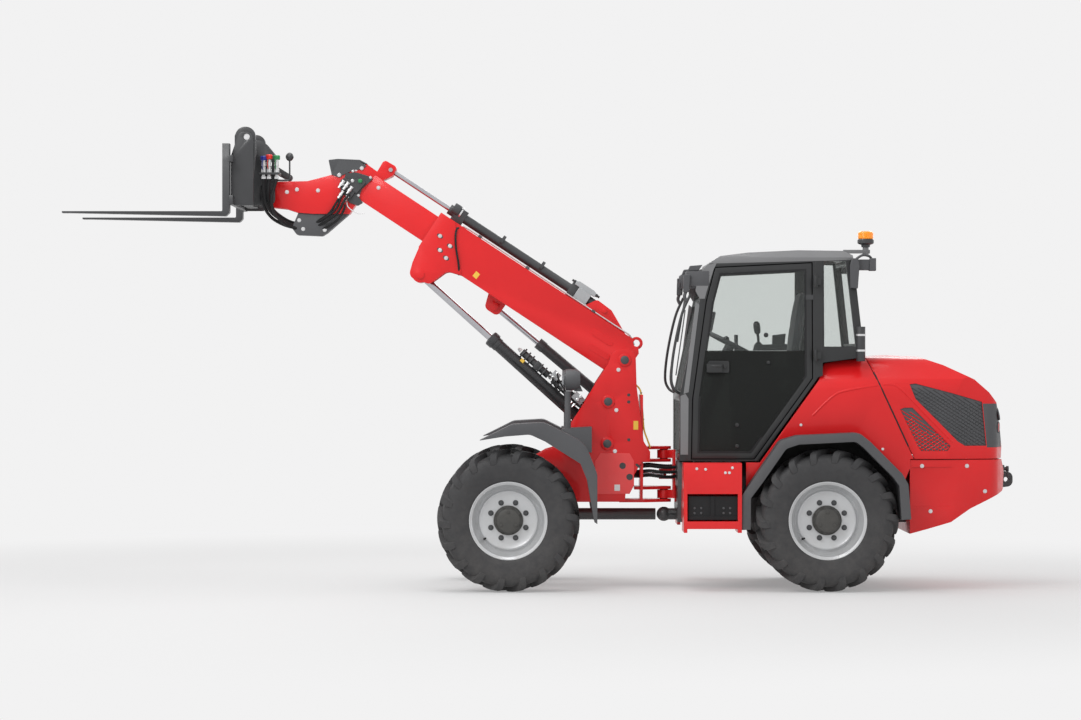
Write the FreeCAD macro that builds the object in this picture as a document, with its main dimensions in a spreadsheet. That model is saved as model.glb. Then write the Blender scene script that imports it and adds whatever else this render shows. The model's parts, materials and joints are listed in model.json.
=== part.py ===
import FreeCAD, Part

# Telescopic wheel loader: an articulated machine with a telescopic boom, a quick hitch with pallet
# forks, a glazed cab and a rear engine. Millimetres, +X forward, +Y left, +Z up, origin on the
# ground under the middle of the machine. Every size lives in the sheet "Dims"; sketches, primitives
# and placements read it through expressions.

import math
import os
import re

import Sketcher

Vector = FreeCAD.Vector

doc = FreeCAD.newDocument("telescopic_wheel_loader")

# ---------------------------------------------------------------------------------------------
# Sizes. Each row: name, value in mm (angles in degrees), meaning.
# ---------------------------------------------------------------------------------------------
SIZES = [
    # running gear
    ("wheelbase", 2240, "front axle to rear axle"),
    ("front_axle_x", 226, "front axle, ahead of the origin"),
    ("track", 1400, "middle of left tyre to middle of right tyre"),
    ("tyre_radius", 502, "over the lugs; also the height of the axles"),
    ("tyre_width", 350, "widest section of the tyre"),
    ("lug_height", 32, "bar of the tread, from groove to tip"),
    ("tyre_shoulder", 40, "drop of the side from the tread's edge to the widest section"),
    ("tread_width", 320, "across the lugs"),
    ("bead_radius", 262, "seat of the tyre on the rim"),
    ("rim_radius", 278, "over the rim's flange"),
    ("rim_width", 290, "between the flanges' outer faces"),
    ("rim_sheet", 10, "wall of the rim"),
    ("disc_offset", 40, "face of the wheel disc, outside the tyre's middle"),
    ("hub_radius", 102, "dark hub in the middle of the disc"),
    ("hub_length", 70, "hub's face, outside the wheel disc"),
    ("nut_circle", 133, "radius of the wheel nuts' circle"),
    ("nut_radius", 14, "wheel nut"),
    ("nut_height", 22, "wheel nut"),
    ("fender_sheet", 14, "sheet of the front fenders"),
    ("axle_tube_radius", 82, "arm of an axle"),
    ("axle_head_radius", 165, "reduction gear at the end of an axle"),
    ("axle_head_length", 110, "reduction gear"),
    ("axle_case_radius", 175, "differential case"),
    ("axle_case_width", 260, "differential case"),
    ("axle_gap", 8, "end of the axle to the wheel disc"),
    ("shaft_radius", 42, "drive shaft"),
    ("shaft_z", 515, "drive shaft above the ground"),
    # articulation
    ("pin_radius", 30, "pins of the articulation and of the cylinders' ears"),
    ("fit", 0.05, "pin or rod in its bore, on the radius"),
    ("ear_plate", 22, "thickness of an articulation ear"),
    ("ear_radius", 52, "round end of an articulation ear"),
    ("ear_gap", 5, "between an ear and the knuckle"),
    ("upper_bearing_z", 950, "middle of the upper articulation bearing"),
    ("lower_bearing_z", 660, "middle of the lower bearing, and the swing axis"),
    ("bearing_height", 60, "knuckle between a pair of ears"),
    ("swing_radius", 62, "swing shaft of the knuckle"),
    ("swing_length", 150, "swing shaft behind the knuckle's web"),
    ("knuckle_web", 20, "rear web of the knuckle"),
    ("knuckle_reach", 82, "articulation axis to the back of the knuckle's web"),
    # front frame and tower
    ("front_plate", 20, "side plate of the front frame and the tower"),
    ("tower_gap", 420, "between the tower's two plates"),
    ("frame_top_z", 972, "top edge of the front frame's side plates"),
    ("frame_bottom_z", 610, "bottom edge of the front frame's side plates"),
    ("frame_nose", 110, "front end of the side plates, behind the front axle"),
    ("boom_pivot_ahead", 289, "boom pivot, ahead of the articulation axis"),
    ("boom_pivot_z", 1630, "boom pivot above the ground"),
    ("lift_foot_ahead", 414, "foot pin of the lift cylinder, ahead of the articulation axis"),
    ("lift_foot_z", 1029, "foot pin of the lift cylinder"),
    ("levelling_foot_ahead", 408, "foot pin of the levelling cylinder, ahead of the axis"),
    ("levelling_foot_z", 1331, "foot pin of the levelling cylinder"),
    # boom, in its own frame: along the boom and across it, from the pivot
    ("boom_angle", 33.4, "boom above the horizontal, as it stands"),
    ("boom_half", 112, "half width of the outer boom"),
    ("boom_above", 161, "outer boom's top above the pivot line"),
    ("boom_below", 138, "outer boom's bottom below the pivot line"),
    ("boom_sheet", 10, "wall of the outer boom"),
    ("boom_tail", 62, "outer boom behind its pivot"),
    ("boom_length", 1690, "pivot to the front end of the outer boom"),
    ("pad_play", 0.4, "wear pad to the inner boom"),
    ("inner_sheet", 10, "wall of the inner boom"),
    ("inner_above", 125, "inner boom's top above the pivot line"),
    ("inner_below", 85, "inner boom's bottom below the pivot line"),
    ("inner_half", 88, "half width of the inner boom"),
    ("inner_tail", 1040, "rear end of the inner boom, as it stands"),
    ("inner_front", 2240, "inner boom's front end, where the gooseneck starts"),
    ("lift_pin_along", 1570, "head pin of the lift cylinder"),
    ("lift_pin_below", 297, "head pin of the lift cylinder"),
    ("levelling_pin_along", 1000, "head pin of the levelling cylinder"),
    ("levelling_room", 85, "levelling ears' bridge above the boom's underside"),
    ("levelling_pin_below", 191, "head pin of the levelling cylinder"),
    ("levelling_side", 162, "levelling cylinder, right of the middle"),
    ("eye_ring_radius", 46, "lifting eye at the boom's tail"),
    ("eye_bore", 25, "hole of the lifting eye, radius"),
    ("stretch_above", 218, "telescoping cylinder above the pivot line"),
    ("stretch_foot", 313, "rear pin of the telescoping cylinder"),
    ("stretch_head", 2165, "front pin of the telescoping cylinder"),
    ("stretch_radius", 34, "barrel of the telescoping cylinder"),
    ("stretch_rod", 17, "rod of the telescoping cylinder"),
    ("stretch_barrel_end", 1660, "front end of the telescoping cylinder's barrel"),
    ("tilt_pin_along", 2803, "hitch pivot"),
    ("tilt_pin_below", 439, "hitch pivot"),
    # cylinders
    ("lift_radius", 45, "barrel of the lift cylinder"),
    ("lift_rod", 25, "rod of the lift cylinder"),
    ("lift_barrel", 1114, "foot pin to the front end of the barrel"),
    ("levelling_radius", 38, "barrel of the levelling cylinder"),
    ("levelling_rod", 20, "rod of the levelling cylinder"),
    ("levelling_barrel", 660, "foot pin to the front end of the barrel"),
    ("eye_radius", 48, "eye at a cylinder's end"),
    ("eye_width", 60, "eye at a cylinder's end"),
    ("cap_length", 14, "pin cap outside an ear"),
    ("beacon_radius", 60, "beacon"),
    ("beacon_height", 115, "height of the beacon"),
    ("beacon_side", 400, "beacon, left of the middle"),
    ("steer_radius", 30, "barrel of the steering cylinder"),
    ("steer_rod", 15, "rod of the steering cylinder"),
    ("steer_pin", 14, "foot pin of the steering cylinder"),
    ("steer_side", 160, "steering cylinder, right of the middle"),
    ("steer_z", 800, "steering cylinder above the ground"),
    ("steer_foot_ahead", 500, "foot of the steering cylinder, ahead of the articulation axis"),
    ("steer_barrel", 330, "foot pin to the end of the steering cylinder's barrel"),
    ("steer_eye_half", 18, "half height of the steering cylinder's eyes"),
    ("steer_ear", 14, "plate of the steering cylinder's forks"),
    # hitch and forks
    ("fork_side", 550, "middle of a fork, from the middle of the machine"),
    ("fork_width", 100, "fork"),
    ("fork_blade", 35, "thickness of a fork at its heel"),
    ("fork_tip", 12, "thickness of a fork at its tip"),
    ("fork_length", 1135, "fork blade ahead of its heel's back face"),
    ("fork_heel_x", 2253, "front face of the forks' shanks"),
    ("fork_top_z", 2684, "top face of the fork blades"),
    ("fork_height", 480, "top of the shank above the blade's top face"),
    ("slot_half", 54, "half width of the slot in the gooseneck"),
    ("link_half", 24, "half width of the tilt link"),
    ("hook_side", 455, "middle of a hitch side plate, from the middle of the machine"),
    ("hitch_plate", 22, "hitch side plate"),
    # cab
    ("cab_front_gap", 91, "cab front, behind the articulation axis"),
    ("cab_length", 1305, "over the cab, front to rear"),
    ("cab_floor_z", 915, "underside of the cab"),
    ("cab_height", 1495, "underside of the cab to the top of its roof"),
    ("cab_half", 610, "half width of the cab below its windows"),
    ("cab_roof_half", 555, "half width of the cab at its roof"),
    ("cab_wall", 40, "pillars, walls and roof of the cab"),
    ("door_gap", 8, "round the cab door"),
    ("door_frame", 38, "frame of the cab door"),
    ("glass", 6, "window glass"),
    ("seat_height", 530, "underside of the seat cushion above the cab's floor"),
    ("steering_wheel_radius", 180, "middle of the steering wheel's ring"),
    ("door_hinge_out", 22, "door hinge axis outside the cab's side"),
    # rear body
    ("body_half", 620, "half width of the rear body"),
    ("body_split_z", 930, "bottom edge of the bonnet, and top of the counterweight"),
    ("body_sheet", 16, "wall of the rear body and the bonnet"),
    ("body_front", 600, "front end of the rear body's sides, ahead of the rear axle"),
    ("bonnet_length", 987, "over the bonnet, from its hinge to the rear"),
    ("bonnet_behind", 22, "bonnet's hinge, behind the cab"),
    ("bonnet_gap", 6, "round the bonnet"),
    ("lattice_depth", 6, "bonnet's grilles, behind its skin"),
    ("lattice_sheet", 6, "plate of the bonnet's grilles"),
    ("weight_front", 600, "front face of the counterweight, behind the rear axle"),
    ("rail_half", 330, "half width of the rear chassis"),
    ("rail_plate", 24, "side plate of the rear chassis"),
    ("rail_bottom_z", 470, "bottom of the rear chassis"),
    ("rail_top_z", 900, "top of the rear chassis"),
    ("flare_outer", 880, "outer edge of a rear wheel arch, from the middle"),
    ("flare_band", 62, "depth of a rear wheel arch's band"),
    ("hitch_bore", 20, "bore of the rear tow hitch, radius"),
    ("step_outer", 785, "outer face of the side steps, from the middle"),
    ("step_inner", 420, "inner side of the side steps"),
]

sheet = doc.addObject("Spreadsheet::Sheet", "Dims")
for row, (name, value, meaning) in enumerate(SIZES, start=1):
    sheet.set("A%d" % row, name)
    sheet.set("B%d" % row, str(value))
    sheet.set("C%d" % row, meaning)
    sheet.setAlias("B%d" % row, name)
doc.recompute()

# Places worked out from the sizes, as formulas.
FORMULAS = {}
ALIASES = {name for name, value, meaning in SIZES}
WORD = re.compile(r"[A-Za-z_][A-Za-z_0-9]*")


def linked(text):
    """The formula with every named place spelled out and every size read from the sheet."""
    def swap(hit):
        word = hit.group()
        if word in FORMULAS:
            return FORMULAS[word]
        if word in ALIASES:
            return "Dims." + word
        return word
    return WORD.sub(swap, str(text))


def define(name, text):
    FORMULAS[name] = "(" + linked(text) + ")"


def amount(text):
    """What a formula comes to now."""
    result = sheet.evalExpression(linked(text))
    return float(getattr(result, "Value", result))


define("axle_z", "tyre_radius")
define("rear_axle_x", "front_axle_x - wheelbase")
define("hinge_x", "front_axle_x - wheelbase / 2")
define("pivot_x", "hinge_x + boom_pivot_ahead")
define("pivot_z", "boom_pivot_z")
define("lift_foot_x", "hinge_x + lift_foot_ahead")
define("levelling_foot_x", "hinge_x + levelling_foot_ahead")
define("tower_half", "tower_gap / 2 + front_plate")
define("cab_x", "hinge_x - cab_front_gap")
define("cab_rear_x", "cab_x - cab_length")
define("door_hinge_x", "cab_x - 0.735 * cab_length")
define("door_hinge_y", "cab_half + door_hinge_out")
define("body_x", "rear_axle_x + body_front")
define("bonnet_x", "cab_rear_x - bonnet_behind")
define("body_rear_x", "bonnet_x - bonnet_length")
define("body_long", "body_x - body_rear_x")
define("body_top_z", "cab_floor_z + 0.50234 * cab_height")
define("nose_x", "front_axle_x - frame_nose")
define("bonnet_hinge_z", "body_top_z - 5.6")
define("cos_boom", "cos(boom_angle)")
define("sin_boom", "sin(boom_angle)")
define("lift_head_x", "pivot_x + lift_pin_along * cos_boom + lift_pin_below * sin_boom")
define("lift_head_z", "pivot_z + lift_pin_along * sin_boom - lift_pin_below * cos_boom")
define("levelling_head_x",
       "pivot_x + levelling_pin_along * cos_boom + levelling_pin_below * sin_boom")
define("levelling_head_z",
       "pivot_z + levelling_pin_along * sin_boom - levelling_pin_below * cos_boom")
define("tilt_x", "pivot_x + tilt_pin_along * cos_boom + tilt_pin_below * sin_boom")
define("tilt_z", "pivot_z + tilt_pin_along * sin_boom - tilt_pin_below * cos_boom")

# ---------------------------------------------------------------------------------------------
# Building blocks
# ---------------------------------------------------------------------------------------------
ROLES = {"XY": "XY_Plane", "XZ": "XZ_Plane", "YZ": "YZ_Plane"}
NODES = []


def fix(sketch, kind, *rest):
    """A driving constraint bound to a formula."""
    text = rest[-1]
    number = sketch.addConstraint(Sketcher.Constraint(kind, *rest[:-1], amount(text)))
    sketch.setExpression("Constraints[%d]" % number, linked(text))


def pin_point(sketch, piece, end, across, up):
    fix(sketch, "DistanceX", -1, 1, piece, end, across)
    fix(sketch, "DistanceY", -1, 1, piece, end, up)


def outline(sketch, corners):
    """A closed line through the corners; a corner with a third value is rounded by that radius."""
    spots = [(amount(corner[0]), amount(corner[1])) for corner in corners]
    count = len(corners)
    ends = []
    for here in range(count):
        corner = corners[here]
        if len(corner) == 2:
            ends.append((spots[here], spots[here]))
            continue
        radius = amount(corner[2])
        before = Vector(*spots[here - 1], 0) - Vector(*spots[here], 0)
        after = Vector(*spots[(here + 1) % count], 0) - Vector(*spots[here], 0)
        reach = radius / math.tan(before.getAngle(after) / 2)
        start = Vector(*spots[here], 0) + before.normalize() * reach
        stop = Vector(*spots[here], 0) + after.normalize() * reach
        ends.append(((start.x, start.y), (stop.x, stop.y)))
    lines = []
    for here in range(count):
        start = Vector(*ends[here][1], 0)
        stop = Vector(*ends[(here + 1) % count][0], 0)
        lines.append(sketch.addGeometry(Part.LineSegment(start, stop)))
    for here in range(count):
        corner = corners[here]
        arriving = lines[here - 1]
        leaving = lines[here]
        if len(corner) == 2:
            sketch.addConstraint(Sketcher.Constraint("Coincident", arriving, 2, leaving, 1))
            pin_point(sketch, leaving, 1, corner[0], corner[1])
            continue
        tip = sketch.addGeometry(Part.Point(Vector(*spots[here], 0)), True)
        pin_point(sketch, tip, 1, corner[0], corner[1])
        sketch.addConstraint(Sketcher.Constraint("PointOnObject", tip, 1, arriving))
        sketch.addConstraint(Sketcher.Constraint("PointOnObject", tip, 1, leaving))
        start = Vector(*ends[here][0], 0)
        stop = Vector(*ends[here][1], 0)
        inward = (start + stop) / 2 - Vector(*spots[here], 0)
        half = (start - Vector(*spots[here], 0)).getAngle(inward)
        away = amount(corner[2]) / math.sin(half)
        centre = Vector(*spots[here], 0) + inward.normalize() * away
        middle = centre - inward.normalize() * amount(corner[2])
        bend = Part.Arc(start, middle, stop).toShape().Curve
        turning = (start - centre).cross(stop - centre).z
        first = math.atan2(start.y - centre.y, start.x - centre.x)
        last = math.atan2(stop.y - centre.y, stop.x - centre.x)
        if turning < 0:
            first, last = last, first
        circle = Part.Circle(centre, Vector(0, 0, 1), amount(corner[2]))
        arc = sketch.addGeometry(Part.ArcOfCircle(circle, first, last))
        near, far = (1, 2) if turning > 0 else (2, 1)
        sketch.addConstraint(Sketcher.Constraint("Tangent", arriving, 2, arc, near))
        sketch.addConstraint(Sketcher.Constraint("Tangent", arc, far, leaving, 1))
        fix(sketch, "Radius", arc, corner[2])


def hole(sketch, across, up, radius):
    centre = Vector(amount(across), amount(up), 0)
    ring = sketch.addGeometry(Part.Circle(centre, Vector(0, 0, 1), amount(radius)))
    pin_point(sketch, ring, 3, across, up)
    fix(sketch, "Radius", ring, radius)


def sketch_in(body, plane, name, offset="0"):
    sketch = body.newObject("Sketcher::SketchObject", name)
    for feature in body.Origin.OriginFeatures:
        if feature.Role == ROLES[plane]:
            sketch.AttachmentSupport = [(feature, "")]
    sketch.MapMode = "FlatFace"
    sketch.setExpression("AttachmentOffset.Base.z", linked(offset))
    return sketch


def slab(name, plane, corners, low, high, holes=()):
    """A padded outline on one of the three planes, from low to high along that plane's axis."""
    body = doc.addObject("PartDesign::Body", name)
    offset = "-(%s)" % high if plane == "XZ" else low
    sketch = sketch_in(body, plane, name + "_sketch", offset)
    outline(sketch, corners)
    for across, up, radius in holes:
        hole(sketch, across, up, radius)
    pad = body.newObject("PartDesign::Pad", name + "_pad")
    pad.Profile = sketch
    pad.setExpression("Length", linked("(%s) - (%s)" % (high, low)))
    return body


def plate(name, corners, low, high, holes=()):
    """A side plate: outline in X and Z, between two Y places."""
    return slab(name, "XZ", corners, low, high, holes)


def both(text_low, text_high):
    """The two mirrored Y ranges of a left and a right piece."""
    return [("left", text_low, text_high), ("right", "-(%s)" % text_high, "-(%s)" % text_low)]


def turned(name, corners, holes=()):
    """A body turned about the machine's Y axis: outline of radius (up) against Y (across)."""
    body = doc.addObject("PartDesign::Body", name)
    sketch = sketch_in(body, "YZ", name + "_sketch")
    outline(sketch, corners)
    turn = body.newObject("PartDesign::Revolution", name + "_turn")
    turn.Profile = sketch
    turn.ReferenceAxis = (sketch, ["H_Axis"])
    turn.Angle = 360
    return body


TURNS = {
    "X": FreeCAD.Rotation(Vector(0, 1, 0), 90),
    "Y": FreeCAD.Rotation(Vector(1, 0, 0), -90),
    "Z": FreeCAD.Rotation(),
}


def bind_place(thing, where):
    for letter, text in zip("xyz", where):
        thing.setExpression("Placement.Base." + letter, linked(text))


def rod(name, axis, radius, low, high, across, up):
    """A cylinder along an axis; across and up are its place on the other two axes, in X, Y, Z order."""
    thing = doc.addObject("Part::Cylinder", name)
    thing.Placement = FreeCAD.Placement(Vector(), TURNS[axis])
    thing.setExpression("Radius", linked(radius))
    thing.setExpression("Height", linked("(%s) - (%s)" % (high, low)))
    where = {"X": (low, across, up), "Y": (across, low, up), "Z": (across, up, low)}[axis]
    bind_place(thing, where)
    return thing


def block(name, x_range, y_range, z_range):
    thing = doc.addObject("Part::Box", name)
    for side, (low, high) in zip(("Length", "Width", "Height"), (x_range, y_range, z_range)):
        thing.setExpression(side, linked("(%s) - (%s)" % (high, low)))
    bind_place(thing, (x_range[0], y_range[0], z_range[0]))
    return thing


def cone(name, axis, radius_low, radius_high, low, high, across, up):
    thing = doc.addObject("Part::Cone", name)
    thing.Placement = FreeCAD.Placement(Vector(), TURNS[axis])
    thing.setExpression("Radius1", linked(radius_low))
    thing.setExpression("Radius2", linked(radius_high))
    thing.setExpression("Height", linked("(%s) - (%s)" % (high, low)))
    where = {"X": (low, across, up), "Y": (across, low, up), "Z": (across, up, low)}[axis]
    bind_place(thing, where)
    return thing


def fuse(name, *things):
    thing = doc.addObject("Part::MultiFuse", name)
    thing.Shapes = list(things)
    thing.Refine = True
    return thing


def common(name, *things):
    thing = doc.addObject("Part::MultiCommon", name)
    thing.Shapes = list(things)
    thing.Refine = True
    return thing


def cut(name, base, *tools):
    thing = doc.addObject("Part::Cut", name)
    thing.Base = base
    thing.Tool = tools[0] if len(tools) == 1 else fuse(name + "_tools", *tools)
    thing.Refine = True
    return thing


def together(name, *things):
    """Pieces that share a node without touching."""
    thing = doc.addObject("Part::Compound", name)
    thing.Links = list(things)
    return thing


def lay(thing, x_text, z_text, angle_text, y_text="0"):
    """Turns a piece drawn in its own frame up about Y by an angle and puts its origin in place."""
    thing.Placement = FreeCAD.Placement(Vector(), FreeCAD.Rotation(Vector(0, -1, 0), 10))
    thing.setExpression("Placement.Rotation.Angle", linked(angle_text))
    bind_place(thing, (x_text, y_text, z_text))
    return thing


def in_boom(thing):
    return lay(thing, "pivot_x", "pivot_z", "boom_angle")


def node(label, thing):
    thing.Label = label
    NODES.append(thing)
    return thing


# ---------------------------------------------------------------------------------------------
# Wheels and axles
# ---------------------------------------------------------------------------------------------
TYRE_SIDES = 36
LUG_START = 5
LUG_LEAN = 1.3
WHEELS = [
    ("front_left", "front_axle_x", 1),
    ("front_right", "front_axle_x", -1),
    ("rear_left", "rear_axle_x", 1),
    ("rear_right", "rear_axle_x", -1),
]
define("disc_y", "disc_offset")
define("disc_back", "disc_offset - 14")
define("spindle_radius", "0.45 * hub_radius")
define("axle_end", "track / 2 + disc_back - axle_gap")


def face_out(thing, axle, side):
    """Puts a wheel piece, drawn about Y with its outer face at +Y, on its side of an axle."""
    turn = 0 if side > 0 else 180
    thing.Placement = FreeCAD.Placement(Vector(), FreeCAD.Rotation(Vector(0, 0, 1), turn))
    bind_place(thing, (axle, "%d * track / 2" % side, "axle_z"))
    return thing


def hub(tag):
    """Centre of the wheel, over the end of the spindle."""
    shape = turned("hub_body_" + tag, [
        ("disc_y", "spindle_radius + fit"), ("disc_y", "hub_radius"),
        ("disc_y + 0.45 * hub_length", "hub_radius"),
        ("disc_y + 0.6 * hub_length", "0.8 * hub_radius"),
        ("disc_y + hub_length", "0.72 * hub_radius"), ("disc_y + hub_length", "0"),
        ("disc_y + 0.5 * hub_length", "0"), ("disc_y + 0.5 * hub_length", "spindle_radius + fit"),
    ])
    return shape


def rim(tag, axle, side):
    edge = "rim_width / 2"
    lip = "(rim_width / 2 - rim_sheet)"
    well = "(bead_radius - rim_sheet)"
    shell = turned("rim_shell_" + tag, [
        (edge, "rim_radius"), (lip, "rim_radius"), (lip, "bead_radius"),
        ("-" + lip, "bead_radius"), ("-" + lip, "rim_radius"), ("-" + edge, "rim_radius"),
        ("-" + edge, well), ("disc_back", well), ("disc_back", "spindle_radius + 20"),
        ("disc_y", "spindle_radius + 20"), ("disc_y", "0.78 * bead_radius"),
        (edge, "0.9 * bead_radius"),
    ])
    nuts = []
    for count in range(8):
        angle = "(%d + 22.5)" % (45 * count)
        nut = rod("nut_%s_%d" % (tag, count), "Y", "nut_radius", "disc_y", "disc_y + nut_height",
                  "nut_circle * cos(%s)" % angle, "nut_circle * sin(%s)" % angle)
        nuts.append(nut)
    return node("rim_" + tag, face_out(fuse("rim_body_" + tag, shell, hub(tag), *nuts), axle, side))


def tyre(tag, axle, side):
    """Ring of flat facets with a bar on every second one: the two sides' bars alternate."""
    radius = amount("tyre_radius")
    half = amount("tyre_width") / 2
    tread = amount("tread_width") / 2
    depth = amount("lug_height")
    bead = amount("bead_radius") / math.cos(math.pi / TYRE_SIDES) + 0.3
    seat = amount("rim_width") / 2 - amount("rim_sheet") - 0.3
    shoulder = radius - amount("tyre_shoulder")
    wall = [(seat - 4, bead), (seat, amount("rim_radius") + 3), (half - 3, 0.74 * radius),
            (half, 0.83 * radius)]
    bar = [(half - 6, shoulder), (tread - 40, radius), (LUG_START, radius)]
    groove = [(half - 18, shoulder - 0.8 * depth), (tread - 46, radius - depth),
              (LUG_START, radius - depth)]
    lean = {half - 6: 0.9, half - 18: 0.9, tread - 40: 0.6, tread - 46: 0.6, LUG_START: 0}

    def corner(step, hand, across, up):
        angle = 2 * math.pi * (step + LUG_LEAN * lean.get(across, 1)) / TYRE_SIDES
        return Vector(up * math.sin(angle), hand * across, up * math.cos(angle))

    faces = []

    def face(*corners):
        faces.append(Part.Face(Part.makePolygon([*corners, corners[0]])))

    def halves(a, b, c, d):
        face(a, b, c)
        face(a, c, d)

    def band(step, hand, line):
        for near, far in zip(line, line[1:]):
            halves(corner(step, hand, *near), corner(step, hand, *far),
                   corner(step + 1, hand, *far), corner(step + 1, hand, *near))

    for step in range(TYRE_SIDES):
        for spot in (wall[0], groove[-1]):
            face(*[corner(step + more, hand, *spot)
                   for more, hand in ((0, 1), (1, 1), (1, -1), (0, -1))])
        for hand in (1, -1):
            raised = (step % 2 == 0) == (hand > 0)
            band(step, hand, wall)
            band(step, hand, wall[-1:] + (bar if raised else groove))
            high = [corner(step, hand, *spot) for spot in bar]
            low = [corner(step, hand, *spot) for spot in groove]
            face(corner(step, hand, *wall[-1]), high[0], low[0])
            halves(high[0], high[1], low[1], low[0])
            halves(high[1], high[2], low[2], low[1])
            if raised:
                face(high[2], low[2], corner(step + 1, hand, *groove[-1]),
                     corner(step + 1, hand, *bar[-1]))
    shell = Part.makeShell(faces)
    shell.sewShape()
    solid = Part.makeSolid(shell)
    if solid.Volume < 0:
        solid.reverse()
    print("tyre", tag, "closed", shell.isClosed(), "valid", solid.isValid())
    thing = doc.addObject("Part::Feature", "tyre_body_" + tag)
    thing.Shape = solid
    return node("tyre_" + tag, face_out(thing, axle, side))


def wheels():
    for tag, axle, side in WHEELS:
        tyre(tag, axle, side)
        rim(tag, axle, side)


def axle(label, middle, shaft_side, pad_top, shafts):
    """Axle across the machine: case, arms, end gears, spindles, pads up to the chassis, and its shaft."""
    pieces = [
        rod(label + "_tube", "Y", "axle_tube_radius", "-axle_end", "axle_end", middle, "axle_z"),
        rod(label + "_case", "Y", "axle_case_radius", "-axle_case_width / 2",
            "axle_case_width / 2", middle, "axle_z"),
        rod(label + "_spindles", "Y", "spindle_radius", "-(track / 2 + disc_y + 0.4 * hub_length)",
            "track / 2 + disc_y + 0.4 * hub_length", middle, "axle_z"),
    ]
    for side, low, high in both("axle_end - axle_head_length", "axle_end"):
        pieces.append(rod("%s_head_%s" % (label, side), "Y", "axle_head_radius", low, high,
                          middle, "axle_z"))
    for side, low, high in both("tower_gap / 2 - 30", "tower_gap / 2 + 50"):
        pieces.append(block("%s_pad_%s" % (label, side), ("(%s) - 85" % middle, "(%s) + 85" % middle),
                            (low, high), ("axle_z", pad_top)))
    ends = ("(%s) + axle_case_radius - 20" % middle, "(%s) + axle_case_radius + 70" % middle)
    if shaft_side < 0:
        ends = ("(%s) - axle_case_radius - 70" % middle, "(%s) - axle_case_radius + 20" % middle)
    pieces.append(rod(label + "_input", "X", "1.6 * shaft_radius", ends[0], ends[1], "0", "shaft_z"))
    return node(label, fuse(label + "_body", *pieces, *shafts))


define("joint_ball", "1.25 * shaft_radius")
define("bridge_z", "axle_z + axle_case_radius + 5")


def drive_shafts():
    """Front half, and the rear half with the joint's ball on the articulation axis."""
    front = rod("shaft_front", "X", "shaft_radius", "hinge_x + joint_ball + 8",
                "front_axle_x - axle_case_radius - 70", "0", "shaft_z")
    rear = rod("shaft_rear", "X", "shaft_radius", "rear_axle_x + axle_case_radius + 70",
               "hinge_x", "0", "shaft_z")
    ball = doc.addObject("Part::Sphere", "shaft_ball")
    ball.setExpression("Radius", linked("joint_ball"))
    bind_place(ball, ("hinge_x", "0", "shaft_z"))
    return [front], [rear, ball]


# ---------------------------------------------------------------------------------------------
# Articulation
# ---------------------------------------------------------------------------------------------
define("bearing_half", "bearing_height / 2")
define("ear_half", "bearing_half + ear_gap")
define("lower_low", "lower_bearing_z - bearing_half")
BEARINGS = [("upper", "upper_bearing_z"), ("lower", "lower_bearing_z")]


def knuckle():
    """Block between the two frames: it turns on the pin and swings on its shaft."""
    reach = "knuckle_reach"
    web = block("knuckle_web_plate", ("hinge_x - " + reach, "hinge_x - knuckle_reach + knuckle_web"),
                ("-70", "70"), ("lower_low", "upper_bearing_z + bearing_half"))
    pieces = [web]
    for tag, height in BEARINGS:
        low = "%s - bearing_half" % height
        high = "%s + bearing_half" % height
        boss = rod("knuckle_boss_" + tag, "Z", "0.93 * ear_radius", low, high, "hinge_x", "0")
        arm = block("knuckle_arm_" + tag, ("hinge_x - " + reach, "hinge_x"), ("-40", "40"), (low, high))
        pieces += [boss, arm]
    pieces.append(block("steer_arm_web", ("hinge_x - " + reach, "hinge_x - knuckle_reach + knuckle_web"),
                        ("-steer_side - 30", "-60"),
                        ("steer_z - steer_eye_half - ear_gap - steer_ear",
                         "steer_z + steer_eye_half + ear_gap + steer_ear")))
    for tag, low, high in both("steer_eye_half + ear_gap", "steer_eye_half + ear_gap + steer_ear"):
        pieces.append(block("steer_arm_" + tag, ("hinge_x - " + reach, "hinge_x + 30"),
                            ("-steer_side - 30", "-steer_side + 30"),
                            ("steer_z + (%s)" % low, "steer_z + (%s)" % high)))
    pieces.append(rod("knuckle_swing", "X", "swing_radius",
                      "hinge_x - knuckle_reach - swing_length", "hinge_x - knuckle_reach + 5",
                      "0", "lower_bearing_z"))
    bore = rod("knuckle_bore", "Z", "pin_radius + fit", "lower_low - 1",
               "upper_bearing_z + bearing_half + 1", "hinge_x", "0")
    return node("articulation_knuckle", cut("knuckle_body", fuse("knuckle_block", *pieces), bore))


def articulation_pins():
    """Upper and lower hinge pins and the steering cylinder's foot pin."""
    pins = []
    for tag, height in BEARINGS:
        pins.append(rod("hinge_pin_" + tag, "Z", "pin_radius", "%s - ear_half - ear_plate" % height,
                        "%s + ear_half + ear_plate" % height, "hinge_x", "0"))
    pins.append(rod("steer_foot_pin", "Z", "steer_pin", "steer_z - steer_eye_half - steer_ear - 5",
                    "steer_z + steer_eye_half + steer_ear + 5", "hinge_x + steer_foot_ahead", "-steer_side"))
    return pins


# ---------------------------------------------------------------------------------------------
# Front frame, tower, fenders and head lamps
# ---------------------------------------------------------------------------------------------
define("tower_rear", "hinge_x + 106")
PINS = [
    ("pivot", "pivot_x", "pivot_z"),
    ("lift_foot", "lift_foot_x", "lift_foot_z"),
    ("levelling_foot", "levelling_foot_x", "levelling_foot_z"),
]


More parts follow.
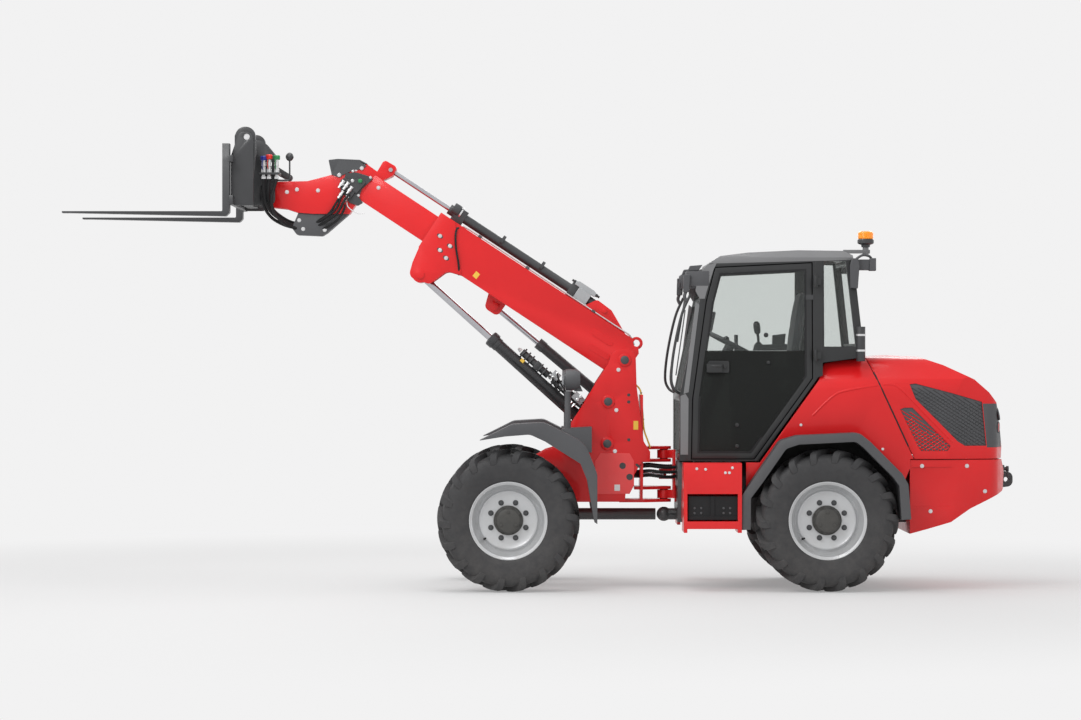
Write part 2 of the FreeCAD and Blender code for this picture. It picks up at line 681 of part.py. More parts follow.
def front_frame():
    """Two side plates that rise to the boom pivot, joined by cross plates, with the ears behind."""
    side = [
        ("tower_rear", "frame_top_z"), ("tower_rear + 46", "frame_top_z + 72"),
        ("pivot_x - 86", "pivot_z - 190"), ("pivot_x - 78", "pivot_z + 76", "70"),
        ("pivot_x + 78", "pivot_z + 76", "70"), ("pivot_x + 120", "pivot_z - 30"),
        ("pivot_x + 213", "pivot_z - 171"), ("pivot_x + 283", "pivot_z - 293"),
        ("pivot_x + 500", "frame_top_z + 30", "60"), ("pivot_x + 570", "frame_top_z + 10"),
        ("nose_x + 110", "frame_top_z - 150"), ("front_axle_x + 110", "frame_bottom_z + 120"),
        ("front_axle_x + 110", "frame_bottom_z"), ("pivot_x + 203", "frame_bottom_z"),
        ("pivot_x - 3", "frame_bottom_z + 8"), ("pivot_x - 8", "frame_bottom_z + 92"),
        ("pivot_x - 123", "frame_bottom_z + 290"), ("tower_rear", "frame_bottom_z + 290"),
    ]
    holes = [(across, up, "pin_radius + fit") for tag, across, up in PINS]
    pieces = []
    for tag, low, high in both("tower_gap / 2", "tower_half"):
        pieces.append(plate("side_plate_" + tag, side, low, high, holes))
    inner = ("-tower_gap / 2", "tower_gap / 2")
    pieces.append(cut("rear_cross_plate",
                      block("rear_cross_sheet", ("tower_rear + 50", "tower_rear + 70"), inner,
                            ("lower_bearing_z + ear_half", "pivot_z - 250")),
                      block("steer_way", ("tower_rear + 49", "tower_rear + 71"),
                            ("-steer_side - 50", "-steer_side + 80"),
                            ("steer_z - steer_radius - 12", "steer_z + steer_radius + 12"))))
    for tag, low, high in both("steer_eye_half + 0.3", "steer_eye_half + steer_ear"):
        pieces.append(cut("steer_foot_" + tag,
                          block("steer_foot_plate_" + tag,
                                ("hinge_x + steer_foot_ahead - 32", "hinge_x + steer_foot_ahead + 35"),
                                ("-tower_gap / 2", "-steer_side + 35"),
                                ("steer_z + (%s)" % low, "steer_z + (%s)" % high)),
                          rod("steer_foot_bore_" + tag, "Z", "steer_pin + fit",
                              "steer_z - 60", "steer_z + 60",
                              "hinge_x + steer_foot_ahead", "-steer_side")))
    pieces.append(block("bottom_plate", ("pivot_x - 3", "front_axle_x + 110"), inner,
                        ("frame_bottom_z", "frame_bottom_z + 16")))
    pieces.append(block("nose_plate", ("front_axle_x + 60", "front_axle_x + 80"), inner,
                        ("frame_bottom_z", "frame_bottom_z + 90")))
    pieces.append(block("neck_plate", ("tower_rear + 50", "tower_rear + 70"),
                        ("-0.3 * tower_gap", "0.3 * tower_gap"),
                        ("lower_bearing_z - ear_half - ear_plate", "lower_bearing_z + ear_half + 10")))
    for tag, height in BEARINGS:
        for level, low, high, ahead in (
            ("top", "%s + ear_half" % height, "%s + ear_half + ear_plate" % height, "110"),
            ("under", "%s - ear_half - ear_plate" % height, "%s - ear_half" % height, "220"),
        ):
            tongue = slab("ear_%s_%s" % (tag, level), "XY", [
                ("tower_rear + " + ahead, "0.3 * tower_gap"), ("tower_rear + 30", "0.3 * tower_gap"),
                ("hinge_x - 8", "ear_radius - 1"), ("hinge_x - 8", "-ear_radius + 1"),
                ("tower_rear + 30", "-0.3 * tower_gap"), ("tower_rear + " + ahead, "-0.3 * tower_gap"),
            ], low, high)
            end = rod("ear_end_%s_%s" % (tag, level), "Z", "ear_radius", low, high, "hinge_x", "0")
            bore = rod("ear_bore_%s_%s" % (tag, level), "Z", "pin_radius + fit", low, high,
                       "hinge_x", "0")
            pieces.append(cut("ear_%s_%s_bored" % (tag, level),
                              fuse("ear_%s_%s_whole" % (tag, level), tongue, end), bore))
    case_room = rod("case_room", "Y", "axle_case_radius + 6", "-tower_gap / 2", "tower_gap / 2",
                    "front_axle_x", "axle_z")
    return node("front_frame", cut("front_frame_body", fuse("front_frame_whole", *pieces), case_room))


def frame_pins():
    """All the pins held by the front frame: articulation, boom and cylinder feet."""
    pins = articulation_pins()
    for tag, across, up in PINS:
        pins.append(rod("tower_pin_" + tag, "Y", "pin_radius", "-tower_half - cap_length",
                        "tower_half + cap_length", across, up))
    return node("frame_pins", together("frame_pin_set", *pins))


FENDER_TOP = [
    ("front_axle_x + 201", "axle_z + 564"), ("front_axle_x + 60", "axle_z + 634"),
    ("front_axle_x - 25", "axle_z + 677", "90"), ("front_axle_x - 250", "axle_z + 690", "90"),
    ("front_axle_x - 540", "axle_z + 545", "180"), ("front_axle_x - 624", "axle_z + 330", "160"),
    ("front_axle_x - 624", "axle_z - 21"),
]
FENDER_SKIRT = [
    ("front_axle_x - 603", "axle_z - 7"), ("front_axle_x - 554", "axle_z + 282", "90"),
    ("front_axle_x - 505", "axle_z + 402"), ("front_axle_x - 258", "axle_z + 557"),
    ("front_axle_x - 152", "axle_z + 606", "90"), ("front_axle_x + 24", "axle_z + 592"),
]
define("fender_low", "track / 2 - tyre_width / 2 + 15")
define("lamp_post_x", "front_axle_x - 420")
define("fender_high", "track / 2 + tyre_width / 2 + 5")


def front_fenders():
    """Curved plastic guards over the front wheels: a sheet with side skirts, on arms from the frame."""
    sheet_in = "fender_sheet"
    guards = []
    for tag, low, high in both("fender_low", "fender_high"):
        guard = plate("front_fender_" + tag, FENDER_TOP + FENDER_SKIRT, low, high)
        hollow = plate("front_fender_hollow_" + tag, [
            ("front_axle_x + 195", "axle_z + 550"), ("front_axle_x + 58", "axle_z + 634 - " + sheet_in),
            ("front_axle_x - 25", "axle_z + 677 - " + sheet_in, "80"),
            ("front_axle_x - 246", "axle_z + 690 - " + sheet_in, "80"),
            ("front_axle_x - 530", "axle_z + 536", "160"),
            ("front_axle_x - 624 + " + sheet_in, "axle_z + 328", "150"),
            ("front_axle_x - 624 + " + sheet_in, "axle_z - 40"), ("front_axle_x - 300", "axle_z - 40"),
            ("front_axle_x + 195", "axle_z + 400"),
        ], "%s + %s" % (low, sheet_in), "%s - %s" % (high, sheet_in))
        reach = ("tower_half", "fender_low + 5") if tag == "left" else ("-fender_low - 5", "-tower_half")
        arm = block("fender_arm_" + tag, ("front_axle_x - 460", "front_axle_x - 380"), reach,
                    ("axle_z + 530", "axle_z + 572"))
        inward = ("tower_half + 6", "fender_low + 5")
        if tag == "right":
            inward = ("-fender_low - 5", "-tower_half - 6")
        bracket = plate("fender_bracket_" + tag, [
            ("front_axle_x - 380", "axle_z + 515"), ("front_axle_x - 380", "axle_z + 640"),
            ("front_axle_x - 590", "axle_z + 652"), ("front_axle_x - 590", "axle_z + 470"),
        ], *inward)
        sign = 1 if tag == "left" else -1
        post = rod("lamp_post_" + tag, "Z", "22", "axle_z + 540", "axle_z + 905", "lamp_post_x",
                   "%d * (fender_low - 25)" % sign)
        shell = cut("front_fender_cut_" + tag, guard, hollow)
        guards.append(fuse("front_fender_whole_" + tag, shell, arm, bracket, post))
    return node("front_fenders", together("front_fender_pair", *guards))


def head_lamps():
    """A lamp on each post above the front fenders."""
    lamps = []
    for tag, sign in (("left", 1), ("right", -1)):
        side = "%d * (fender_low - 25)" % sign
        lamps.append(block("lamp_" + tag, ("lamp_post_x - 122", "lamp_post_x + 23"),
                           ("%s - 85" % side, "%s + 85" % side), ("axle_z + 905", "axle_z + 1070")))
    return node("head_lamps", together("lamp_set", *lamps))


# ---------------------------------------------------------------------------------------------
# Boom. Drawn along X from the pivot and laid up at the boom's angle.
# ---------------------------------------------------------------------------------------------
define("ear_in", "eye_width / 2 + 6")
define("ear_out", "eye_width / 2 + 28")
define("stretch_side", "stretch_radius + 3")


def boom_pins():
    """Caps on the cylinders' ears: the rods' eyes are the open pivots, so no pin goes through."""
    caps = []
    for tag, low, high in both("boom_half + 14", "boom_half + 14 + cap_length"):
        caps.append(rod("lift_cap_" + tag, "Y", "pin_radius", low, high,
                        "lift_pin_along", "-lift_pin_below"))
    caps.append(rod("levelling_cap", "Y", "pin_radius", "-levelling_side + ear_out",
                    "-levelling_side + ear_out + cap_length",
                    "levelling_pin_along", "-levelling_pin_below"))
    caps.append(rod("stretch_pin", "Y", "0.5 * pin_radius", "-stretch_side - 18 - cap_length",
                    "stretch_side + 18 + cap_length", "stretch_foot", "stretch_above"))
    return caps


def outer_boom():
    """Box with a tail boss at the pivot, a collar at the front and ears for two cylinders."""
    box = plate("outer_boom_box", [
        ("-boom_tail", "-0.7 * boom_below"), ("-boom_tail", "0.6 * boom_above"),
        ("-0.2 * boom_tail", "boom_above"), ("boom_length", "boom_above"),
        ("boom_length", "-boom_below"), ("0.5 * boom_tail", "-boom_below"),
    ], "-boom_half", "boom_half")
    hollow = block("outer_boom_hollow", ("1.6 * boom_tail", "boom_length + 1"),
                   ("-boom_half + boom_sheet", "boom_half - boom_sheet"),
                   ("-boom_below + boom_sheet", "boom_above - boom_sheet"))
    boss = rod("boom_boss", "Y", "2.1 * pin_radius", "-tower_gap / 2 + 5", "tower_gap / 2 - 5", "0", "0")
    pieces = [box, boss]
    for tag, low, high in both("boom_half - 1", "boom_half + 14"):
        pieces.append(plate("collar_side_" + tag, [
            ("boom_length", "boom_above"), ("boom_length", "-boom_below + 30"),
            ("lift_pin_along + 95", "-lift_pin_below + 45", "40"),
            ("lift_pin_along + 60", "-lift_pin_below - 62", "50"),
            ("lift_pin_along - 95", "-lift_pin_below - 20", "40"),
            ("lift_pin_along - 150", "-boom_below - 30", "60"), ("lift_pin_along - 250", "-boom_below"),
            ("boom_length - 120", "boom_above"),
        ], low, high, [("lift_pin_along", "-lift_pin_below", "pin_radius + fit")]))
        pieces.append(rod("collar_ear_" + tag, "Y", "1.9 * pin_radius",
                          low if tag == "right" else "ear_in", high if tag == "left" else "-ear_in",
                          "lift_pin_along", "-lift_pin_below"))
    for tag, low, high in (("inner", "-levelling_side + ear_in", "-levelling_side + ear_out"),
                           ("outer", "-levelling_side - ear_out + 6", "-levelling_side - ear_in + 6")):
        pieces.append(plate("levelling_ear_" + tag, [
            ("levelling_pin_along - 60", "-boom_below + levelling_room + 14"),
            ("levelling_pin_along + 120", "-boom_below + levelling_room + 14"),
            ("levelling_pin_along + 55", "-levelling_pin_below - 50", "40"),
            ("levelling_pin_along - 60", "-levelling_pin_below - 50", "40"),
        ], low, high))
    pieces.append(block("levelling_ear_root", ("levelling_pin_along - 60", "levelling_pin_along + 120"),
                        ("-levelling_side - ear_out + 6", "-boom_half + 1"),
                        ("-boom_below + levelling_room", "-boom_below + levelling_room + 14")))
    pieces.append(rod("eye_ring", "Y", "eye_ring_radius", "-30", "30", "-8", "boom_above - 10"))
    for tag, low, high in both("stretch_side", "stretch_side + 18"):
        pieces.append(plate("stretch_bracket_" + tag, [
            ("stretch_foot - 220", "boom_above - 1"), ("stretch_foot + 150", "boom_above - 1"),
            ("stretch_foot + 90", "stretch_above + 40", "30"),
            ("stretch_foot - 40", "stretch_above + 32", "30"),
        ], low, high))
    whole = fuse("outer_boom_whole", *pieces)
    cuts = [
        hollow,
        rod("boom_bore", "Y", "pin_radius + fit", "-tower_gap", "tower_gap", "0", "0"),
        rod("eye_hole", "Y", "eye_bore", "-tower_gap", "tower_gap", "-8", "boom_above - 10"),
        block("eye_clearance", ("lift_pin_along - 330", "boom_length + 1"),
              ("-ear_in", "ear_in"), ("-lift_pin_below - 150", "-boom_below + boom_sheet + 1")),
    ]
    bored = cut("outer_boom_bored", whole, *cuts)
    return node("outer_boom", in_boom(fuse("outer_boom_body", bored, *boom_pins())))


def wear_pads():
    """Sliding pads between the two booms, inside the collar."""
    span = ("boom_length - 170", "boom_length - 20")
    pads = []
    for tag, low, high in both("inner_half + pad_play", "boom_half - boom_sheet"):
        pads.append(block("side_pad_" + tag, span, (low, high), ("-0.4 * inner_below", "0.6 * inner_above")))
    for tag, low, high in both("ear_in + 4", "inner_half - 4"):
        pads.append(block("top_pad_" + tag, span, (low, high),
                          ("inner_above + pad_play", "boom_above - boom_sheet")))
        pads.append(block("low_pad_" + tag, span, (low, high),
                          ("-boom_below + boom_sheet", "-inner_below - pad_play")))
    return node("wear_pads", in_boom(together("wear_pad_set", *pads)))


def stretch_barrel():
    eye = rod("stretch_eye", "Y", "stretch_radius", "-stretch_side + 1", "stretch_side - 1",
              "stretch_foot", "stretch_above")
    barrel = rod("stretch_tube", "X", "stretch_radius", "stretch_foot + 0.6 * stretch_radius",
                 "stretch_barrel_end", "0", "stretch_above")
    gland = rod("stretch_gland", "X", "1.12 * stretch_radius", "stretch_barrel_end - 70",
                "stretch_barrel_end", "0", "stretch_above")
    lugs = []
    for count, along in enumerate(("stretch_foot + 260", "stretch_barrel_end - 90")):
        lugs.append(block("stretch_valve_%d" % count, ("%s - 45" % along, "%s + 45" % along),
                          ("-35", "35"), ("boom_above", "stretch_above + stretch_radius + 18")))
    bore = rod("stretch_bore", "X", "stretch_rod + fit", "stretch_foot + 2 * stretch_radius",
               "stretch_barrel_end + 1", "0", "stretch_above")
    pin = rod("stretch_eye_bore", "Y", "0.5 * pin_radius + fit", "-stretch_side", "stretch_side",
              "stretch_foot", "stretch_above")
    whole = fuse("stretch_whole", eye, barrel, gland, *lugs)
    return node("telescoping_barrel", in_boom(cut("stretch_body", whole, bore, pin)))


def inner_boom():
    box = block("inner_boom_box", ("inner_tail", "inner_front"), ("-inner_half", "inner_half"),
                ("-inner_below", "inner_above"))
    hollow = block("inner_boom_hollow", ("inner_tail - 1", "inner_front + 1"),
                   ("-inner_half + inner_sheet", "inner_half - inner_sheet"),
                   ("-inner_below + inner_sheet", "inner_above - inner_sheet"))
    return node("inner_boom", in_boom(cut("inner_boom_body", box, hollow)))


define("neck_x", "inner_front - 100")


def gooseneck():
    """Bent nose of the boom: the hitch pivots in it, and a slot takes the tilt link."""
    shape = plate("gooseneck_plate", [
        ("inner_front", "inner_above + 30"), ("inner_front + 5", "stretch_above + 36", "25"),
        ("inner_front - 105", "stretch_above + 42", "25"), ("inner_front - 110", "stretch_above - 30", "25"),
        ("inner_front - 70", "inner_above"), ("inner_front - 70", "-inner_below - 12"),
        ("inner_front + 4", "-inner_below - 130"), ("tilt_pin_along - 347", "-tilt_pin_below + 85"),
        ("tilt_pin_along - 248", "-tilt_pin_below + 30", "60"),
        ("tilt_pin_along - 165", "-tilt_pin_below + 8"),
        ("tilt_pin_along - 60", "-tilt_pin_below - 46", "50"),
        ("tilt_pin_along + 62", "-tilt_pin_below - 60", "60"),
        ("tilt_pin_along + 75", "-tilt_pin_below + 60", "60"),
        ("tilt_pin_along + 15", "-tilt_pin_below + 124", "40"), ("tilt_pin_along - 180", "-181"),
        ("tilt_pin_along - 308", "-39", "60"), ("tilt_pin_along - 393", "69"),
        ("inner_front + 91", "inner_above + 33"),
    ], "-inner_half", "inner_half", [("tilt_pin_along", "-tilt_pin_below", "pin_radius + fit"),
                                     ("stretch_head", "stretch_above", "0.5 * pin_radius + fit")])
    slot = rod("gooseneck_slot", "Y", "440", "-slot_half", "slot_half", "tilt_pin_along", "-tilt_pin_below")
    rear_slot = block("gooseneck_rear", ("inner_front - 111", "inner_front + 6"), ("-20", "20"),
                      ("inner_above + 45", "stretch_above + 60"))
    socket = block("gooseneck_socket", ("inner_front - 71", "inner_front"),
                   ("-inner_half - 1", "inner_half + 1"), ("-inner_below - 131", "inner_above"))
    core = cut("gooseneck_core", shape, slot, rear_slot, socket)
    hose_guide(core)
    return node("gooseneck", in_boom(copy_of("gooseneck_body", core)))


def hose_guide(core):
    """Box under the gooseneck that leads the hoses round its bend to the hitch."""
    shape = plate("hose_guide_outline", [
        ("inner_front + 4", "-inner_below - 129"), ("tilt_pin_along - 347", "-tilt_pin_below + 86"),
        ("tilt_pin_along - 250", "-tilt_pin_below + 32"),
        ("tilt_pin_along - 271", "-tilt_pin_below - 87", "15"),
        ("tilt_pin_along - 329", "-tilt_pin_below - 108", "20"),
        ("inner_front + 79", "-tilt_pin_below - 15", "20"),
        ("inner_front + 61", "-tilt_pin_below + 23", "15"),
    ], "-0.85 * inner_half", "0.85 * inner_half")
    return node("hose_guide", in_boom(cut("hose_guide_body", shape, copy_of("guide_seat", core))))


def guard_plate():
    """Grey stone guard over the valves on the gooseneck."""
    shape = plate("guard_outline", [
        ("tilt_pin_along - 225", "32"), ("tilt_pin_along - 275", "74"),
        ("tilt_pin_along - 412", "156"), ("tilt_pin_along - 470", "162"),
        ("tilt_pin_along - 465", "153"), ("tilt_pin_along - 415", "146"),
        ("tilt_pin_along - 284", "69"), ("tilt_pin_along - 300", "-20"), ("tilt_pin_along - 290", "-24"),
    ], "-96", "96")
    return node("guard_plate", in_boom(shape))


def stretch_rod():
    bar = rod("stretch_rod_bar", "X", "stretch_rod", "inner_tail + 80", "stretch_head - 20",
              "0", "stretch_above")
    eye = rod("stretch_rod_eye", "Y", "28", "-19", "19", "stretch_head", "stretch_above")
    pin = rod("stretch_head_pin", "Y", "0.5 * pin_radius", "-inner_half - cap_length",
              "inner_half + cap_length", "stretch_head", "stretch_above")
    return node("telescoping_rod", in_boom(fuse("stretch_rod_body", bar, eye, pin)))


# ---------------------------------------------------------------------------------------------
# Lift and levelling cylinders. Drawn along X from the foot pin and laid up at their own angles.
# ---------------------------------------------------------------------------------------------
define("lift_run", "lift_head_x - lift_foot_x")
define("lift_rise", "lift_head_z - lift_foot_z")
define("lift_long", "sqrt(lift_run ^ 2 + lift_rise ^ 2)")
define("lift_angle", "atan2(lift_rise; lift_run)")
define("levelling_run", "levelling_head_x - levelling_foot_x")
define("levelling_rise", "levelling_head_z - levelling_foot_z")
define("levelling_long", "sqrt(levelling_run ^ 2 + levelling_rise ^ 2)")
define("levelling_angle", "atan2(levelling_rise; levelling_run)")


def cylinder(tag, barrel_radius, rod_radius, barrel_end, full, inner_end, side):
    """Barrel with its eye on the foot pin, and the rod with its own eye at full length."""
    low = "%s - eye_width / 2" % side
    high = "%s + eye_width / 2" % side
    whole = fuse(tag + "_barrel_whole",
                 rod(tag + "_foot_eye", "Y", "eye_radius", low, high, "0", "0"),
                 rod(tag + "_tube", "X", barrel_radius, "0.7 * eye_radius", barrel_end, side, "0"),
                 rod(tag + "_gland", "X", "1.1 * (%s)" % barrel_radius, "(%s) - 60" % barrel_end,
                     barrel_end, side, "0"))
    barrel = cut(tag + "_barrel_body", whole,
                 rod(tag + "_foot_bore", "Y", "pin_radius + fit", "%s - 1" % low, "%s + 1" % high,
                     "0", "0"),
                 rod(tag + "_bore", "X", "%s + fit" % rod_radius, "2 * eye_radius",
                     "(%s) + 1" % barrel_end, side, "0"))
    bar = rod(tag + "_bar", "X", rod_radius, inner_end, "(%s) - 0.5 * eye_radius" % full, side, "0")
    eye = rod(tag + "_head_eye", "Y", "0.85 * eye_radius", low, high, full, "0")
    head = cut(tag + "_rod_body", fuse(tag + "_rod_whole", bar, eye),
               rod(tag + "_head_bore", "Y", "pin_radius + fit", "%s - 1" % low, "%s + 1" % high,
                   full, "0"))
    return barrel, head


def lift_cylinders():
    barrel, head = cylinder("lift", "lift_radius", "lift_rod", "lift_barrel", "lift_long",
                            "lift_barrel - 350", "0")
    node("lift_cylinder_barrel", lay(barrel, "lift_foot_x", "lift_foot_z", "lift_angle"))
    node("lift_cylinder_rod", lay(head, "lift_foot_x", "lift_foot_z", "lift_angle"))
    barrel, head = cylinder("levelling", "levelling_radius", "levelling_rod", "levelling_barrel",
                            "levelling_long", "levelling_barrel - 210", "-levelling_side")
    node("levelling_cylinder_barrel",
         lay(barrel, "levelling_foot_x", "levelling_foot_z", "levelling_angle"))
    node("levelling_cylinder_rod",
         lay(head, "levelling_foot_x", "levelling_foot_z", "levelling_angle"))
    accumulators = []
    for count, (start, stop) in enumerate((("330", "600"), ("640", "900"))):
        accumulators.append(rod("accumulator_%d" % count, "X", "26", start, stop, "0", "lift_radius + 34"))
        accumulators.append(block("accumulator_clamp_%d" % count, ("%s + 90" % start, "%s + 130" % start),
                                  ("-34", "34"), ("lift_radius", "lift_radius + 66")))
    valve = block("lift_valve", ("150", "290"), ("-38", "38"), ("lift_radius", "lift_radius + 62"))
    pack = together("accumulator_set", fuse("accumulator_a", *accumulators[:2]),
                    fuse("accumulator_b", *accumulators[2:]), valve)
    return node("lift_accumulators", lay(pack, "lift_foot_x", "lift_foot_z", "lift_angle"))


# ---------------------------------------------------------------------------------------------
# Quick hitch and forks, drawn where they stand
# ---------------------------------------------------------------------------------------------
def hitch():
    """Ears round the gooseneck's nose, outer hook plates and the tubes between them."""
    pieces = []
    for tag, low, high in both("inner_half + 24", "inner_half + 46"):
        pieces.append(plate("hitch_ear_" + tag, [
            ("tilt_x - 62", "tilt_z - 56", "40"), ("tilt_x + 180", "tilt_z - 64"),
            ("tilt_x + 190", "tilt_z + 330"), ("tilt_x + 130", "tilt_z + 425", "50"),
            ("tilt_x + 20", "tilt_z + 400", "60"), ("tilt_x - 62", "tilt_z + 300", "60"),
        ], low, high, [("tilt_x", "tilt_z", "pin_radius + fit")]))
    for tag, low, high in both("inner_half + 45", "inner_half + 46 + cap_length"):
        pieces.append(rod("link_cap_" + tag, "Y", "0.7 * pin_radius", low, high,
                          "tilt_x - 2", "tilt_z + 245"))
    for tag, low, high in both("link_half + 3", "slot_half - 6"):
        pieces.append(plate("link_lug_" + tag, [
            ("tilt_x - 36", "tilt_z + 216", "24"), ("tilt_x + 30", "tilt_z + 205", "24"),
            ("tilt_x + 165", "tilt_z + 320"), ("tilt_x + 120", "tilt_z + 380"),
            ("tilt_x - 30", "tilt_z + 282", "30"),
        ], low, high, [("tilt_x - 2", "tilt_z + 245", "0.7 * pin_radius + fit")]))
    for tag, low, high in both("hook_side - hitch_plate / 2", "hook_side + hitch_plate / 2"):
        pieces.append(plate("hitch_hook_" + tag, [
            ("tilt_x + 86", "tilt_z - 64"), ("tilt_x + 200", "tilt_z - 64"),
            ("tilt_x + 200", "tilt_z + 420"), ("tilt_x + 172", "tilt_z + 484", "68"),
            ("tilt_x + 54", "tilt_z + 484", "68"), ("tilt_x + 48", "tilt_z + 300", "40"),
        ], low, high, [("tilt_x + 113", "tilt_z + 412", "22 + fit")]))
    pieces.append(rod("hitch_tube", "Y", "44", "-hook_side", "hook_side", "tilt_x + 130", "tilt_z + 345"))
    pieces.append(block("hitch_beam", ("tilt_x + 108", "tilt_x + 180"), ("-hook_side", "hook_side"),
                        ("tilt_z - 60", "tilt_z + 20")))
    return node("quick_hitch", fuse("hitch_body", *pieces))


def hitch_pins():
    pins = [rod("tilt_pin", "Y", "pin_radius", "-inner_half - 46 - cap_length",
                "inner_half + 46 + cap_length", "tilt_x", "tilt_z"),
            rod("link_pin", "Y", "0.7 * pin_radius", "-slot_half + 6", "slot_half - 6",
                "tilt_x - 2", "tilt_z + 245")]
    for tag, low, high in both("hook_side - 40", "hook_side + 24"):
        pins.append(rod("lock_pin_" + tag, "Y", "22", low, high, "tilt_x + 113", "tilt_z + 412"))
    return node("hitch_pins", together("hitch_pin_set", *pins))


def tilt_link():
    """Short arm from the hitch's upper pin down into the gooseneck's slot."""
    shape = plate("tilt_link_plate", [
        ("-28", "34", "26"), ("28", "34", "26"), ("34", "-60", "60"), ("24", "-208", "22"),
        ("-24", "-208", "22"), ("-20", "-60", "60"),
    ], "-link_half", "link_half", [("0", "0", "0.7 * pin_radius + fit")])
    return node("tilt_link", lay(shape, "tilt_x - 2", "tilt_z + 245", "-57"))


def carriage():
    """Fork frame: two bars across, side plates and hooks on the quick hitch."""
    back = "fork_heel_x - 50"
    front = "tilt_x + 200.3"
    pieces = [
        block("carriage_top", (front, back), ("-fork_side - 60", "fork_side + 60"),
              ("fork_top_z + 350", "fork_top_z + 395")),
        block("carriage_bottom", (front, back), ("-fork_side - 60", "fork_side + 60"),
              ("fork_top_z + 46", "fork_top_z + 112")),
    ]
    for tag, low, high in both("hook_side + hitch_plate / 2 + 2", "hook_side + hitch_plate / 2 + 22"):
        pieces.append(plate("carriage_side_" + tag, [
            (back + " - 160", "fork_top_z + 46"), (back, "fork_top_z + 46"),
            (back, "fork_top_z + 395"), (back + " - 60", "fork_top_z + 570", "50"),
            (back + " - 160", "fork_top_z + 570", "50"),
        ], low, high, [("tilt_x + 113", "tilt_z + 412", "22 + fit")]))
    return node("fork_carriage", fuse("carriage_body", *pieces))


def forks():
    """Two tapered pallet forks hung on the carriage's bars."""
    top = "fork_top_z"
    pieces = []
    for tag, low, high in both("fork_side - fork_width / 2", "fork_side + fork_width / 2"):
        blade = plate("fork_" + tag, [
            ("fork_heel_x - 50", top + " - 10", "18"), ("fork_heel_x - 24", top + " - fork_blade", "20"),
            ("fork_heel_x + fork_length - 60", top + " - fork_tip"),
            ("fork_heel_x + fork_length", top + " - fork_tip"), ("fork_heel_x + fork_length", top),
            ("fork_heel_x", top, "8"), ("fork_heel_x", top + " + fork_height"),
            ("fork_heel_x - 50", top + " + fork_height"),
        ], low, high)
        pieces.append(blade)
    return node("pallet_forks", together("fork_pair", *pieces))


# ---------------------------------------------------------------------------------------------
# Shells: two flat outlines, each pushed across the machine, and the same drawn in by the wall
# ---------------------------------------------------------------------------------------------
STANDING = {
    "XY": FreeCAD.Rotation(),
    "XZ": FreeCAD.Rotation(Vector(1, 0, 0), 90),
    "YZ": FreeCAD.Rotation(Vector(1, 1, 1), 120),
}
ALONG = {"XY": Vector(0, 0, 1), "XZ": Vector(0, 1, 0), "YZ": Vector(1, 0, 0)}
LETTER = {"XY": "z", "XZ": "y", "YZ": "x"}


def flat(name, plane, corners):
    sketch = doc.addObject("Sketcher::SketchObject", name)
    sketch.Placement = FreeCAD.Placement(Vector(), STANDING[plane])
    outline(sketch, corners)
    return sketch


def prism(name, plane, corners, low, high, inset=None):
    """The outline pushed from low to high, drawn in on every side by the inset if there is one."""
    profile = flat(name + "_outline", plane, corners)
    profile.setExpression("Placement.Base." + LETTER[plane], linked(low))
    if inset is not None:
        smaller = doc.addObject("Part::Offset2D", name + "_inset")
        smaller.Source = profile
        smaller.Join = "Intersection"
        smaller.setExpression("Value", linked("-(%s)" % inset))
        profile = smaller
    push = doc.addObject("Part::Extrusion", name)
    push.Base = profile
    push.DirMode = "Custom"
    push.Dir = ALONG[plane]
    push.Solid = True
    push.setExpression("LengthFwd", linked("(%s) - (%s)" % (high, low)))
    return push


def copy_of(name, thing):
    """A second object with the same shape, for a boolean that must not claim the first."""
    twin = doc.addObject("Part::Refine", name)
    twin.Source = thing
    return twin


# ---------------------------------------------------------------------------------------------
# Cab
# ---------------------------------------------------------------------------------------------
def of_cab(*shares):
    """Outline corners as shares of the cab's length behind its front and height above its floor."""
    return [("cab_x - %s * cab_length" % back, "cab_floor_z + %s * cab_height" % up, *more)
            for back, up, *more in shares]


CAB_SIDE = of_cab(
    (0, 0), (0, 0.308), (0.111, 0.766), (0.165, 0.94), (0.222, 0.972), (0.379, 0.989), (0.648, 1),
    (0.893, 0.997), (0.943, 0.975), (1, 0.518), (1, 0.4916), (0.778, 0.466), (0.747, 0.391),
    (0.4253, 0))
CAB_ACROSS = [
    ("-cab_half", "cab_floor_z"), ("cab_half", "cab_floor_z"),
    ("cab_half", "cab_floor_z + 0.33 * cab_height"),
    ("cab_roof_half", "cab_floor_z + 0.965 * cab_height"),
    ("cab_roof_half - 40", "cab_floor_z + cab_height"),
    ("-cab_roof_half + 40", "cab_floor_z + cab_height"),
    ("-cab_roof_half", "cab_floor_z + 0.965 * cab_height"),
    ("-cab_half", "cab_floor_z + 0.33 * cab_height"),
]
DOOR = of_cab((0.06, 0.0067), (0.067, 0.294), (0.1425, 0.758), (0.1916, 0.92), (0.724, 0.943),
              (0.724, 0.391), (0.406, 0.0067))
QUARTER = of_cab((0.785, 0.542), (0.785, 0.95), (0.904, 0.9465), (0.9556, 0.542))
ROOF_EDGE = of_cab((-0.1, 0.93), (-0.1, 1.1), (1.1, 1.1), (1.1, 0.956))


def across_window(low, high, low_in, high_in):
    """A window in the front or rear wall, as shares of the cab's height and insets from its sides."""
    z_low = "cab_floor_z + %s * cab_height" % low
    z_high = "cab_floor_z + %s * cab_height" % high
    return [("-cab_half + %s" % low_in, z_low), ("cab_half - %s" % low_in, z_low),
            ("cab_roof_half - %s" % high_in, z_high), ("-cab_roof_half + %s" % high_in, z_high)]


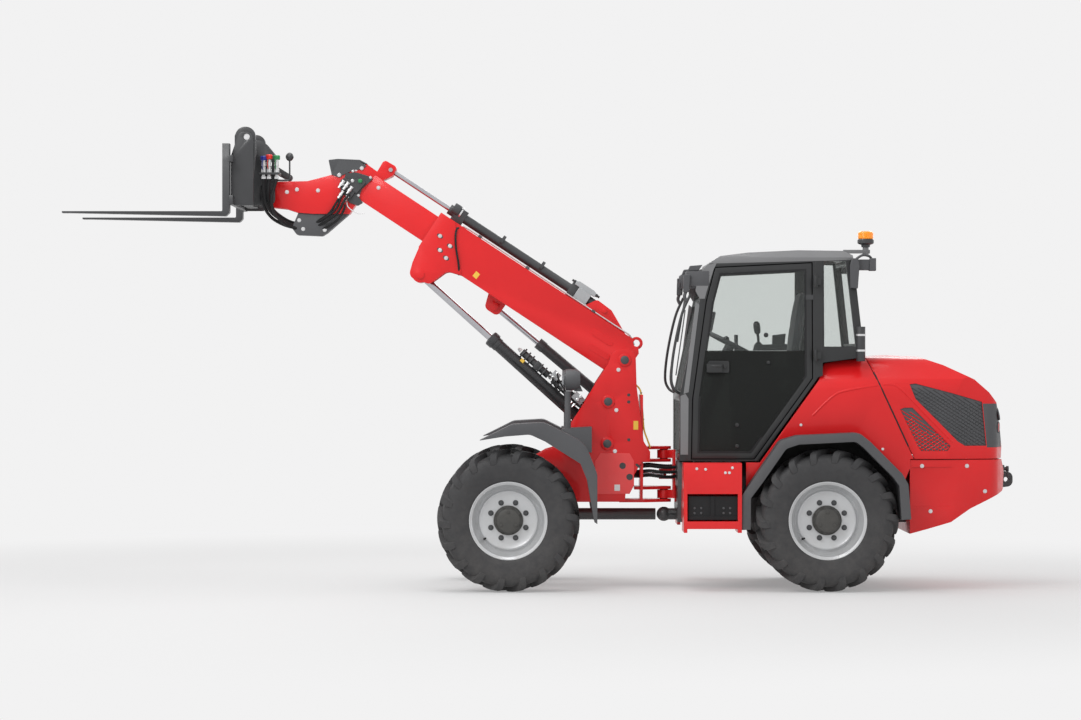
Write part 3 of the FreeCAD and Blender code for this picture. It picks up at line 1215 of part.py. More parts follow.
def cab_solid(name, inset=None):
    side = prism(name + "_side", "XZ", CAB_SIDE, "-cab_half - 20", "cab_half + 20", inset)
    front = prism(name + "_front", "YZ", CAB_ACROSS, "cab_rear_x - 20", "cab_x + 20", inset)
    return common(name, side, front)


def off_cab(name, thing):
    """Trims what is mounted on the cab to the cab's outer surface."""
    return cut(name, thing, cab_solid(name + "_seat"))


def onto_cab(name, thing):
    """A fitting that is one piece with the wall: it ends half way into it."""
    return cut(name, thing, cab_solid(name + "_seat", "cab_wall / 2"))


def cab_skin(name, wall):
    return cut(name, cab_solid(name + "_outer"), cab_solid(name + "_inner", wall))


def side_prism(name, corners, side, inset=None):
    low, high = "cab_roof_half - cab_wall - 40", "cab_half + 30"
    if side < 0:
        low, high = "-(%s)" % high, "-(%s)" % low
    return prism(name, "XZ", corners, low, high, inset)


def sill(name, back):
    """The floor's edge inside the door, which stays with the cab."""
    return block(name, ("cab_rear_x", "cab_x"), ("0", "cab_half - cab_wall - " + back),
                 ("cab_floor_z - 1", "cab_floor_z + cab_wall + 1"))


def cab():
    """Pillars, walls and floor with the windows and the doorway cut, then roof, panes and door."""
    frame_in = "door_gap + door_frame"
    windscreen = across_window(0.328, 0.918, 66, 66)
    lower_front = across_window(0.03, 0.285, 92, 30)
    rear_window = across_window(0.556, 0.93, 100, 62)
    openings = [
        cut("doorway_over_sill", side_prism("doorway", DOOR, 1), sill("door_sill", "door_gap")),
        side_prism("right_window_hole", DOOR, -1, frame_in),
        side_prism("quarter_hole_left", QUARTER, 1),
        side_prism("quarter_hole_right", QUARTER, -1),
        prism("windscreen_hole", "YZ", windscreen, "cab_x - 290", "cab_x + 30"),
        prism("rear_window_hole", "YZ", rear_window, "cab_rear_x - 30", "cab_rear_x + 160"),
    ]
    roof_zone = prism("roof_zone", "XZ", ROOF_EDGE, "-cab_half - 30", "cab_half + 30")
    front_zone = prism("front_zone", "YZ", lower_front, "cab_x - cab_wall - 5", "cab_x + 30")
    shell = cab_skin("cab_skin", "cab_wall")
    node("cab_frame", fuse("cab_frame_body", cut("cab_frame_shell", shell, *openings, roof_zone, front_zone),
                           door_hinges()))
    roof_holes = [copy_of("roof_doorway", openings[0])]
    roof = common("cab_roof_whole", cab_skin("roof_skin", "cab_wall"), copy_of("roof_zone_too", roof_zone))
    node("cab_roof", fuse("cab_roof_body", cut("cab_roof_shell", roof, *roof_holes), beacon_bracket()))
    panes = cab_skin("pane_skin", "glass")
    glazing = []
    for count, opening in enumerate(openings[1:] + [front_zone]):
        glazing.append(common("pane_%d" % count, copy_of("pane_skin_%d" % count, panes),
                              copy_of("pane_zone_%d" % count, opening)))
    node("cab_glass", cut("cab_glass_body", together("pane_set", *glazing),
                          copy_of("pane_roof_zone", roof_zone)))
    leaf = common("door_leaf", cab_skin("door_skin", "cab_wall - 4"),
                  cut("door_over_sill", side_prism("door_edge", DOOR, 1, "door_gap"),
                      sill("door_sill_room", "0")))
    light = side_prism("door_light", DOOR, 1, frame_in)
    node("cab_door", fuse("door_body", cut("door_shell", leaf, light), door_handle()))
    node("door_glass", common("door_pane", copy_of("pane_skin_door", panes), copy_of("door_zone", light)))


def door_hinges():
    """Two hinges on the rear pillar."""
    hinges = []
    for count, share in enumerate((0.5, 0.85)):
        height = "cab_floor_z + %s * cab_height" % share
        knuckle_bar = rod("door_knuckle_%d" % count, "Z", "13", height + " - 40", height + " + 40",
                          "door_hinge_x", "door_hinge_y")
        strap = block("door_strap_%d" % count, ("door_hinge_x - 40", "door_hinge_x"),
                      ("cab_roof_half", "door_hinge_y + 4"), (height + " - 24", height + " + 24"))
        hinges.append(fuse("door_hinge_%d" % count, knuckle_bar, strap))
    return onto_cab("door_hinge_set", together("door_hinge_pair", *hinges))


def door_handle():
    """Handle near the door's front edge."""
    handle = block("door_handle_block", ("cab_x - 300", "cab_x - 190"), ("cab_half - 40", "cab_half + 26"),
                   ("cab_floor_z + 0.42 * cab_height", "cab_floor_z + 0.46 * cab_height"))
    return off_cab("door_handle_body", handle)


def intake_stack():
    """Intake stack at the cab's rear left corner."""
    stack = rod("intake_stack_bar", "Z", "32", "body_top_z - 45", "body_top_z + 200",
                "cab_rear_x + 22", "cab_half - 20")
    return node("intake_stack", off_cab("intake_stack_body", stack))


define("floor_top", "cab_floor_z + cab_wall")
define("seat_x", "cab_x - 0.506 * cab_length")
define("seat_z", "floor_top + seat_height")


def cab_inside():
    """Seat on its base, console with the lever, steering column and wheel, dashboard."""
    plinth = plate("seat_plinth", [
        ("seat_x + 245", "floor_top"), ("seat_x + 245", "seat_z - 190"),
        ("seat_x - 90", "seat_z - 190"), ("seat_x + 145", "floor_top"),
    ], "-300", "300")
    console = block("console_box", ("seat_x - 60", "seat_x + 260"), ("-340", "-260"),
                    ("seat_z - 200", "seat_z + 210"))
    lever = rod("console_lever", "Z", "14", "seat_z + 209", "seat_z + 330", "seat_x + 210", "-300")
    base = block("seat_base", ("seat_x - 90", "seat_x + 160"), ("-170", "170"),
                 ("seat_z - 190", "seat_z - 0.3"))
    node("console", fuse("console_body", plinth, console, lever, base))
    node("seat_cushion", slab("seat_cushion_body", "XY", [
        ("seat_x - 232", "-220", "50"), ("seat_x + 240", "-235", "60"),
        ("seat_x + 240", "235", "60"), ("seat_x - 232", "220", "50"),
    ], "seat_z", "seat_z + 100"))
    node("seat_back", plate("seat_back_body", [
        ("seat_x - 232", "seat_z + 100.3", "20"), ("seat_x - 132", "seat_z + 100.3", "20"),
        ("seat_x - 200", "seat_z + 640", "40"), ("seat_x - 290", "seat_z + 640", "40"),
    ], "-220", "220"))
    column = plate("column_plate", [
        ("cab_x - 165", "floor_top"), ("cab_x - 75", "floor_top"),
        ("cab_x - 335", "floor_top + 735"), ("cab_x - 395", "floor_top + 706"),
    ], "-60", "60")
    dash = block("dash_box", ("cab_x - 300", "cab_x - 150"), ("-190", "190"),
                 ("floor_top + 560", "floor_top + 680"))
    ring = doc.addObject("Part::Torus", "wheel_ring")
    ring.setExpression("Radius1", linked("steering_wheel_radius"))
    ring.Radius2 = 15
    boss = rod("wheel_boss", "Z", "36", "-90", "10", "0", "0")
    spoke = block("wheel_spoke", ("-steering_wheel_radius", "steering_wheel_radius"),
                  ("-20", "20"), ("-8", "8"))
    wheel = fuse("wheel_body", ring, boss, spoke)
    lay(wheel, "cab_x - 395", "floor_top + 790", "27")
    return node("steering_column", fuse("column_body", column, dash, wheel))


define("roof_z", "cab_floor_z + cab_height")
define("beacon_x", "cab_rear_x - 30")


def beacon_bracket():
    """Stalk behind the roof for the beacon."""
    stalk = rod("beacon_stalk", "Z", "22", "roof_z - 30", "roof_z + 25", "beacon_x", "beacon_side")
    arm = block("beacon_arm", ("cab_rear_x - 60", "cab_rear_x + 130"),
                ("beacon_side - 15", "beacon_side + 15"), ("roof_z - 20", "roof_z + 6"))
    return fuse("beacon_bracket_body", stalk, arm)


def cab_lights():
    """Beacon, and work lights front and rear."""
    node("beacon", rod("beacon_body", "Z", "beacon_radius", "roof_z + 25", "roof_z + 25 + beacon_height",
                       "beacon_x", "beacon_side"))
    lamps = []
    for tag, low, high in both("cab_roof_half - 105", "cab_roof_half + 15"):
        lamps.append(block("front_light_" + tag, ("cab_x - 0.16 * cab_length", "cab_x - 0.04 * cab_length"),
                           (low, high),
                           ("cab_floor_z + 0.83 * cab_height", "cab_floor_z + 0.90 * cab_height")))
        lamps.append(block("rear_light_" + tag, ("cab_rear_x - 45", "cab_rear_x + 75"), (low, high),
                           ("cab_floor_z + 0.905 * cab_height", "cab_floor_z + 0.955 * cab_height")))
    return node("work_lights", off_cab("work_light_set", together("work_light_blocks", *lamps)))


# ---------------------------------------------------------------------------------------------
# Rear body, bonnet and counterweight
# ---------------------------------------------------------------------------------------------
def of_body(*shares):
    """Outline corners as shares of the rear body's length and of its height over the split line."""
    return [("body_x - %s * body_long" % back,
             "body_split_z + %s * (body_top_z - body_split_z)" % up, *more)
            for back, up, *more in shares]


BODY_SIDE = of_body(
    (0, -0.5), (0, 0.707), (0.3056, 0.899), (0.328, 0.9226), (0.476, 0.98), (0.5655, 1),
    (0.677, 0.981), (0.767, 0.902), (0.881, 0.7636), (0.937, 0.641), (0.9687, 0.541),
    (0.9926, 0.238), (1, 0.109), (0.995, -0.04), (0.995, -0.5))
BODY_PLAN = [
    ("body_x + 20", "-body_half"), ("body_x + 20", "body_half"),
    ("body_rear_x + 420", "body_half", "600"), ("body_rear_x + 70", "0.88 * body_half", "120"),
    ("body_rear_x - 4", "0.5 * body_half"), ("body_rear_x - 4", "-0.5 * body_half"),
    ("body_rear_x + 70", "-0.88 * body_half", "120"), ("body_rear_x + 420", "-body_half", "600"),
]
BODY_ACROSS = [
    ("-body_half", "body_split_z - 400"), ("body_half", "body_split_z - 400"),
    ("body_half", "body_top_z - 200", "150"), ("0.78 * body_half", "body_top_z - 20", "150"),
    ("0", "body_top_z + 8"),
    ("-0.78 * body_half", "body_top_z - 20", "150"), ("-body_half", "body_top_z - 200", "150"),
]
ARCH = [
    ("rear_axle_x + 598", "axle_z - 68"), ("rear_axle_x + 598", "axle_z + 173"),
    ("rear_axle_x + 512", "axle_z + 301"), ("rear_axle_x + 330", "axle_z + 564", "70"),
    ("rear_axle_x + 212", "axle_z + 598"), ("rear_axle_x - 217", "axle_z + 618", "70"),
    ("rear_axle_x - 294", "axle_z + 557"), ("rear_axle_x - 518", "axle_z + 332"),
    ("rear_axle_x - 560", "axle_z + 259"), ("rear_axle_x - 581", "axle_z + 13"),
]
BODY_ZONE = [
    ("cab_x - 0.4345 * cab_length", "cab_floor_z - 10"),
    ("cab_x - 0.757 * cab_length", "cab_floor_z + 0.385 * cab_height"),
    ("cab_x - 0.787 * cab_length", "cab_floor_z + 0.456 * cab_height"),
    ("cab_x - 0.787 * cab_length", "body_top_z + 40"), ("bonnet_x + bonnet_gap", "body_top_z + 40"),
    ("bonnet_x + bonnet_gap", "body_top_z - 15"), ("bonnet_x + bonnet_gap - 334", "body_split_z"),
    ("rear_axle_x - 545", "axle_z + 230"), ("rear_axle_x", "axle_z + 400"),
    ("rear_axle_x + 560", "axle_z + 210"), ("rear_axle_x + 560", "cab_floor_z - 10"),
]
BONNET_ZONE = [
    ("bonnet_x", "body_top_z + 40"), ("bonnet_x", "body_top_z - 15"),
    ("bonnet_x - 334", "body_split_z"), ("body_rear_x - 60", "body_split_z"),
    ("body_rear_x - 60", "body_top_z + 40"),
]


AIR_WINDOW = [
    ("bonnet_x - 299", "body_top_z - 208"), ("bonnet_x - 340", "body_top_z - 202"),
    ("bonnet_x - 599", "body_top_z - 270"), ("bonnet_x - 817", "body_top_z - 332"),
    ("bonnet_x - 848", "body_split_z + 92"), ("bonnet_x - 693", "body_split_z + 92"),
    ("bonnet_x - 641", "body_split_z + 123"), ("bonnet_x - 340", "body_top_z - 311"),
]
MESH_WINDOW = [
    ("bonnet_x - 231", "body_top_z - 384"), ("bonnet_x - 262", "body_top_z - 373"),
    ("bonnet_x - 319", "body_top_z - 373"), ("bonnet_x - 589", "body_split_z + 92"),
    ("bonnet_x - 568", "body_split_z + 56"), ("bonnet_x - 381", "body_split_z + 56"),
    ("bonnet_x - 361", "body_split_z + 82"),
]
REAR_CORNER = [
    ("bonnet_x - 822", "body_top_z - 345"), ("body_rear_x - 30", "body_top_z - 345"),
    ("body_rear_x - 30", "body_split_z + 80"), ("bonnet_x - 853", "body_split_z + 80"),
]


def body_solid(name, inset=None):
    side = prism(name + "_side", "XZ", BODY_SIDE, "-body_half - 20", "body_half + 20", inset)
    plan = prism(name + "_plan", "XY", BODY_PLAN, "body_split_z - 450", "body_top_z + 60", inset)
    front = prism(name + "_across", "YZ", BODY_ACROSS, "body_rear_x - 60", "body_x + 60", inset)
    return common(name, side, plan, front)


def rear_body():
    """Fixed panels beside the cab, and the bonnet behind the slanting joint."""
    skin = cut("body_skin", body_solid("body_outer"), body_solid("body_inner", "body_sheet"))
    zone = prism("body_zone", "XZ", BODY_ZONE, "-body_half - 30", "body_half + 30")
    wheel_space = prism("wheel_space", "XZ", ARCH, "-body_half - 40", "body_half + 40")
    weight_room = block("weight_room", ("body_rear_x - 60", "rear_axle_x - weight_front + 0.3"),
                        ("-body_half - 60", "body_half + 60"), ("rail_bottom_z", "body_split_z"))
    panels = cut("rear_panels", common("rear_body_zone", skin, zone), wheel_space, weight_room)
    node("rear_body", fuse("rear_body_shell", panels, bonnet_hinges()))
    lid_zone = prism("bonnet_zone", "XZ", BONNET_ZONE, "-body_half - 30", "body_half + 30")
    lid = common("bonnet_shell", copy_of("bonnet_skin", skin), lid_zone)
    lattice = cut("lattice_skin", body_solid("lattice_outer", "lattice_depth"),
                  body_solid("lattice_inner", "lattice_depth + lattice_sheet"))
    holes = []
    grilles = []
    corners = []
    for tag, low, high in both("0.55 * body_half", "body_half + 30"):
        for kind, edge in (("air", AIR_WINDOW), ("mesh", MESH_WINDOW)):
            hole = prism("%s_window_%s" % (kind, tag), "XZ", edge, low, high)
            holes.append(hole)
            grilles.append(common("%s_grille_%s" % (kind, tag),
                                  copy_of("%s_lattice_%s" % (kind, tag), lattice),
                                  copy_of("%s_zone_%s" % (kind, tag), hole)))
        hole = prism("rear_corner_hole_" + tag, "XZ", REAR_CORNER, low, high)
        holes.append(hole)
        corners.append(common("rear_corner_" + tag, copy_of("corner_skin_" + tag, skin),
                              copy_of("corner_zone_" + tag, hole)))
    node("bonnet_grilles", together("grille_set", *grilles))
    node("rear_lamp_corners", together("corner_pair", *corners))
    return node("bonnet", cut("bonnet_with_windows", lid, *holes))


def bonnet_hinges():
    """Two hinge barrels across the joint, above the skin, on the bonnet's axis."""
    barrels = []
    for tag, low, high in both("170", "260"):
        barrel = rod("bonnet_barrel_" + tag, "Y", "9", low, high, "bonnet_x", "bonnet_hinge_z")
        strap = block("bonnet_strap_" + tag, ("bonnet_x + 2", "bonnet_x + 60"), (low, high),
                      ("body_top_z - 40", "bonnet_hinge_z + 5"))
        barrels.append(fuse("bonnet_hinge_" + tag, barrel, strap))
    pair = together("bonnet_hinge_pair", *barrels)
    return cut("bonnet_hinge_set", off_cab("bonnet_hinges_off", pair),
               body_solid("bonnet_hinge_seat", "body_sheet / 2"))


def counterweight():
    shape = plate("counterweight_side", [
        ("rear_axle_x - weight_front", "body_split_z - bonnet_gap"),
        ("body_rear_x + 13", "body_split_z - bonnet_gap"), ("body_rear_x - 11", "body_split_z - 90", "30"),
        ("body_rear_x - 1", "body_split_z - 230", "30"), ("body_rear_x + 84", "body_split_z - 269"),
        ("body_rear_x + 256", "body_split_z - 353"), ("body_rear_x + 393", "body_split_z - 447"),
        ("body_rear_x + 571", "body_split_z - 499"), ("rear_axle_x - weight_front", "body_split_z - 530"),
    ], "-body_half - 10", "body_half + 10")
    plan = prism("counterweight_plan", "XY", [
        ("body_x", "-body_half + 12"), ("body_x", "body_half - 12"),
        ("body_rear_x + 420", "body_half - 12", "600"), ("body_rear_x + 70", "0.9 * body_half", "120"),
        ("body_rear_x - 20", "0.55 * body_half"), ("body_rear_x - 20", "-0.55 * body_half"),
        ("body_rear_x + 70", "-0.9 * body_half", "120"), ("body_rear_x + 420", "-body_half + 12", "600"),
    ], "rail_bottom_z - 200", "body_split_z + 50")
    pockets = []
    for tag, low, high in both("body_half - 20", "body_half + 20"):
        pockets.append(prism("weight_pocket_" + tag, "XZ", [
            ("rear_axle_x - weight_front - 12", "body_split_z - 58"),
            ("body_rear_x + 170", "body_split_z - 58"), ("body_rear_x + 118", "body_split_z - 150"),
            ("body_rear_x + 232", "body_split_z - 300"), ("body_rear_x + 400", "body_split_z - 338"),
            ("rear_axle_x - weight_front - 12", "body_split_z - 338"),
        ], low, high))
    return node("counterweight", cut("counterweight_cast", common("counterweight_body", shape, plan),
                                     *pockets))


def tow_hitch():
    """Two bored ears behind the counterweight."""
    ears = []
    for tag, low, high in both("30", "52"):
        ears.append(plate("tow_ear_" + tag, [
            ("body_rear_x - 12", "body_split_z - 225"), ("body_rear_x - 12", "body_split_z - 95"),
            ("body_rear_x - 118", "body_split_z - 115", "42"),
            ("body_rear_x - 118", "body_split_z - 212", "42"),
        ], low, high, [("body_rear_x - 74", "body_split_z - 163", "hitch_bore")]))
    root = block("tow_root", ("body_rear_x - 25", "body_rear_x - 11"), ("-90", "90"),
                 ("body_split_z - 225", "body_split_z - 95"))
    return node("tow_hitch", fuse("tow_hitch_body", *ears, root))


def rear_flares():
    """Dark arches over the rear wheels."""
    arches = []
    for tag, low, high in both("0.93 * body_half", "flare_outer"):
        outer = prism("flare_" + tag, "XZ", ARCH, low, high)
        inner = prism("flare_hollow_" + tag, "XZ", [
            ("rear_axle_x + 599 - flare_band", "axle_z - 80"),
            ("rear_axle_x + 598 - flare_band", "axle_z + 155"),
            ("rear_axle_x + 512 - flare_band", "axle_z + 273"),
            ("rear_axle_x + 292", "axle_z + 506", "60"), ("rear_axle_x + 205", "axle_z + 536"),
            ("rear_axle_x - 195", "axle_z + 556", "60"),
            ("rear_axle_x - 248", "axle_z + 514"), ("rear_axle_x - 518 + flare_band", "axle_z + 306"),
            ("rear_axle_x - 560 + flare_band", "axle_z + 248"),
            ("rear_axle_x - 582 + flare_band", "axle_z - 80"),
        ], "%s - 1" % low, "%s + 1" % high)
        side = 1 if tag == "left" else -1
        corner = prism("flare_corner_" + tag, "XY", [
            ("rear_axle_x + 620", "%d * (flare_outer - 115)" % side),
            ("rear_axle_x + 184", "%d * flare_outer" % side),
            ("rear_axle_x + 184", "%d * (flare_outer + 20)" % side),
            ("rear_axle_x + 620", "%d * (flare_outer + 20)" % side),
        ], "axle_z - 100", "axle_z + 700")
        arches.append(cut("flare_whole_" + tag, outer, inner, corner))
    return node("rear_wheel_arches", together("flare_pair", *arches))


# ---------------------------------------------------------------------------------------------
# Rear chassis, engine and side steps
# ---------------------------------------------------------------------------------------------
define("nose_back", "hinge_x - knuckle_reach - 6")


def rear_chassis():
    """Two long plates joined by the bearing plate in front, a bridge over the axle and cross plates."""
    side = [
        ("nose_back", "rail_top_z"), ("nose_back", "rail_bottom_z"),
        ("rear_axle_x + 130", "rail_bottom_z"), ("rear_axle_x + 130", "axle_z + 130"),
        ("rear_axle_x - 130", "axle_z + 130"), ("rear_axle_x - 130", "rail_bottom_z"),
        ("rear_axle_x - weight_front", "rail_bottom_z"), ("rear_axle_x - weight_front", "rail_top_z"),
    ]
    pieces = []
    for tag, low, high in both("rail_half - rail_plate", "rail_half"):
        pieces.append(plate("rail_" + tag, side, low, high))
    bearing = slab("bearing_plate", "YZ", [
        ("-rail_half", "rail_bottom_z"), ("rail_half", "rail_bottom_z"),
        ("rail_half", "rail_top_z"), ("-rail_half", "rail_top_z"),
    ], "nose_back - 24", "nose_back", [("0", "lower_bearing_z", "swing_radius + fit")])
    pieces.append(cut("bearing_plate_notched", bearing,
                      rod("shaft_way", "X", "1.5 * shaft_radius", "nose_back - 25", "nose_back + 1",
                          "0", "shaft_z - 5")))
    inside = ("-rail_half + rail_plate", "rail_half - rail_plate")
    pieces.append(cut("swing_housing",
                      rod("swing_housing_block", "X", "1.4 * swing_radius",
                          "nose_back - swing_length", "nose_back - 20", "0", "lower_bearing_z"),
                      rod("swing_housing_bore", "X", "swing_radius + fit",
                          "nose_back - swing_length - 1", "nose_back", "0", "lower_bearing_z")))
    pieces.append(block("axle_bridge", ("rear_axle_x - 110", "rear_axle_x + 110"), inside,
                        ("bridge_z", "bridge_z + 60")))
    pieces.append(block("mid_cross_plate", ("nose_back - 520", "nose_back - 500"), inside,
                        ("lower_bearing_z + 20", "rail_top_z")))
    mounts = []
    for count, (ahead, side_y) in enumerate(((-70, 1), (-70, -1), (-520, 1), (-520, -1))):
        mounts.append(rod("cab_mount_%d" % count, "Z", "34", "rail_top_z", "cab_floor_z",
                          "cab_x + (%d)" % ahead, "%d * (rail_half - 40)" % side_y))
    for tag, low, high in both("rail_half - 80", "rail_half"):
        pieces.append(block("top_rail_" + tag, ("rear_axle_x + 200", "nose_back"), (low, high),
                            ("rail_top_z - 16", "rail_top_z")))
    return node("rear_chassis", fuse("rear_chassis_body", *pieces, *mounts))


def engine():
    return node("engine_block", block("engine_body", ("rear_axle_x - weight_front + 1", "rear_axle_x - 240"),
                                      ("-rail_half + rail_plate", "rail_half - rail_plate"),
                                      ("axle_z + 130", "axle_z + 720")))


def side_steps():
    """Framed box under each side of the cab, with a recess for the foot."""
    frames = []
    front = "cab_x - 23"
    back = "cab_x - 430"
    for tag, low, high in both("step_inner", "step_outer"):
        pieces = [
            cut("step_box_" + tag,
                block("step_top_" + tag, (back, front), (low, high), ("rail_top_z - 170", "rail_top_z + 5")),
                block("step_room_" + tag, (back + " + 12", front + " - 12"), (low + " + 12", high + " - 12"),
                      ("rail_top_z - 158", "rail_top_z - 7"))),
            block("step_mid_" + tag, (back, front), (low, high), ("rail_top_z - 212", "rail_top_z - 169")),
            block("step_low_" + tag, (back, front), (low, high), ("rail_top_z - 458", "rail_top_z - 405")),
            block("step_post_f_" + tag, (front + " - 24", front), (low, high),
                  ("rail_top_z - 485", "rail_top_z")),
            block("step_post_r_" + tag, (back, back + " + 28"), (low, high),
                  ("rail_top_z - 485", "rail_top_z")),
        ]
        if tag == "left":
            inner = ("rail_half", "step_inner + 20")
        else:
            inner = ("-step_inner - 20", "-rail_half")
        pieces.append(block("step_back_" + tag, (back, front), inner,
                            ("rail_top_z - 405", "rail_top_z - 200")))
        frames.append(fuse("step_" + tag, *pieces))
    return node("side_steps", together("step_pair", *frames))


# ---------------------------------------------------------------------------------------------
# Steering cylinder, between the front frame's right plate and the knuckle's arm
# ---------------------------------------------------------------------------------------------
def steering_cylinder():
    """Barrel on the front frame; the rod's eye is the open pivot between the knuckle's fork plates."""
    long = "steer_foot_ahead"
    eye = rod("steer_eye", "Z", "28", "-steer_eye_half", "steer_eye_half", "0", "0")
    tube = rod("steer_tube", "X", "steer_radius", "-steer_barrel", "-42", "0", "0")
    neck = rod("steer_neck", "X", "steer_eye_half - 1", "-45", "-20", "0", "0")
    whole = fuse("steer_barrel_whole", eye, tube, neck)
    barrel = cut("steer_barrel_body", whole,
                 rod("steer_bore", "X", "steer_rod + fit", "-steer_barrel - 1", "-50", "0", "0"),
                 rod("steer_pin_bore", "Z", "steer_pin + fit", "-30", "30", "0", "0"))
    piston = fuse("steer_rod_body",
                  rod("steer_bar", "X", "steer_rod", "-%s + 20" % long, "-steer_barrel + 150", "0", "0"),
                  rod("steer_head", "Z", "25", "-steer_eye_half", "steer_eye_half", "-" + long, "0"))
    for thing in (barrel, piston):
        bind_place(thing, ("hinge_x + steer_foot_ahead", "-steer_side", "steer_z"))
    node("steering_barrel", barrel)
    return node("steering_rod", piston)


# ---------------------------------------------------------------------------------------------
# Assembly, check and export
# ---------------------------------------------------------------------------------------------
def assemble():
    wheels()
    front_shafts, rear_shafts = drive_shafts()
    axle("front_axle", "front_axle_x", -1, "frame_bottom_z", front_shafts)
    axle("rear_axle", "rear_axle_x", 1, "bridge_z", rear_shafts)
    knuckle()
    front_frame()
    frame_pins()
    front_fenders()
    head_lamps()
    outer_boom()
    wear_pads()
    stretch_barrel()
    inner_boom()
    gooseneck()
    guard_plate()
    stretch_rod()
    lift_cylinders()
    hitch()
    hitch_pins()
    tilt_link()
    carriage()
    forks()
    cab()
    cab_inside()
    cab_lights()
    rear_body()
    counterweight()
    tow_hitch()
    rear_flares()
    rear_chassis()
    engine()
    side_steps()
    intake_stack()
    steering_cylinder()


def check():
    broken = []
    for thing in doc.Objects:
        if "Invalid" in thing.State or "Error" in thing.State:
            broken.append("%s %s" % (thing.Name, thing.State))
    for thing in NODES:
        shape = thing.Shape
        if shape.isNull() or not shape.isValid() or not shape.Solids:
            broken.append("%s has no sound shape" % thing.Label)
    if broken:
        raise RuntimeError("; ".join(broken))


def export():
    os.makedirs("parts", exist_ok=True)
    for thing in NODES:
        thing.Shape.exportStep("parts/%s.step" % thing.Label)
        box = thing.Shape.BoundBox
        print("%-26s solids %2d  volume %8.2f l  x %6.0f..%6.0f  y %6.0f..%6.0f  z %6.0f..%6.0f" % (
            thing.Label, len(thing.Shape.Solids), thing.Shape.Volume / 1e6,
            box.XMin, box.XMax, box.YMin, box.YMax, box.ZMin, box.ZMax))


assemble()
doc.recompute()
check()
export()
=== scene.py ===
# %% [markdown]
# # A telescopic wheel loader, dressed in Blender
# The real machine is a small articulated loader with a cab and a boom that lifts and
# stretches. Its measured model arrives as a fixed frame: steel parts that already have
# their true size and place. This lesson keeps those parts, gives every one a finish, and
# adds what a workshop would bolt, clip or stretch over them: treads, hoses, lamps, bolts,
# grilles and the seat's cover. Everything is in metres, with +X forward and +Z up.

# %% Load the frame
import bpy
import bmesh
import json
import math
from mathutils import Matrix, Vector

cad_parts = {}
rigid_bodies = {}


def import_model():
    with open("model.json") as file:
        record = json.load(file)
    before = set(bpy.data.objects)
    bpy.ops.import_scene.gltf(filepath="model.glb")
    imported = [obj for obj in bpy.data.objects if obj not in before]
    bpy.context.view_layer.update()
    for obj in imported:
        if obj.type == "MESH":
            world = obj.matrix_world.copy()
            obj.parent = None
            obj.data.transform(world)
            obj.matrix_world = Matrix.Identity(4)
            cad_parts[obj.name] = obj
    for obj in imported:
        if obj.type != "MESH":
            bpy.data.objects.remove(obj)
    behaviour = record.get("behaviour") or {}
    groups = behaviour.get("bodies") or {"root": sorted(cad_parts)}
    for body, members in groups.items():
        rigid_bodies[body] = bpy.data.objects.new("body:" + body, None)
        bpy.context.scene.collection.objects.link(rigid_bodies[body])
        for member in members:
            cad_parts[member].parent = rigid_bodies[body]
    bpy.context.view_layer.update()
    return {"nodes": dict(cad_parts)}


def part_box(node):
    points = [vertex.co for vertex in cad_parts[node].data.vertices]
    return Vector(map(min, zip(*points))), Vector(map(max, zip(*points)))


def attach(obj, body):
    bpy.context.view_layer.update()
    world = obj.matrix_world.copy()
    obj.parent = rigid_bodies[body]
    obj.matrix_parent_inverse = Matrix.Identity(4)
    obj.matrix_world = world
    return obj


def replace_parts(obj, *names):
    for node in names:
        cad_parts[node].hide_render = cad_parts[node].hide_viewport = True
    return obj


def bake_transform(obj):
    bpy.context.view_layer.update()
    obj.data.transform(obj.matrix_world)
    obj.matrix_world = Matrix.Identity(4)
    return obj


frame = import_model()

NODES = frame["nodes"]

# %% [markdown]
# ## Standing in front of the machine
# The machine is seen square from its left side, from far away, with the lens 1.63 m above
# the ground. A long lens 25 m off keeps the wheels round and the cab's sides parallel.

# %% Camera
LENS_HEIGHT = 1.63
LENS_DISTANCE = 25.0
LENS_MM = 114.8


def new_object(name, data):
    thing = bpy.data.objects.new(name, data)
    bpy.context.collection.objects.link(thing)
    return thing


def place_camera():
    data = bpy.data.cameras.new("camera")
    data.lens = LENS_MM
    data.sensor_width = 36.0
    data.clip_end = 200.0
    camera = new_object("camera", data)
    camera.location = (0.0, LENS_DISTANCE, LENS_HEIGHT)
    camera.rotation_euler = (math.pi / 2, 0.0, math.pi)
    bpy.context.scene.camera = camera
    return camera


camera = place_camera()
print("camera at", tuple(camera.location), "lens", LENS_MM)

# %% [markdown]
# ## A pale room with soft light
# A studio lights a machine from all round, so that paint shows its curves and no part
# falls into the dark. The world gives the even light, and large soft lamps give the
# shapes: a broad one high up in front of the machine on the lens's side, one above and one
# behind. The floor is matt near the wheels, where it takes their shadow, and glides into
# the colour of the room further out, as a curved paper backdrop does. Colours are shown
# as they are, without a film curve, so that the paint keeps its full red.

# %% Room and lights
ROOM_GREY = (0.888, 0.886, 0.888)


def soft_lamp(name, place, aim, size, power):
    data = bpy.data.lights.new(name, "AREA")
    data.shape = "RECTANGLE"
    data.size = size[0]
    data.size_y = size[1]
    data.energy = power
    lamp = new_object(name, data)
    lamp.location = place
    lamp.rotation_euler = (Vector(aim) - Vector(place)).to_track_quat("-Z", "Y").to_euler()


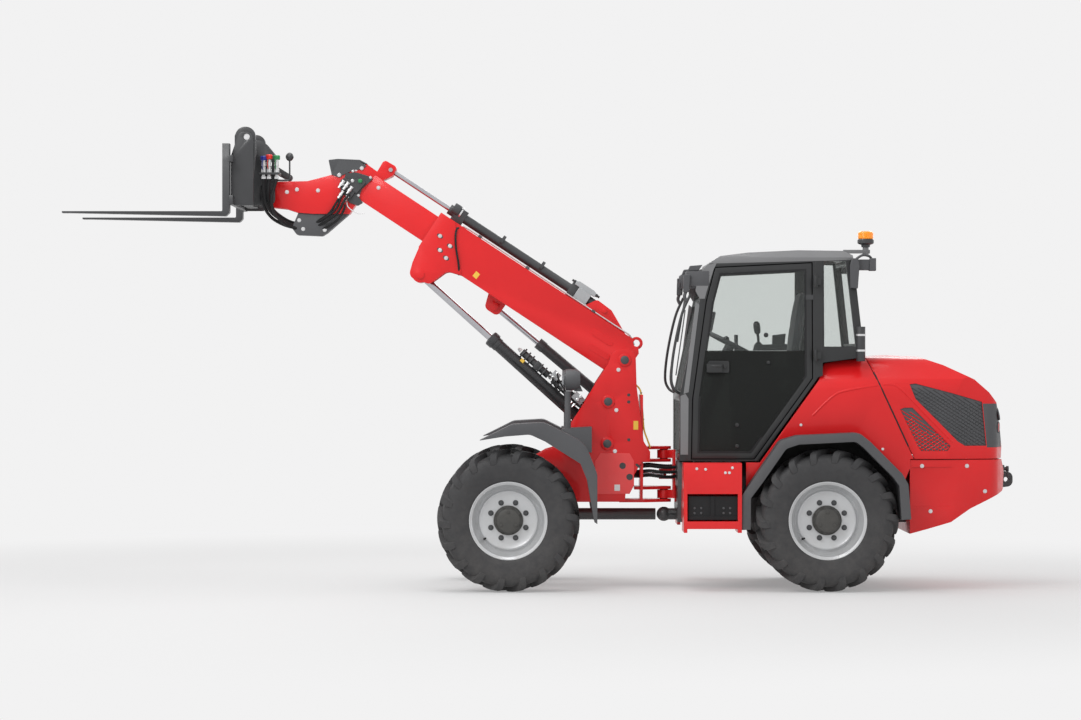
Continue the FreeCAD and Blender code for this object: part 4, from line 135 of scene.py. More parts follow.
def light_room():
    world = bpy.data.worlds.new("studio")
    world.use_nodes = True
    back = world.node_tree.nodes["Background"]
    back.inputs["Color"].default_value = (*ROOM_GREY, 1.0)
    back.inputs["Strength"].default_value = 1.0
    bpy.context.scene.world = world
    bpy.context.scene.view_settings.view_transform = "Standard"
    soft_lamp("lamp_in_front", (5.0, 8.5, 8.0), (-0.2, 0.0, 1.2), (5.0, 3.0), 430.0)
    soft_lamp("lamp_above", (1.0, 0.5, 8.0), (0.0, 0.0, 0.0), (6.0, 3.0), 230.0)
    soft_lamp("lamp_behind", (-3.0, -8.0, 5.0), (0.0, 0.0, 1.2), (6.0, 3.0), 160.0)


light_room()

# %% [markdown]
# ### The floor, and how a material is put together
# A material is a tree of small nodes. Four helpers put one together: one feeds a node's
# inputs, one adds a node, one starts a material and one picks the shader that it shows. The
# floor is the first to use them: matt near the wheels, the room's own colour further out.

# %% Node helpers and floor
FLOOR_WHITE = 0.60
MATT_UNTIL = 3.9
ROOM_FROM = 8.0
SHADOW_LIFT = 0.30
FLOOR_REACH = 60.0


def feed(tree, node, values):
    """Gives a node's inputs their values, or wires them to another node's output."""
    for label, value in values.items():
        if isinstance(value, bpy.types.NodeSocket):
            tree.links.new(value, node.inputs[label])
        else:
            node.inputs[label].default_value = value


def add_node(tree, kind, values=None, **settings):
    """A new node with its settings made and its inputs fed."""
    node = tree.nodes.new(kind)
    for label, setting in settings.items():
        setattr(node, label, setting)
    feed(tree, node, values or {})
    return node


def new_material(name, values):
    """A material, its node tree and its main shader with these values."""
    material = bpy.data.materials.new(name)
    material.use_nodes = True
    tree = material.node_tree
    shader = tree.nodes["Principled BSDF"]
    feed(tree, shader, values)
    return material, tree, shader


def show(tree, shader):
    """Makes a shader the one that the material shows."""
    feed(tree, tree.nodes["Material Output"], {"Surface": shader.outputs["Shader"]})


def lay_floor():
    mesh = bpy.data.meshes.new("floor")
    corners = [(x * FLOOR_REACH, y * FLOOR_REACH, 0) for x, y in ((-1, -1), (1, -1), (1, 1), (-1, 1))]
    mesh.from_pydata(corners, [], [(0, 1, 2, 3)])
    floor = new_object("floor", mesh)
    paint, tree, matt = new_material("pale_floor", {
        "Base Color": (FLOOR_WHITE, FLOOR_WHITE, FLOOR_WHITE, 1.0), "Roughness": 0.9,
        "Specular IOR Level": 0.1})
    room = add_node(tree, "ShaderNodeEmission", {"Color": (*ROOM_GREY, 1.0)})
    here = add_node(tree, "ShaderNodeTexCoord").outputs["Object"]
    far = add_node(tree, "ShaderNodeVectorMath", {0: here}, operation="LENGTH")
    glide = add_node(tree, "ShaderNodeMapRange", {
        "Value": far.outputs["Value"], "From Min": MATT_UNTIL, "From Max": ROOM_FROM,
        "To Min": SHADOW_LIFT}, interpolation_type="SMOOTHSTEP")
    show(tree, add_node(tree, "ShaderNodeMixShader", {
        "Fac": glide.outputs["Result"], 1: matt.outputs["BSDF"], 2: room.outputs["Emission"]}))
    mesh.materials.append(paint)


lay_floor()
print("floor is matt until", MATT_UNTIL, "m and takes the room's colour from", ROOM_FROM, "m")

# %% [markdown]
# ## Finishes
# Each finish is built from the same few layers, as in a paint shop: a base colour that
# wanders a little, a roughness that wanders with it, a fine grain as bump, and, near the
# ground, a breath of dust. All patterns read Object coordinates, which here are the
# machine's own metres, so the grain keeps its size from piece to piece.

# %% A helper that mixes one finish
DUST_HEIGHT = 1.1
DUST_COLOUR = (0.33, 0.30, 0.27)
GRAIN_DEPTH = 0.002


def noise(tree, place, scale, detail, roughness=0.5):
    return add_node(tree, "ShaderNodeTexNoise", {
        "Vector": place, "Scale": scale, "Detail": detail, "Roughness": roughness}).outputs["Fac"]


def spread(tree, value, low, high, from_low=0.3, from_high=0.7):
    return add_node(tree, "ShaderNodeMapRange", {
        "Value": value, "From Min": from_low, "From Max": from_high,
        "To Min": low, "To Max": high}).outputs["Result"]


def blend_colours(tree, share, first, second):
    first, second = [(*colour, 1.0) if isinstance(colour, tuple) else colour for colour in (first, second)]
    return add_node(tree, "ShaderNodeMix", {"Factor": share, "A": first, "B": second},
                    data_type="RGBA").outputs["Result"]


def finish_of(name, colour, second, rough, metal=0.0, grain=(300.0, 0.05), patch=3.0,
              coat=0.0, dust=0.0, specular=0.5, streaks=None):
    """A painted, moulded or metal finish. second is what the colour wanders towards."""
    material, tree, shader = new_material(name, {
        "Metallic": metal, "Coat Weight": coat, "Coat Roughness": 0.08, "Specular IOR Level": specular})
    here = add_node(tree, "ShaderNodeTexCoord").outputs["Object"]
    here_grain = here
    if streaks:
        mapping = add_node(tree, "ShaderNodeMapping", {"Scale": streaks, "Vector": here})
        here_grain = mapping.outputs["Vector"]
    base = blend_colours(tree, spread(tree, noise(tree, here, patch, 4.0), 0.0, 1.0), colour, second)
    if dust:
        height = add_node(tree, "ShaderNodeSeparateXYZ", {"Vector": here})
        low = spread(tree, height.outputs["Z"], dust, 0.0, 0.0, DUST_HEIGHT)
        specks = spread(tree, noise(tree, here, 14.0, 6.0, 0.7), 0.2, 1.0, 0.35, 0.65)
        both = add_node(tree, "ShaderNodeMath", {0: low, 1: specks}, operation="MULTIPLY")
        base = blend_colours(tree, both.outputs["Value"], base, DUST_COLOUR)
    bump = add_node(tree, "ShaderNodeBump", {
        "Strength": grain[1], "Distance": GRAIN_DEPTH, "Height": noise(tree, here_grain, grain[0], 2.0)})
    wander = noise(tree, here_grain, patch * 6.0, 4.0)
    feed(tree, shader, {"Base Color": base, "Normal": bump.outputs["Normal"],
                        "Roughness": spread(tree, wander, rough[0], rough[1])})
    return material


print("dust reaches up to", DUST_HEIGHT, "m")

# %% [markdown]
# ### The machine's own finishes
# The booms and frames are sprayed a full red with a thin clear coat. Axles, forks and the
# hitch are black, rods are chromed, and fasteners are zinc plated. Each is one call here,
# so that a colour is set once.

# %% The finishes of the machine
RED = finish_of("red_gloss_paint", (0.69, 0.010, 0.012), (0.64, 0.008, 0.010), (0.30, 0.42),
                grain=(240.0, 0.03), coat=0.25, dust=0.04, specular=0.28)
PALE_RED = finish_of("red_satin_paint", (0.82, 0.060, 0.062), (0.76, 0.054, 0.056), (0.42, 0.55),
                     grain=(240.0, 0.05), dust=0.16)
BLACK_STEEL = finish_of("black_steel_paint", (0.030, 0.031, 0.033), (0.038, 0.039, 0.042), (0.38, 0.55),
                        grain=(200.0, 0.08), coat=0.15, dust=0.10)
GREY_STEEL = finish_of("grey_steel_paint", (0.060, 0.062, 0.066), (0.050, 0.052, 0.056), (0.40, 0.55),
                       grain=(220.0, 0.08), dust=0.05)
HUB_GREY = finish_of("hub_grey_paint", (0.038, 0.038, 0.036), (0.048, 0.047, 0.043), (0.45, 0.6),
                     grain=(160.0, 0.15), dust=0.12)
PLASTIC = finish_of("anthracite_plastic", (0.062, 0.063, 0.068), (0.072, 0.073, 0.078), (0.50, 0.62),
                    grain=(520.0, 0.22), dust=0.10)
CAB_GREY = finish_of("cab_anthracite_paint", (0.022, 0.023, 0.024), (0.028, 0.029, 0.030), (0.36, 0.48),
                     grain=(240.0, 0.03), coat=0.1, specular=0.35)
PILLAR_GREY = finish_of("pillar_grey_paint", (0.165, 0.166, 0.170), (0.150, 0.151, 0.156), (0.36, 0.48),
                        grain=(240.0, 0.04), coat=0.3)
SILVER = finish_of("silver_rim_paint", (0.60, 0.61, 0.62), (0.54, 0.55, 0.56), (0.30, 0.42), metal=0.35,
                   grain=(320.0, 0.05), coat=0.2, dust=0.25)
VALVE_GREY = finish_of("zinc_valve_block", (0.42, 0.43, 0.44), (0.36, 0.37, 0.38), (0.38, 0.5), metal=0.5,
                       grain=(260.0, 0.18))
ZINC = finish_of("bright_zinc", (0.74, 0.74, 0.74), (0.64, 0.64, 0.65), (0.24, 0.36), metal=0.9,
                 grain=(300.0, 0.1))
CHROME = finish_of("hard_chrome", (0.52, 0.52, 0.54), (0.46, 0.46, 0.49), (0.14, 0.22), metal=1.0,
                   grain=(80.0, 0.02), streaks=(1.0, 1.0, 8.0))
RUBBER = finish_of("tyre_rubber", (0.034, 0.034, 0.036), (0.042, 0.042, 0.044), (0.58, 0.75),
                   grain=(160.0, 0.35), patch=5.0, dust=0.10, specular=0.35)
HOSE = finish_of("hose_rubber", (0.014, 0.014, 0.015), (0.020, 0.020, 0.021), (0.46, 0.60),
                 grain=(700.0, 0.25), specular=0.22)
SEAT_CLOTH = finish_of("seat_cloth", (0.050, 0.052, 0.058), (0.035, 0.037, 0.042), (0.85, 0.95),
                       grain=(900.0, 0.6))
BLUE_CAP = finish_of("blue_cap", (0.02, 0.03, 0.30), (0.02, 0.03, 0.24), (0.35, 0.45))
RED_CAP = finish_of("red_cap", (0.75, 0.03, 0.02), (0.68, 0.03, 0.02), (0.35, 0.45))
GREEN_CAP = finish_of("green_cap", (0.02, 0.22, 0.07), (0.02, 0.18, 0.06), (0.35, 0.45))
YELLOW = finish_of("yellow_plain", (0.80, 0.50, 0.05), (0.74, 0.46, 0.05), (0.45, 0.55))
WHITE_PLATE = finish_of("pale_blank_plate", (0.72, 0.72, 0.72), (0.66, 0.66, 0.67), (0.4, 0.5))
SEAT_CLOTH.node_tree.nodes["Principled BSDF"].inputs["Sheen Weight"].default_value = 0.3
print("finishes", len(bpy.data.materials) - 1)

# %% [markdown]
# ## Glass and lenses
# Safety glass is a thin clear sheet with a body tint, so it is made see-through by mixing
# a clear shader with a glossy one: that keeps the driver's place bright. The glossy share of
# the panes has a pale grey face, which is painted reflection. The lower part of the door is
# tinted darker, and the roof's beacon is coloured plastic lit from inside.

# %% Glass


# face colours each pane's own surface share: the red lens's red, and on the safety panes a pale grey that
# is painted reflection.
def glass_of(name, tint, face, clear, rough=0.02, dark_below=None, darker=None):
    material, tree, shader = new_material(name, {
        "Base Color": (*face, 1.0), "Roughness": rough, "Specular IOR Level": 0.3})
    colour = (*tint, 1.0)
    if dark_below is not None:
        here = add_node(tree, "ShaderNodeTexCoord").outputs["Object"]
        height = add_node(tree, "ShaderNodeSeparateXYZ", {"Vector": here}).outputs["Z"]
        band = spread(tree, height, 0.0, 1.0, dark_below - TINT_FADE, dark_below + TINT_FADE)
        colour = blend_colours(tree, band, darker, tint)
    through = add_node(tree, "ShaderNodeBsdfTransparent", {"Color": colour})
    show(tree, add_node(tree, "ShaderNodeMixShader", {
        "Fac": clear, 1: shader.outputs["BSDF"], 2: through.outputs["BSDF"]}))
    return material


TINT_FADE = 0.004
SAFETY_TINT = (0.935, 0.950, 0.943)
# The safety panes' pale grey face is painted reflection: it lightens whatever is seen through the glass.
SAFETY_PAINTED_REFLECTION = (0.280, 0.295, 0.285)
CLEAR_GLASS = glass_of("clear_safety_glass", SAFETY_TINT, SAFETY_PAINTED_REFLECTION, 0.93)
DOOR_GLASS = glass_of("tinted_door_glass", SAFETY_TINT, SAFETY_PAINTED_REFLECTION, 0.93, dark_below=1.695,
                      darker=(0.060, 0.068, 0.062))
LAMP_GLASS = glass_of("lamp_glass", (0.95, 0.96, 0.975), (0.90, 0.92, 0.95), 0.6)
RED_LENS = glass_of("red_lens", (0.72, 0.50, 0.50), (0.45, 0.01, 0.01), 0.15, 0.1)


def beacon_lens():
    material = finish_of("amber_lens", (0.95, 0.36, 0.03), (0.85, 0.28, 0.02), (0.12, 0.2),
                         grain=(90.0, 0.1), patch=40.0)
    tree = material.node_tree
    feed(tree, tree.nodes["Principled BSDF"], {
        "Transmission Weight": 0.35, "Emission Color": (1.0, 0.35, 0.02, 1.0), "Emission Strength": 0.25})
    return material


AMBER = beacon_lens()
print("glass and lenses made")

# %% [markdown]
# ### Colour slots
# The machine can be ordered in other colours. Each finish therefore belongs to one named
# slot, and one table holds this for all of them. A piece's slot is looked up, not kept.

# %% Which colour slot each finish belongs to
SLOTS = {}
for slot, materials in (
        ("red_paint", (RED, PALE_RED, RED_LENS, RED_CAP)), ("black_steel", (BLACK_STEEL, HUB_GREY)),
        ("grey_steel", (GREY_STEEL, VALVE_GREY, WHITE_PLATE)), ("amber_lens", (AMBER, YELLOW)),
        ("dark_plastic", (PLASTIC, HOSE, BLUE_CAP, GREEN_CAP)), ("window_glass", (LAMP_GLASS,)),
        ("cab_paint", (CAB_GREY, PILLAR_GREY)), ("silver_rim", (SILVER,)), ("bright_steel", (ZINC,)),
        ("tyre_rubber", (RUBBER,)), ("seat_fabric", (SEAT_CLOTH,))):
    for material in materials:
        SLOTS[material.name] = slot
print("finishes with a slot", len(SLOTS))

# %% [markdown]
# ## Workshop tools
# Small helpers shape metal as a maker would: a plate is an outline cut from sheet, a
# turned part is a profile spun on a lathe, a hose is a tube along a line of points. Each
# helper adds to one open mesh, so that like pieces become one object per body.

# %% Shaping helpers
CLOSE_ENOUGH = 0.00002
SMOOTH_BELOW = math.radians(32)
# Edges steeper than this many degrees are rounded: on added pieces, on measured parts.
PIECE_EDGE, PART_EDGE = 40, 48


class Maker:
    """One piece being made: solids are added to it, then it is finished once."""

    def __init__(self, name):
        self.name = name
        self.mesh = bmesh.new()

    def corners(self, spots):
        return [self.mesh.verts.new(spot) for spot in spots]

    def plate(self, outline, low, high):
        """A flat outline, given as (x, z) pairs, with depth from y = low to y = high."""
        count = len(outline)
        made = self.corners([(x, y, z) for y in (low, high) for x, z in outline])
        self.mesh.faces.new(made[:count])
        self.mesh.faces.new(made[:count - 1:-1])
        for index in range(count):
            after = (index + 1) % count
            self.mesh.faces.new([made[index], made[index + count], made[after + count], made[after]])

    def pair(self, outline, inner, outer):
        """The same plate on both sides, between two distances from the middle plane."""
        for side in (1, -1):
            self.plate(outline, *sorted((side * inner, side * outer)))

    def ring(self, centre, radius, first, second, sides):
        """Corners on a circle round centre, in the plane of two directions."""
        turns = [2 * math.pi * step / sides for step in range(sides)]
        return self.corners([centre + radius * (math.cos(turn) * first + math.sin(turn) * second)
                             for turn in turns])

    def bridge(self, here, there):
        """Faces between two rings of corners; on the axis they close to triangles."""
        for step in range(len(here)):
            after = (step + 1) % len(here)
            face = []
            for corner in (here[step], here[after], there[after], there[step]):
                if corner not in face:
                    face.append(corner)
            if len(face) > 2:
                self.mesh.faces.new(face)

    def turned(self, profile, centre, axis, sides):
        """A profile of (along, radius) pairs spun about an axis through centre. It ends on
        the axis, or it is a closed loop round a hole."""
        along = Vector(axis).normalized()
        helper = Vector((0, 0, 1)) if abs(along.z) < 0.9 else Vector((1, 0, 0))
        first = along.cross(helper).normalized()
        second = along.cross(first)
        rings = []
        for reach, radius in profile:
            spot = Vector(centre) + along * reach
            if radius < CLOSE_ENOUGH:
                rings.append(self.corners([spot]) * sides)
            else:
                rings.append(self.ring(spot, radius, first, second, sides))
        if profile[0][1] > CLOSE_ENOUGH:
            rings.append(rings[0])
        for here, there in zip(rings, rings[1:]):
            self.bridge(here, there)

    def pin(self, start, end, radius, sides, edge):
        """A round bar with small chamfers, from one point to another."""
        run = Vector(end) - Vector(start)
        long = run.length
        self.turned([(0, 0), (0, radius - edge), (edge, radius), (long - edge, radius),
                     (long, radius - edge), (long, 0)], start, run, sides)

    def tube(self, points, radius, sides, smooth=4):
        """A bent round bar or a hose through the points, rounded between them."""
        line = soft_line(points, smooth)
        last = len(line) - 1
        tangents = [(line[min(index + 1, last)] - line[max(index - 1, 0)]).normalized()
                    for index in range(last + 1)]
        helper = Vector((0, 1, 0)) if abs(tangents[0].y) < 0.9 else Vector((1, 0, 0))
        side = tangents[0].cross(helper).normalized()
        rings = []
        for spot, tangent in zip(line, tangents):
            side = (side - tangent * side.dot(tangent)).normalized()
            rings.append(self.ring(spot, radius, side, tangent.cross(side), sides))
        for here, there in zip(rings, rings[1:]):
            self.bridge(here, there)
        self.mesh.faces.new(rings[0][::-1])
        self.mesh.faces.new(rings[-1])

    def data(self):
        """Closes the mesh, with all its faces looking outwards."""
        bmesh.ops.recalc_face_normals(self.mesh, faces=self.mesh.faces)
        data = bpy.data.meshes.new(self.name)
        self.mesh.to_mesh(data)
        self.mesh.free()
        return data

    def finish(self, body, material, bevel=0.0, slot=None):
        """Rounds the piece's edges and hands it to its body."""
        return settle(self.data(), self.name, body, material, bevel, slot)


print("a piece can be plated, turned, pinned or drawn as a tube")

# %% [markdown]
# ### From a mesh to a piece
# A hose never bends at a corner, so its line is a smooth curve through the given points. A
# finished mesh then gets the same treatment every time: it is shaded, its edges are
# rounded, it takes its finish and it rides on the body that it is bolted to.

# %% Smooth lines, edges and places on the boom


def soft_line(points, smooth):
    """Points along a smooth curve through the given ones."""
    spots = [Vector(point) for point in points]
    if smooth <= 1 or len(spots) < 3:
        return spots
    line = []
    for index in range(len(spots) - 1):
        p0 = spots[max(index - 1, 0)]
        p1 = spots[index]
        p2 = spots[index + 1]
        p3 = spots[min(index + 2, len(spots) - 1)]
        for step in range(smooth):
            t = step / smooth
            line.append(0.5 * ((2 * p1) + (p2 - p0) * t + (2 * p0 - 5 * p1 + 4 * p2 - p3) * t * t
                               + (3 * p1 - p0 - 3 * p2 + p3) * t * t * t))
    line.append(spots[-1])
    return line


def soften(part, width, steeper_than):
    """Rounds the edges of a part that are steeper than an angle."""
    bevel = part.modifiers.new("soft_edges", "BEVEL")
    bevel.width = width
    bevel.segments = 2
    bevel.limit_method = "ANGLE"
    bevel.angle_limit = math.radians(steeper_than)
    bevel.use_clamp_overlap = True


def settle(data, name, body, material, bevel=0.0, slot=None):
    """A finished mesh becomes a piece: shaded, edged, coloured and riding on its body, if it has one."""
    data.name = name
    data.shade_smooth()
    data.set_sharp_from_angle(angle=SMOOTH_BELOW)
    data.materials.clear()
    data.materials.append(material)
    piece = new_object(name, data)
    if bevel:
        soften(piece, bevel, PIECE_EDGE)
    if body:
        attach(piece, body)
    slot = slot or SLOTS[material.name]
    return piece


def rect(x0, z0, x1, z1):
    """A rectangle's outline from two opposite corners."""
    return [(x0, z0), (x1, z0), (x1, z1), (x0, z1)]


def band(inner, outer, long):
    """The profile of a plain round band."""
    return [(0, inner), (0, outer), (long, outer), (long, inner)]


def at_boom(along, above, side=0.0):
    """A point given along the boom from its pivot and above the pivot line, in metres."""
    return (PIVOT[0] + along * COS_BOOM - above * SIN_BOOM, side,
            PIVOT[1] + along * SIN_BOOM + above * COS_BOOM)


BOOM_TILT = math.radians(33.4)
COS_BOOM = math.cos(BOOM_TILT)
SIN_BOOM = math.sin(BOOM_TILT)
PIVOT = (-0.605, 1.630)
print("tools ready; boom pivot", PIVOT)

# %% [markdown]
# ## Copies by rule
# Bolts, nuts, lugs, bars and ribs repeat, and Geometry Nodes repeat them. The first tree
# puts a copy of one small part on every vertex of a marker mesh, turned so that its +Z
# follows the marker's "facing" arrow. The second spaces copies evenly round an axis. Both
# end by making the copies real, because an exported model drops instances.

# %% Geometry Nodes: copies on marked points


def new_tree(name, inputs):
    """An empty tree with a Geometry input and output and the named inputs."""
    tree = bpy.data.node_groups.new(name, "GeometryNodeTree")
    for label, kind in [("Geometry", "Geometry"), *inputs]:
        tree.interface.new_socket(label, in_out="INPUT", socket_type="NodeSocket" + kind)
    tree.interface.new_socket("Geometry", in_out="OUTPUT", socket_type="NodeSocketGeometry")
    return tree, add_node(tree, "NodeGroupInput").outputs, add_node(tree, "NodeGroupOutput")


def end_tree(tree, start, end, shape):
    """Makes instances real and gives them their material: the last two steps of every tree."""
    real = add_node(tree, "GeometryNodeRealizeInstances", {"Geometry": shape})
    paint = add_node(tree, "GeometryNodeSetMaterial", {
        "Geometry": real.outputs["Geometry"], "Material": start["Material"]})
    feed(tree, end, {"Geometry": paint.outputs["Geometry"]})
    return tree


def copies_of(tree, start, points, rotation):
    """Instances of the object named Copy on points, each with its rotation."""
    info = add_node(tree, "GeometryNodeObjectInfo", {"Object": start["Copy"]})
    return add_node(tree, "GeometryNodeInstanceOnPoints", {
        "Points": points, "Instance": info.outputs["Geometry"], "Rotation": rotation}).outputs["Instances"]


def tree_copies_on_points():
    tree, start, end = new_tree("copies_on_points", [("Copy", "Object"), ("Material", "Material")])
    facing = add_node(tree, "GeometryNodeInputNamedAttribute", {"Name": "facing"},
                      data_type="FLOAT_VECTOR")
    turn = add_node(tree, "FunctionNodeAlignRotationToVector", {"Vector": facing.outputs["Attribute"]},
                    axis="Z")
    return end_tree(tree, start, end, copies_of(tree, start, start["Geometry"], turn.outputs["Rotation"]))


def tree_ring_of_copies():
    tree, start, end = new_tree("ring_of_copies", [
        ("Copy", "Object"), ("Count", "Int"), ("Centre", "Vector"), ("Phase", "Float"),
        ("Material", "Material")])
    line = add_node(tree, "GeometryNodeMeshLine", {
        "Count": start["Count"], "Start Location": start["Centre"], "Offset": (0.0, 0.0, 0.0)},
        mode="OFFSET")
    index = add_node(tree, "GeometryNodeInputIndex")
    share = add_node(tree, "ShaderNodeMath", {0: index.outputs["Index"], 1: start["Count"]},
                     operation="DIVIDE")
    angle = add_node(tree, "ShaderNodeMath", {
        0: share.outputs["Value"], 1: 2 * math.pi, 2: start["Phase"]}, operation="MULTIPLY_ADD")
    turn = add_node(tree, "ShaderNodeCombineXYZ", {"Y": angle.outputs["Value"]})
    return end_tree(tree, start, end, copies_of(tree, start, line.outputs["Mesh"], turn.outputs["Vector"]))


COPIES_ON_POINTS = tree_copies_on_points()
RING_OF_COPIES = tree_ring_of_copies()
print("trees", [tree.name for tree in bpy.data.node_groups])

# %% [markdown]
# ### Running a tree
# A tree works on a base mesh: loose points for bolts, nothing at all for a ring. Its result
# is taken as a plain mesh, which then becomes a piece like any other. A row of bolts on one
# body is one piece, as a workshop would count them by the bag and not one by one.

# %% Growing, marking and scattering


def grow(name, tree, values, base=None):
    """Runs a tree on a base mesh and returns its result as a plain mesh."""
    data = base or bpy.data.meshes.new(name + "_base")
    holder = new_object(name + "_holder", data)
    modifier = holder.modifiers.new("rule", "NODES")
    modifier.node_group = tree
    for item in tree.interface.items_tree:
        if item.item_type == "SOCKET" and item.in_out == "INPUT" and item.name in values:
            modifier[item.identifier] = values[item.name]
    bpy.context.view_layer.update()
    result = bpy.data.meshes.new_from_object(
        holder.evaluated_get(bpy.context.evaluated_depsgraph_get()))
    holder.modifiers.clear()
    bpy.data.objects.remove(holder)
    return result


def pattern_part(maker):
    """A finished small mesh that only serves as the thing to copy."""
    return new_object(maker.name, maker.data())


def marked_points(name, spots):
    """A mesh of loose vertices, each with its facing arrow."""
    data = bpy.data.meshes.new(name)
    data.from_pydata([spot for spot, facing in spots], [], [])
    arrows = data.attributes.new("facing", "FLOAT_VECTOR", "POINT")
    for index, (spot, facing) in enumerate(spots):
        arrows.data[index].vector = facing
    return data


def scatter(name, pattern, spots, body, material):
    """Copies of a pattern part on marked spots, as one piece."""
    data = grow(name, COPIES_ON_POINTS, {"Copy": pattern, "Material": material},
                marked_points(name + "_marks", spots))
    return settle(data, name, body, material)


print("copies can be grown on", len(COPIES_ON_POINTS.nodes), "nodes")

# %% [markdown]
# ## Finishes for the measured parts
# Every measured part keeps its mesh. What it gets here is a finish, and an edge treatment:
# pressed, welded and cast parts never have knife edges, so close points are welded, sharp
# edges are rounded by a millimetre or two, and faces that meet at a shallow angle are
# shaded as one curve.

# %% Edge treatment for measured parts


def tree_shade_by_angle():
    tree, start, end = new_tree("shade_by_angle", [])
    faces = add_node(tree, "GeometryNodeSetShadeSmooth", {"Geometry": start["Geometry"]}, domain="FACE")
    angle = add_node(tree, "GeometryNodeInputMeshEdgeAngle").outputs["Unsigned Angle"]
    steep = add_node(tree, "FunctionNodeCompare", {"A": angle, "B": SMOOTH_BELOW},
                     data_type="FLOAT", operation="GREATER_THAN")
    edges = add_node(tree, "GeometryNodeSetShadeSmooth", {
        "Geometry": faces.outputs["Geometry"], "Selection": steep.outputs["Result"],
        "Shade Smooth": False}, domain="EDGE")
    feed(tree, end, {"Geometry": edges.outputs["Geometry"]})
    return tree


SHADE_BY_ANGLE = tree_shade_by_angle()
WELD_GAP = 0.00005


def dress(node, material, edge):
    part = NODES[node]
    part.data.materials.clear()
    part.data.materials.append(material)
    weld = part.modifiers.new("weld", "WELD")
    weld.merge_threshold = WELD_GAP
    if edge:
        soften(part, edge, PART_EDGE)
    smooth = part.modifiers.new("shade", "NODES")
    smooth.node_group = SHADE_BY_ANGLE


DRESSING = [
    (RED, 0.0015, ["front_frame", "outer_boom", "inner_boom", "gooseneck", "rear_body", "bonnet",
                   "counterweight", "side_steps", "articulation_knuckle"]),
    (BLACK_STEEL, 0.0012, ["rear_chassis", "front_axle", "rear_axle", "quick_hitch", "tilt_link",
                           "fork_carriage", "pallet_forks", "tow_hitch", "engine_block",
                           "telescoping_barrel", "lift_cylinder_barrel", "lift_accumulators",
                           "steering_barrel", "intake_stack"]),
    (GREY_STEEL, 0.001, ["frame_pins", "guard_plate", "levelling_cylinder_barrel"]),
    (PLASTIC, 0.001, ["front_fenders", "head_lamps", "rear_wheel_arches", "console",
                      "steering_column", "wear_pads", "work_lights", "bonnet_grilles",
                      "rear_lamp_corners", "hose_guide", "beacon"]),
    (CAB_GREY, 0.001, ["cab_frame", "cab_door"]),
    (PILLAR_GREY, 0.001, ["cab_roof"]),
    (CHROME, 0.0, ["lift_cylinder_rod", "levelling_cylinder_rod", "telescoping_rod", "steering_rod"]),
    (ZINC, 0.0, ["hitch_pins"]),
    (CLEAR_GLASS, 0.0, ["cab_glass"]),
    (DOOR_GLASS, 0.0, ["door_glass"]),
]
for material, edge, nodes in DRESSING:
    for node in nodes:
        dress(node, material, edge)
print("dressed", sum(len(nodes) for material, edge, nodes in DRESSING), "of", len(NODES))

# %% [markdown]
# ## Tyres
# A loader's tyre has a smooth bulging sidewall and thick rubber bars that start near the
# middle of the tread, run out to the shoulder and end on the sidewall. The two sides are
# half a step apart. The carcass is spun on a lathe; one bar of each hand is shaped across
# nine stations and eighteen copies are set round the axle.

# %% Tyre carcass and tread bars
TYRE_RADIUS = 0.502
BAR_COUNT = 18
TRACK_HALF = 0.700
WHEEL_SIDES = 96
WHEELS = {
    "front_left": (0.226, TRACK_HALF), "front_right": (0.226, -TRACK_HALF),
    "rear_left": (-2.014, TRACK_HALF), "rear_right": (-2.014, -TRACK_HALF),
}
# Half of the carcass: (distance from the middle plane, radius), from the bead to the tread.
CARCASS = [(0.128, 0.262), (0.138, 0.266), (0.150, 0.281), (0.157, 0.292), (0.158, 0.300),
           (0.163, 0.312), (0.164, 0.318), (0.170, 0.345), (0.1730, 0.372), (0.1725, 0.398),
           (0.168, 0.420), (0.160, 0.438), (0.148, 0.452), (0.130, 0.461), (0.100, 0.466),
           (0.050, 0.469), (0.0, 0.470)]
# Stations of one bar: outer point (across, radius), root point (across, radius), turn, half width.
BAR = [
    ((0.004, 0.5000), (0.004, 0.462), 0.000, 0.0150),
    ((0.030, 0.5020), (0.030, 0.462), 0.030, 0.0185),
    ((0.075, 0.5015), (0.075, 0.460), 0.090, 0.0205),
    ((0.120, 0.4985), (0.120, 0.456), 0.160, 0.0230),
    ((0.148, 0.4900), (0.140, 0.448), 0.200, 0.0250),
    ((0.163, 0.4740), (0.150, 0.440), 0.222, 0.0255),
    ((0.1715, 0.4480), (0.160, 0.430), 0.236, 0.0245),
    ((0.1745, 0.4250), (0.166, 0.414), 0.244, 0.0225),
    ((0.1735, 0.4080), (0.168, 0.404), 0.249, 0.0190),
]


def bar_mesh(hand):
    """One rubber bar about the Y axis, standing at the top of the wheel."""
    maker = Maker("tread_bar_" + ("left" if hand > 0 else "right"))
    rings = []
    for outer, root, turn, half in BAR:
        ring = []
        for (across, radius), lean in ((root, -1.25), (outer, -0.92), (outer, 0.0), (outer, 0.92),
                                       (root, 1.25)):
            angle = turn + lean * half / outer[1]
            ring.append((radius * math.sin(angle), hand * across, radius * math.cos(angle)))
        rings.append(maker.corners(ring))
    for here, there in zip(rings, rings[1:]):
        maker.bridge(here, there)
    maker.mesh.faces.new(rings[0])
    maker.mesh.faces.new(rings[-1][::-1])
    return pattern_part(maker)


LEFT_BAR = bar_mesh(1)
RIGHT_BAR = bar_mesh(-1)


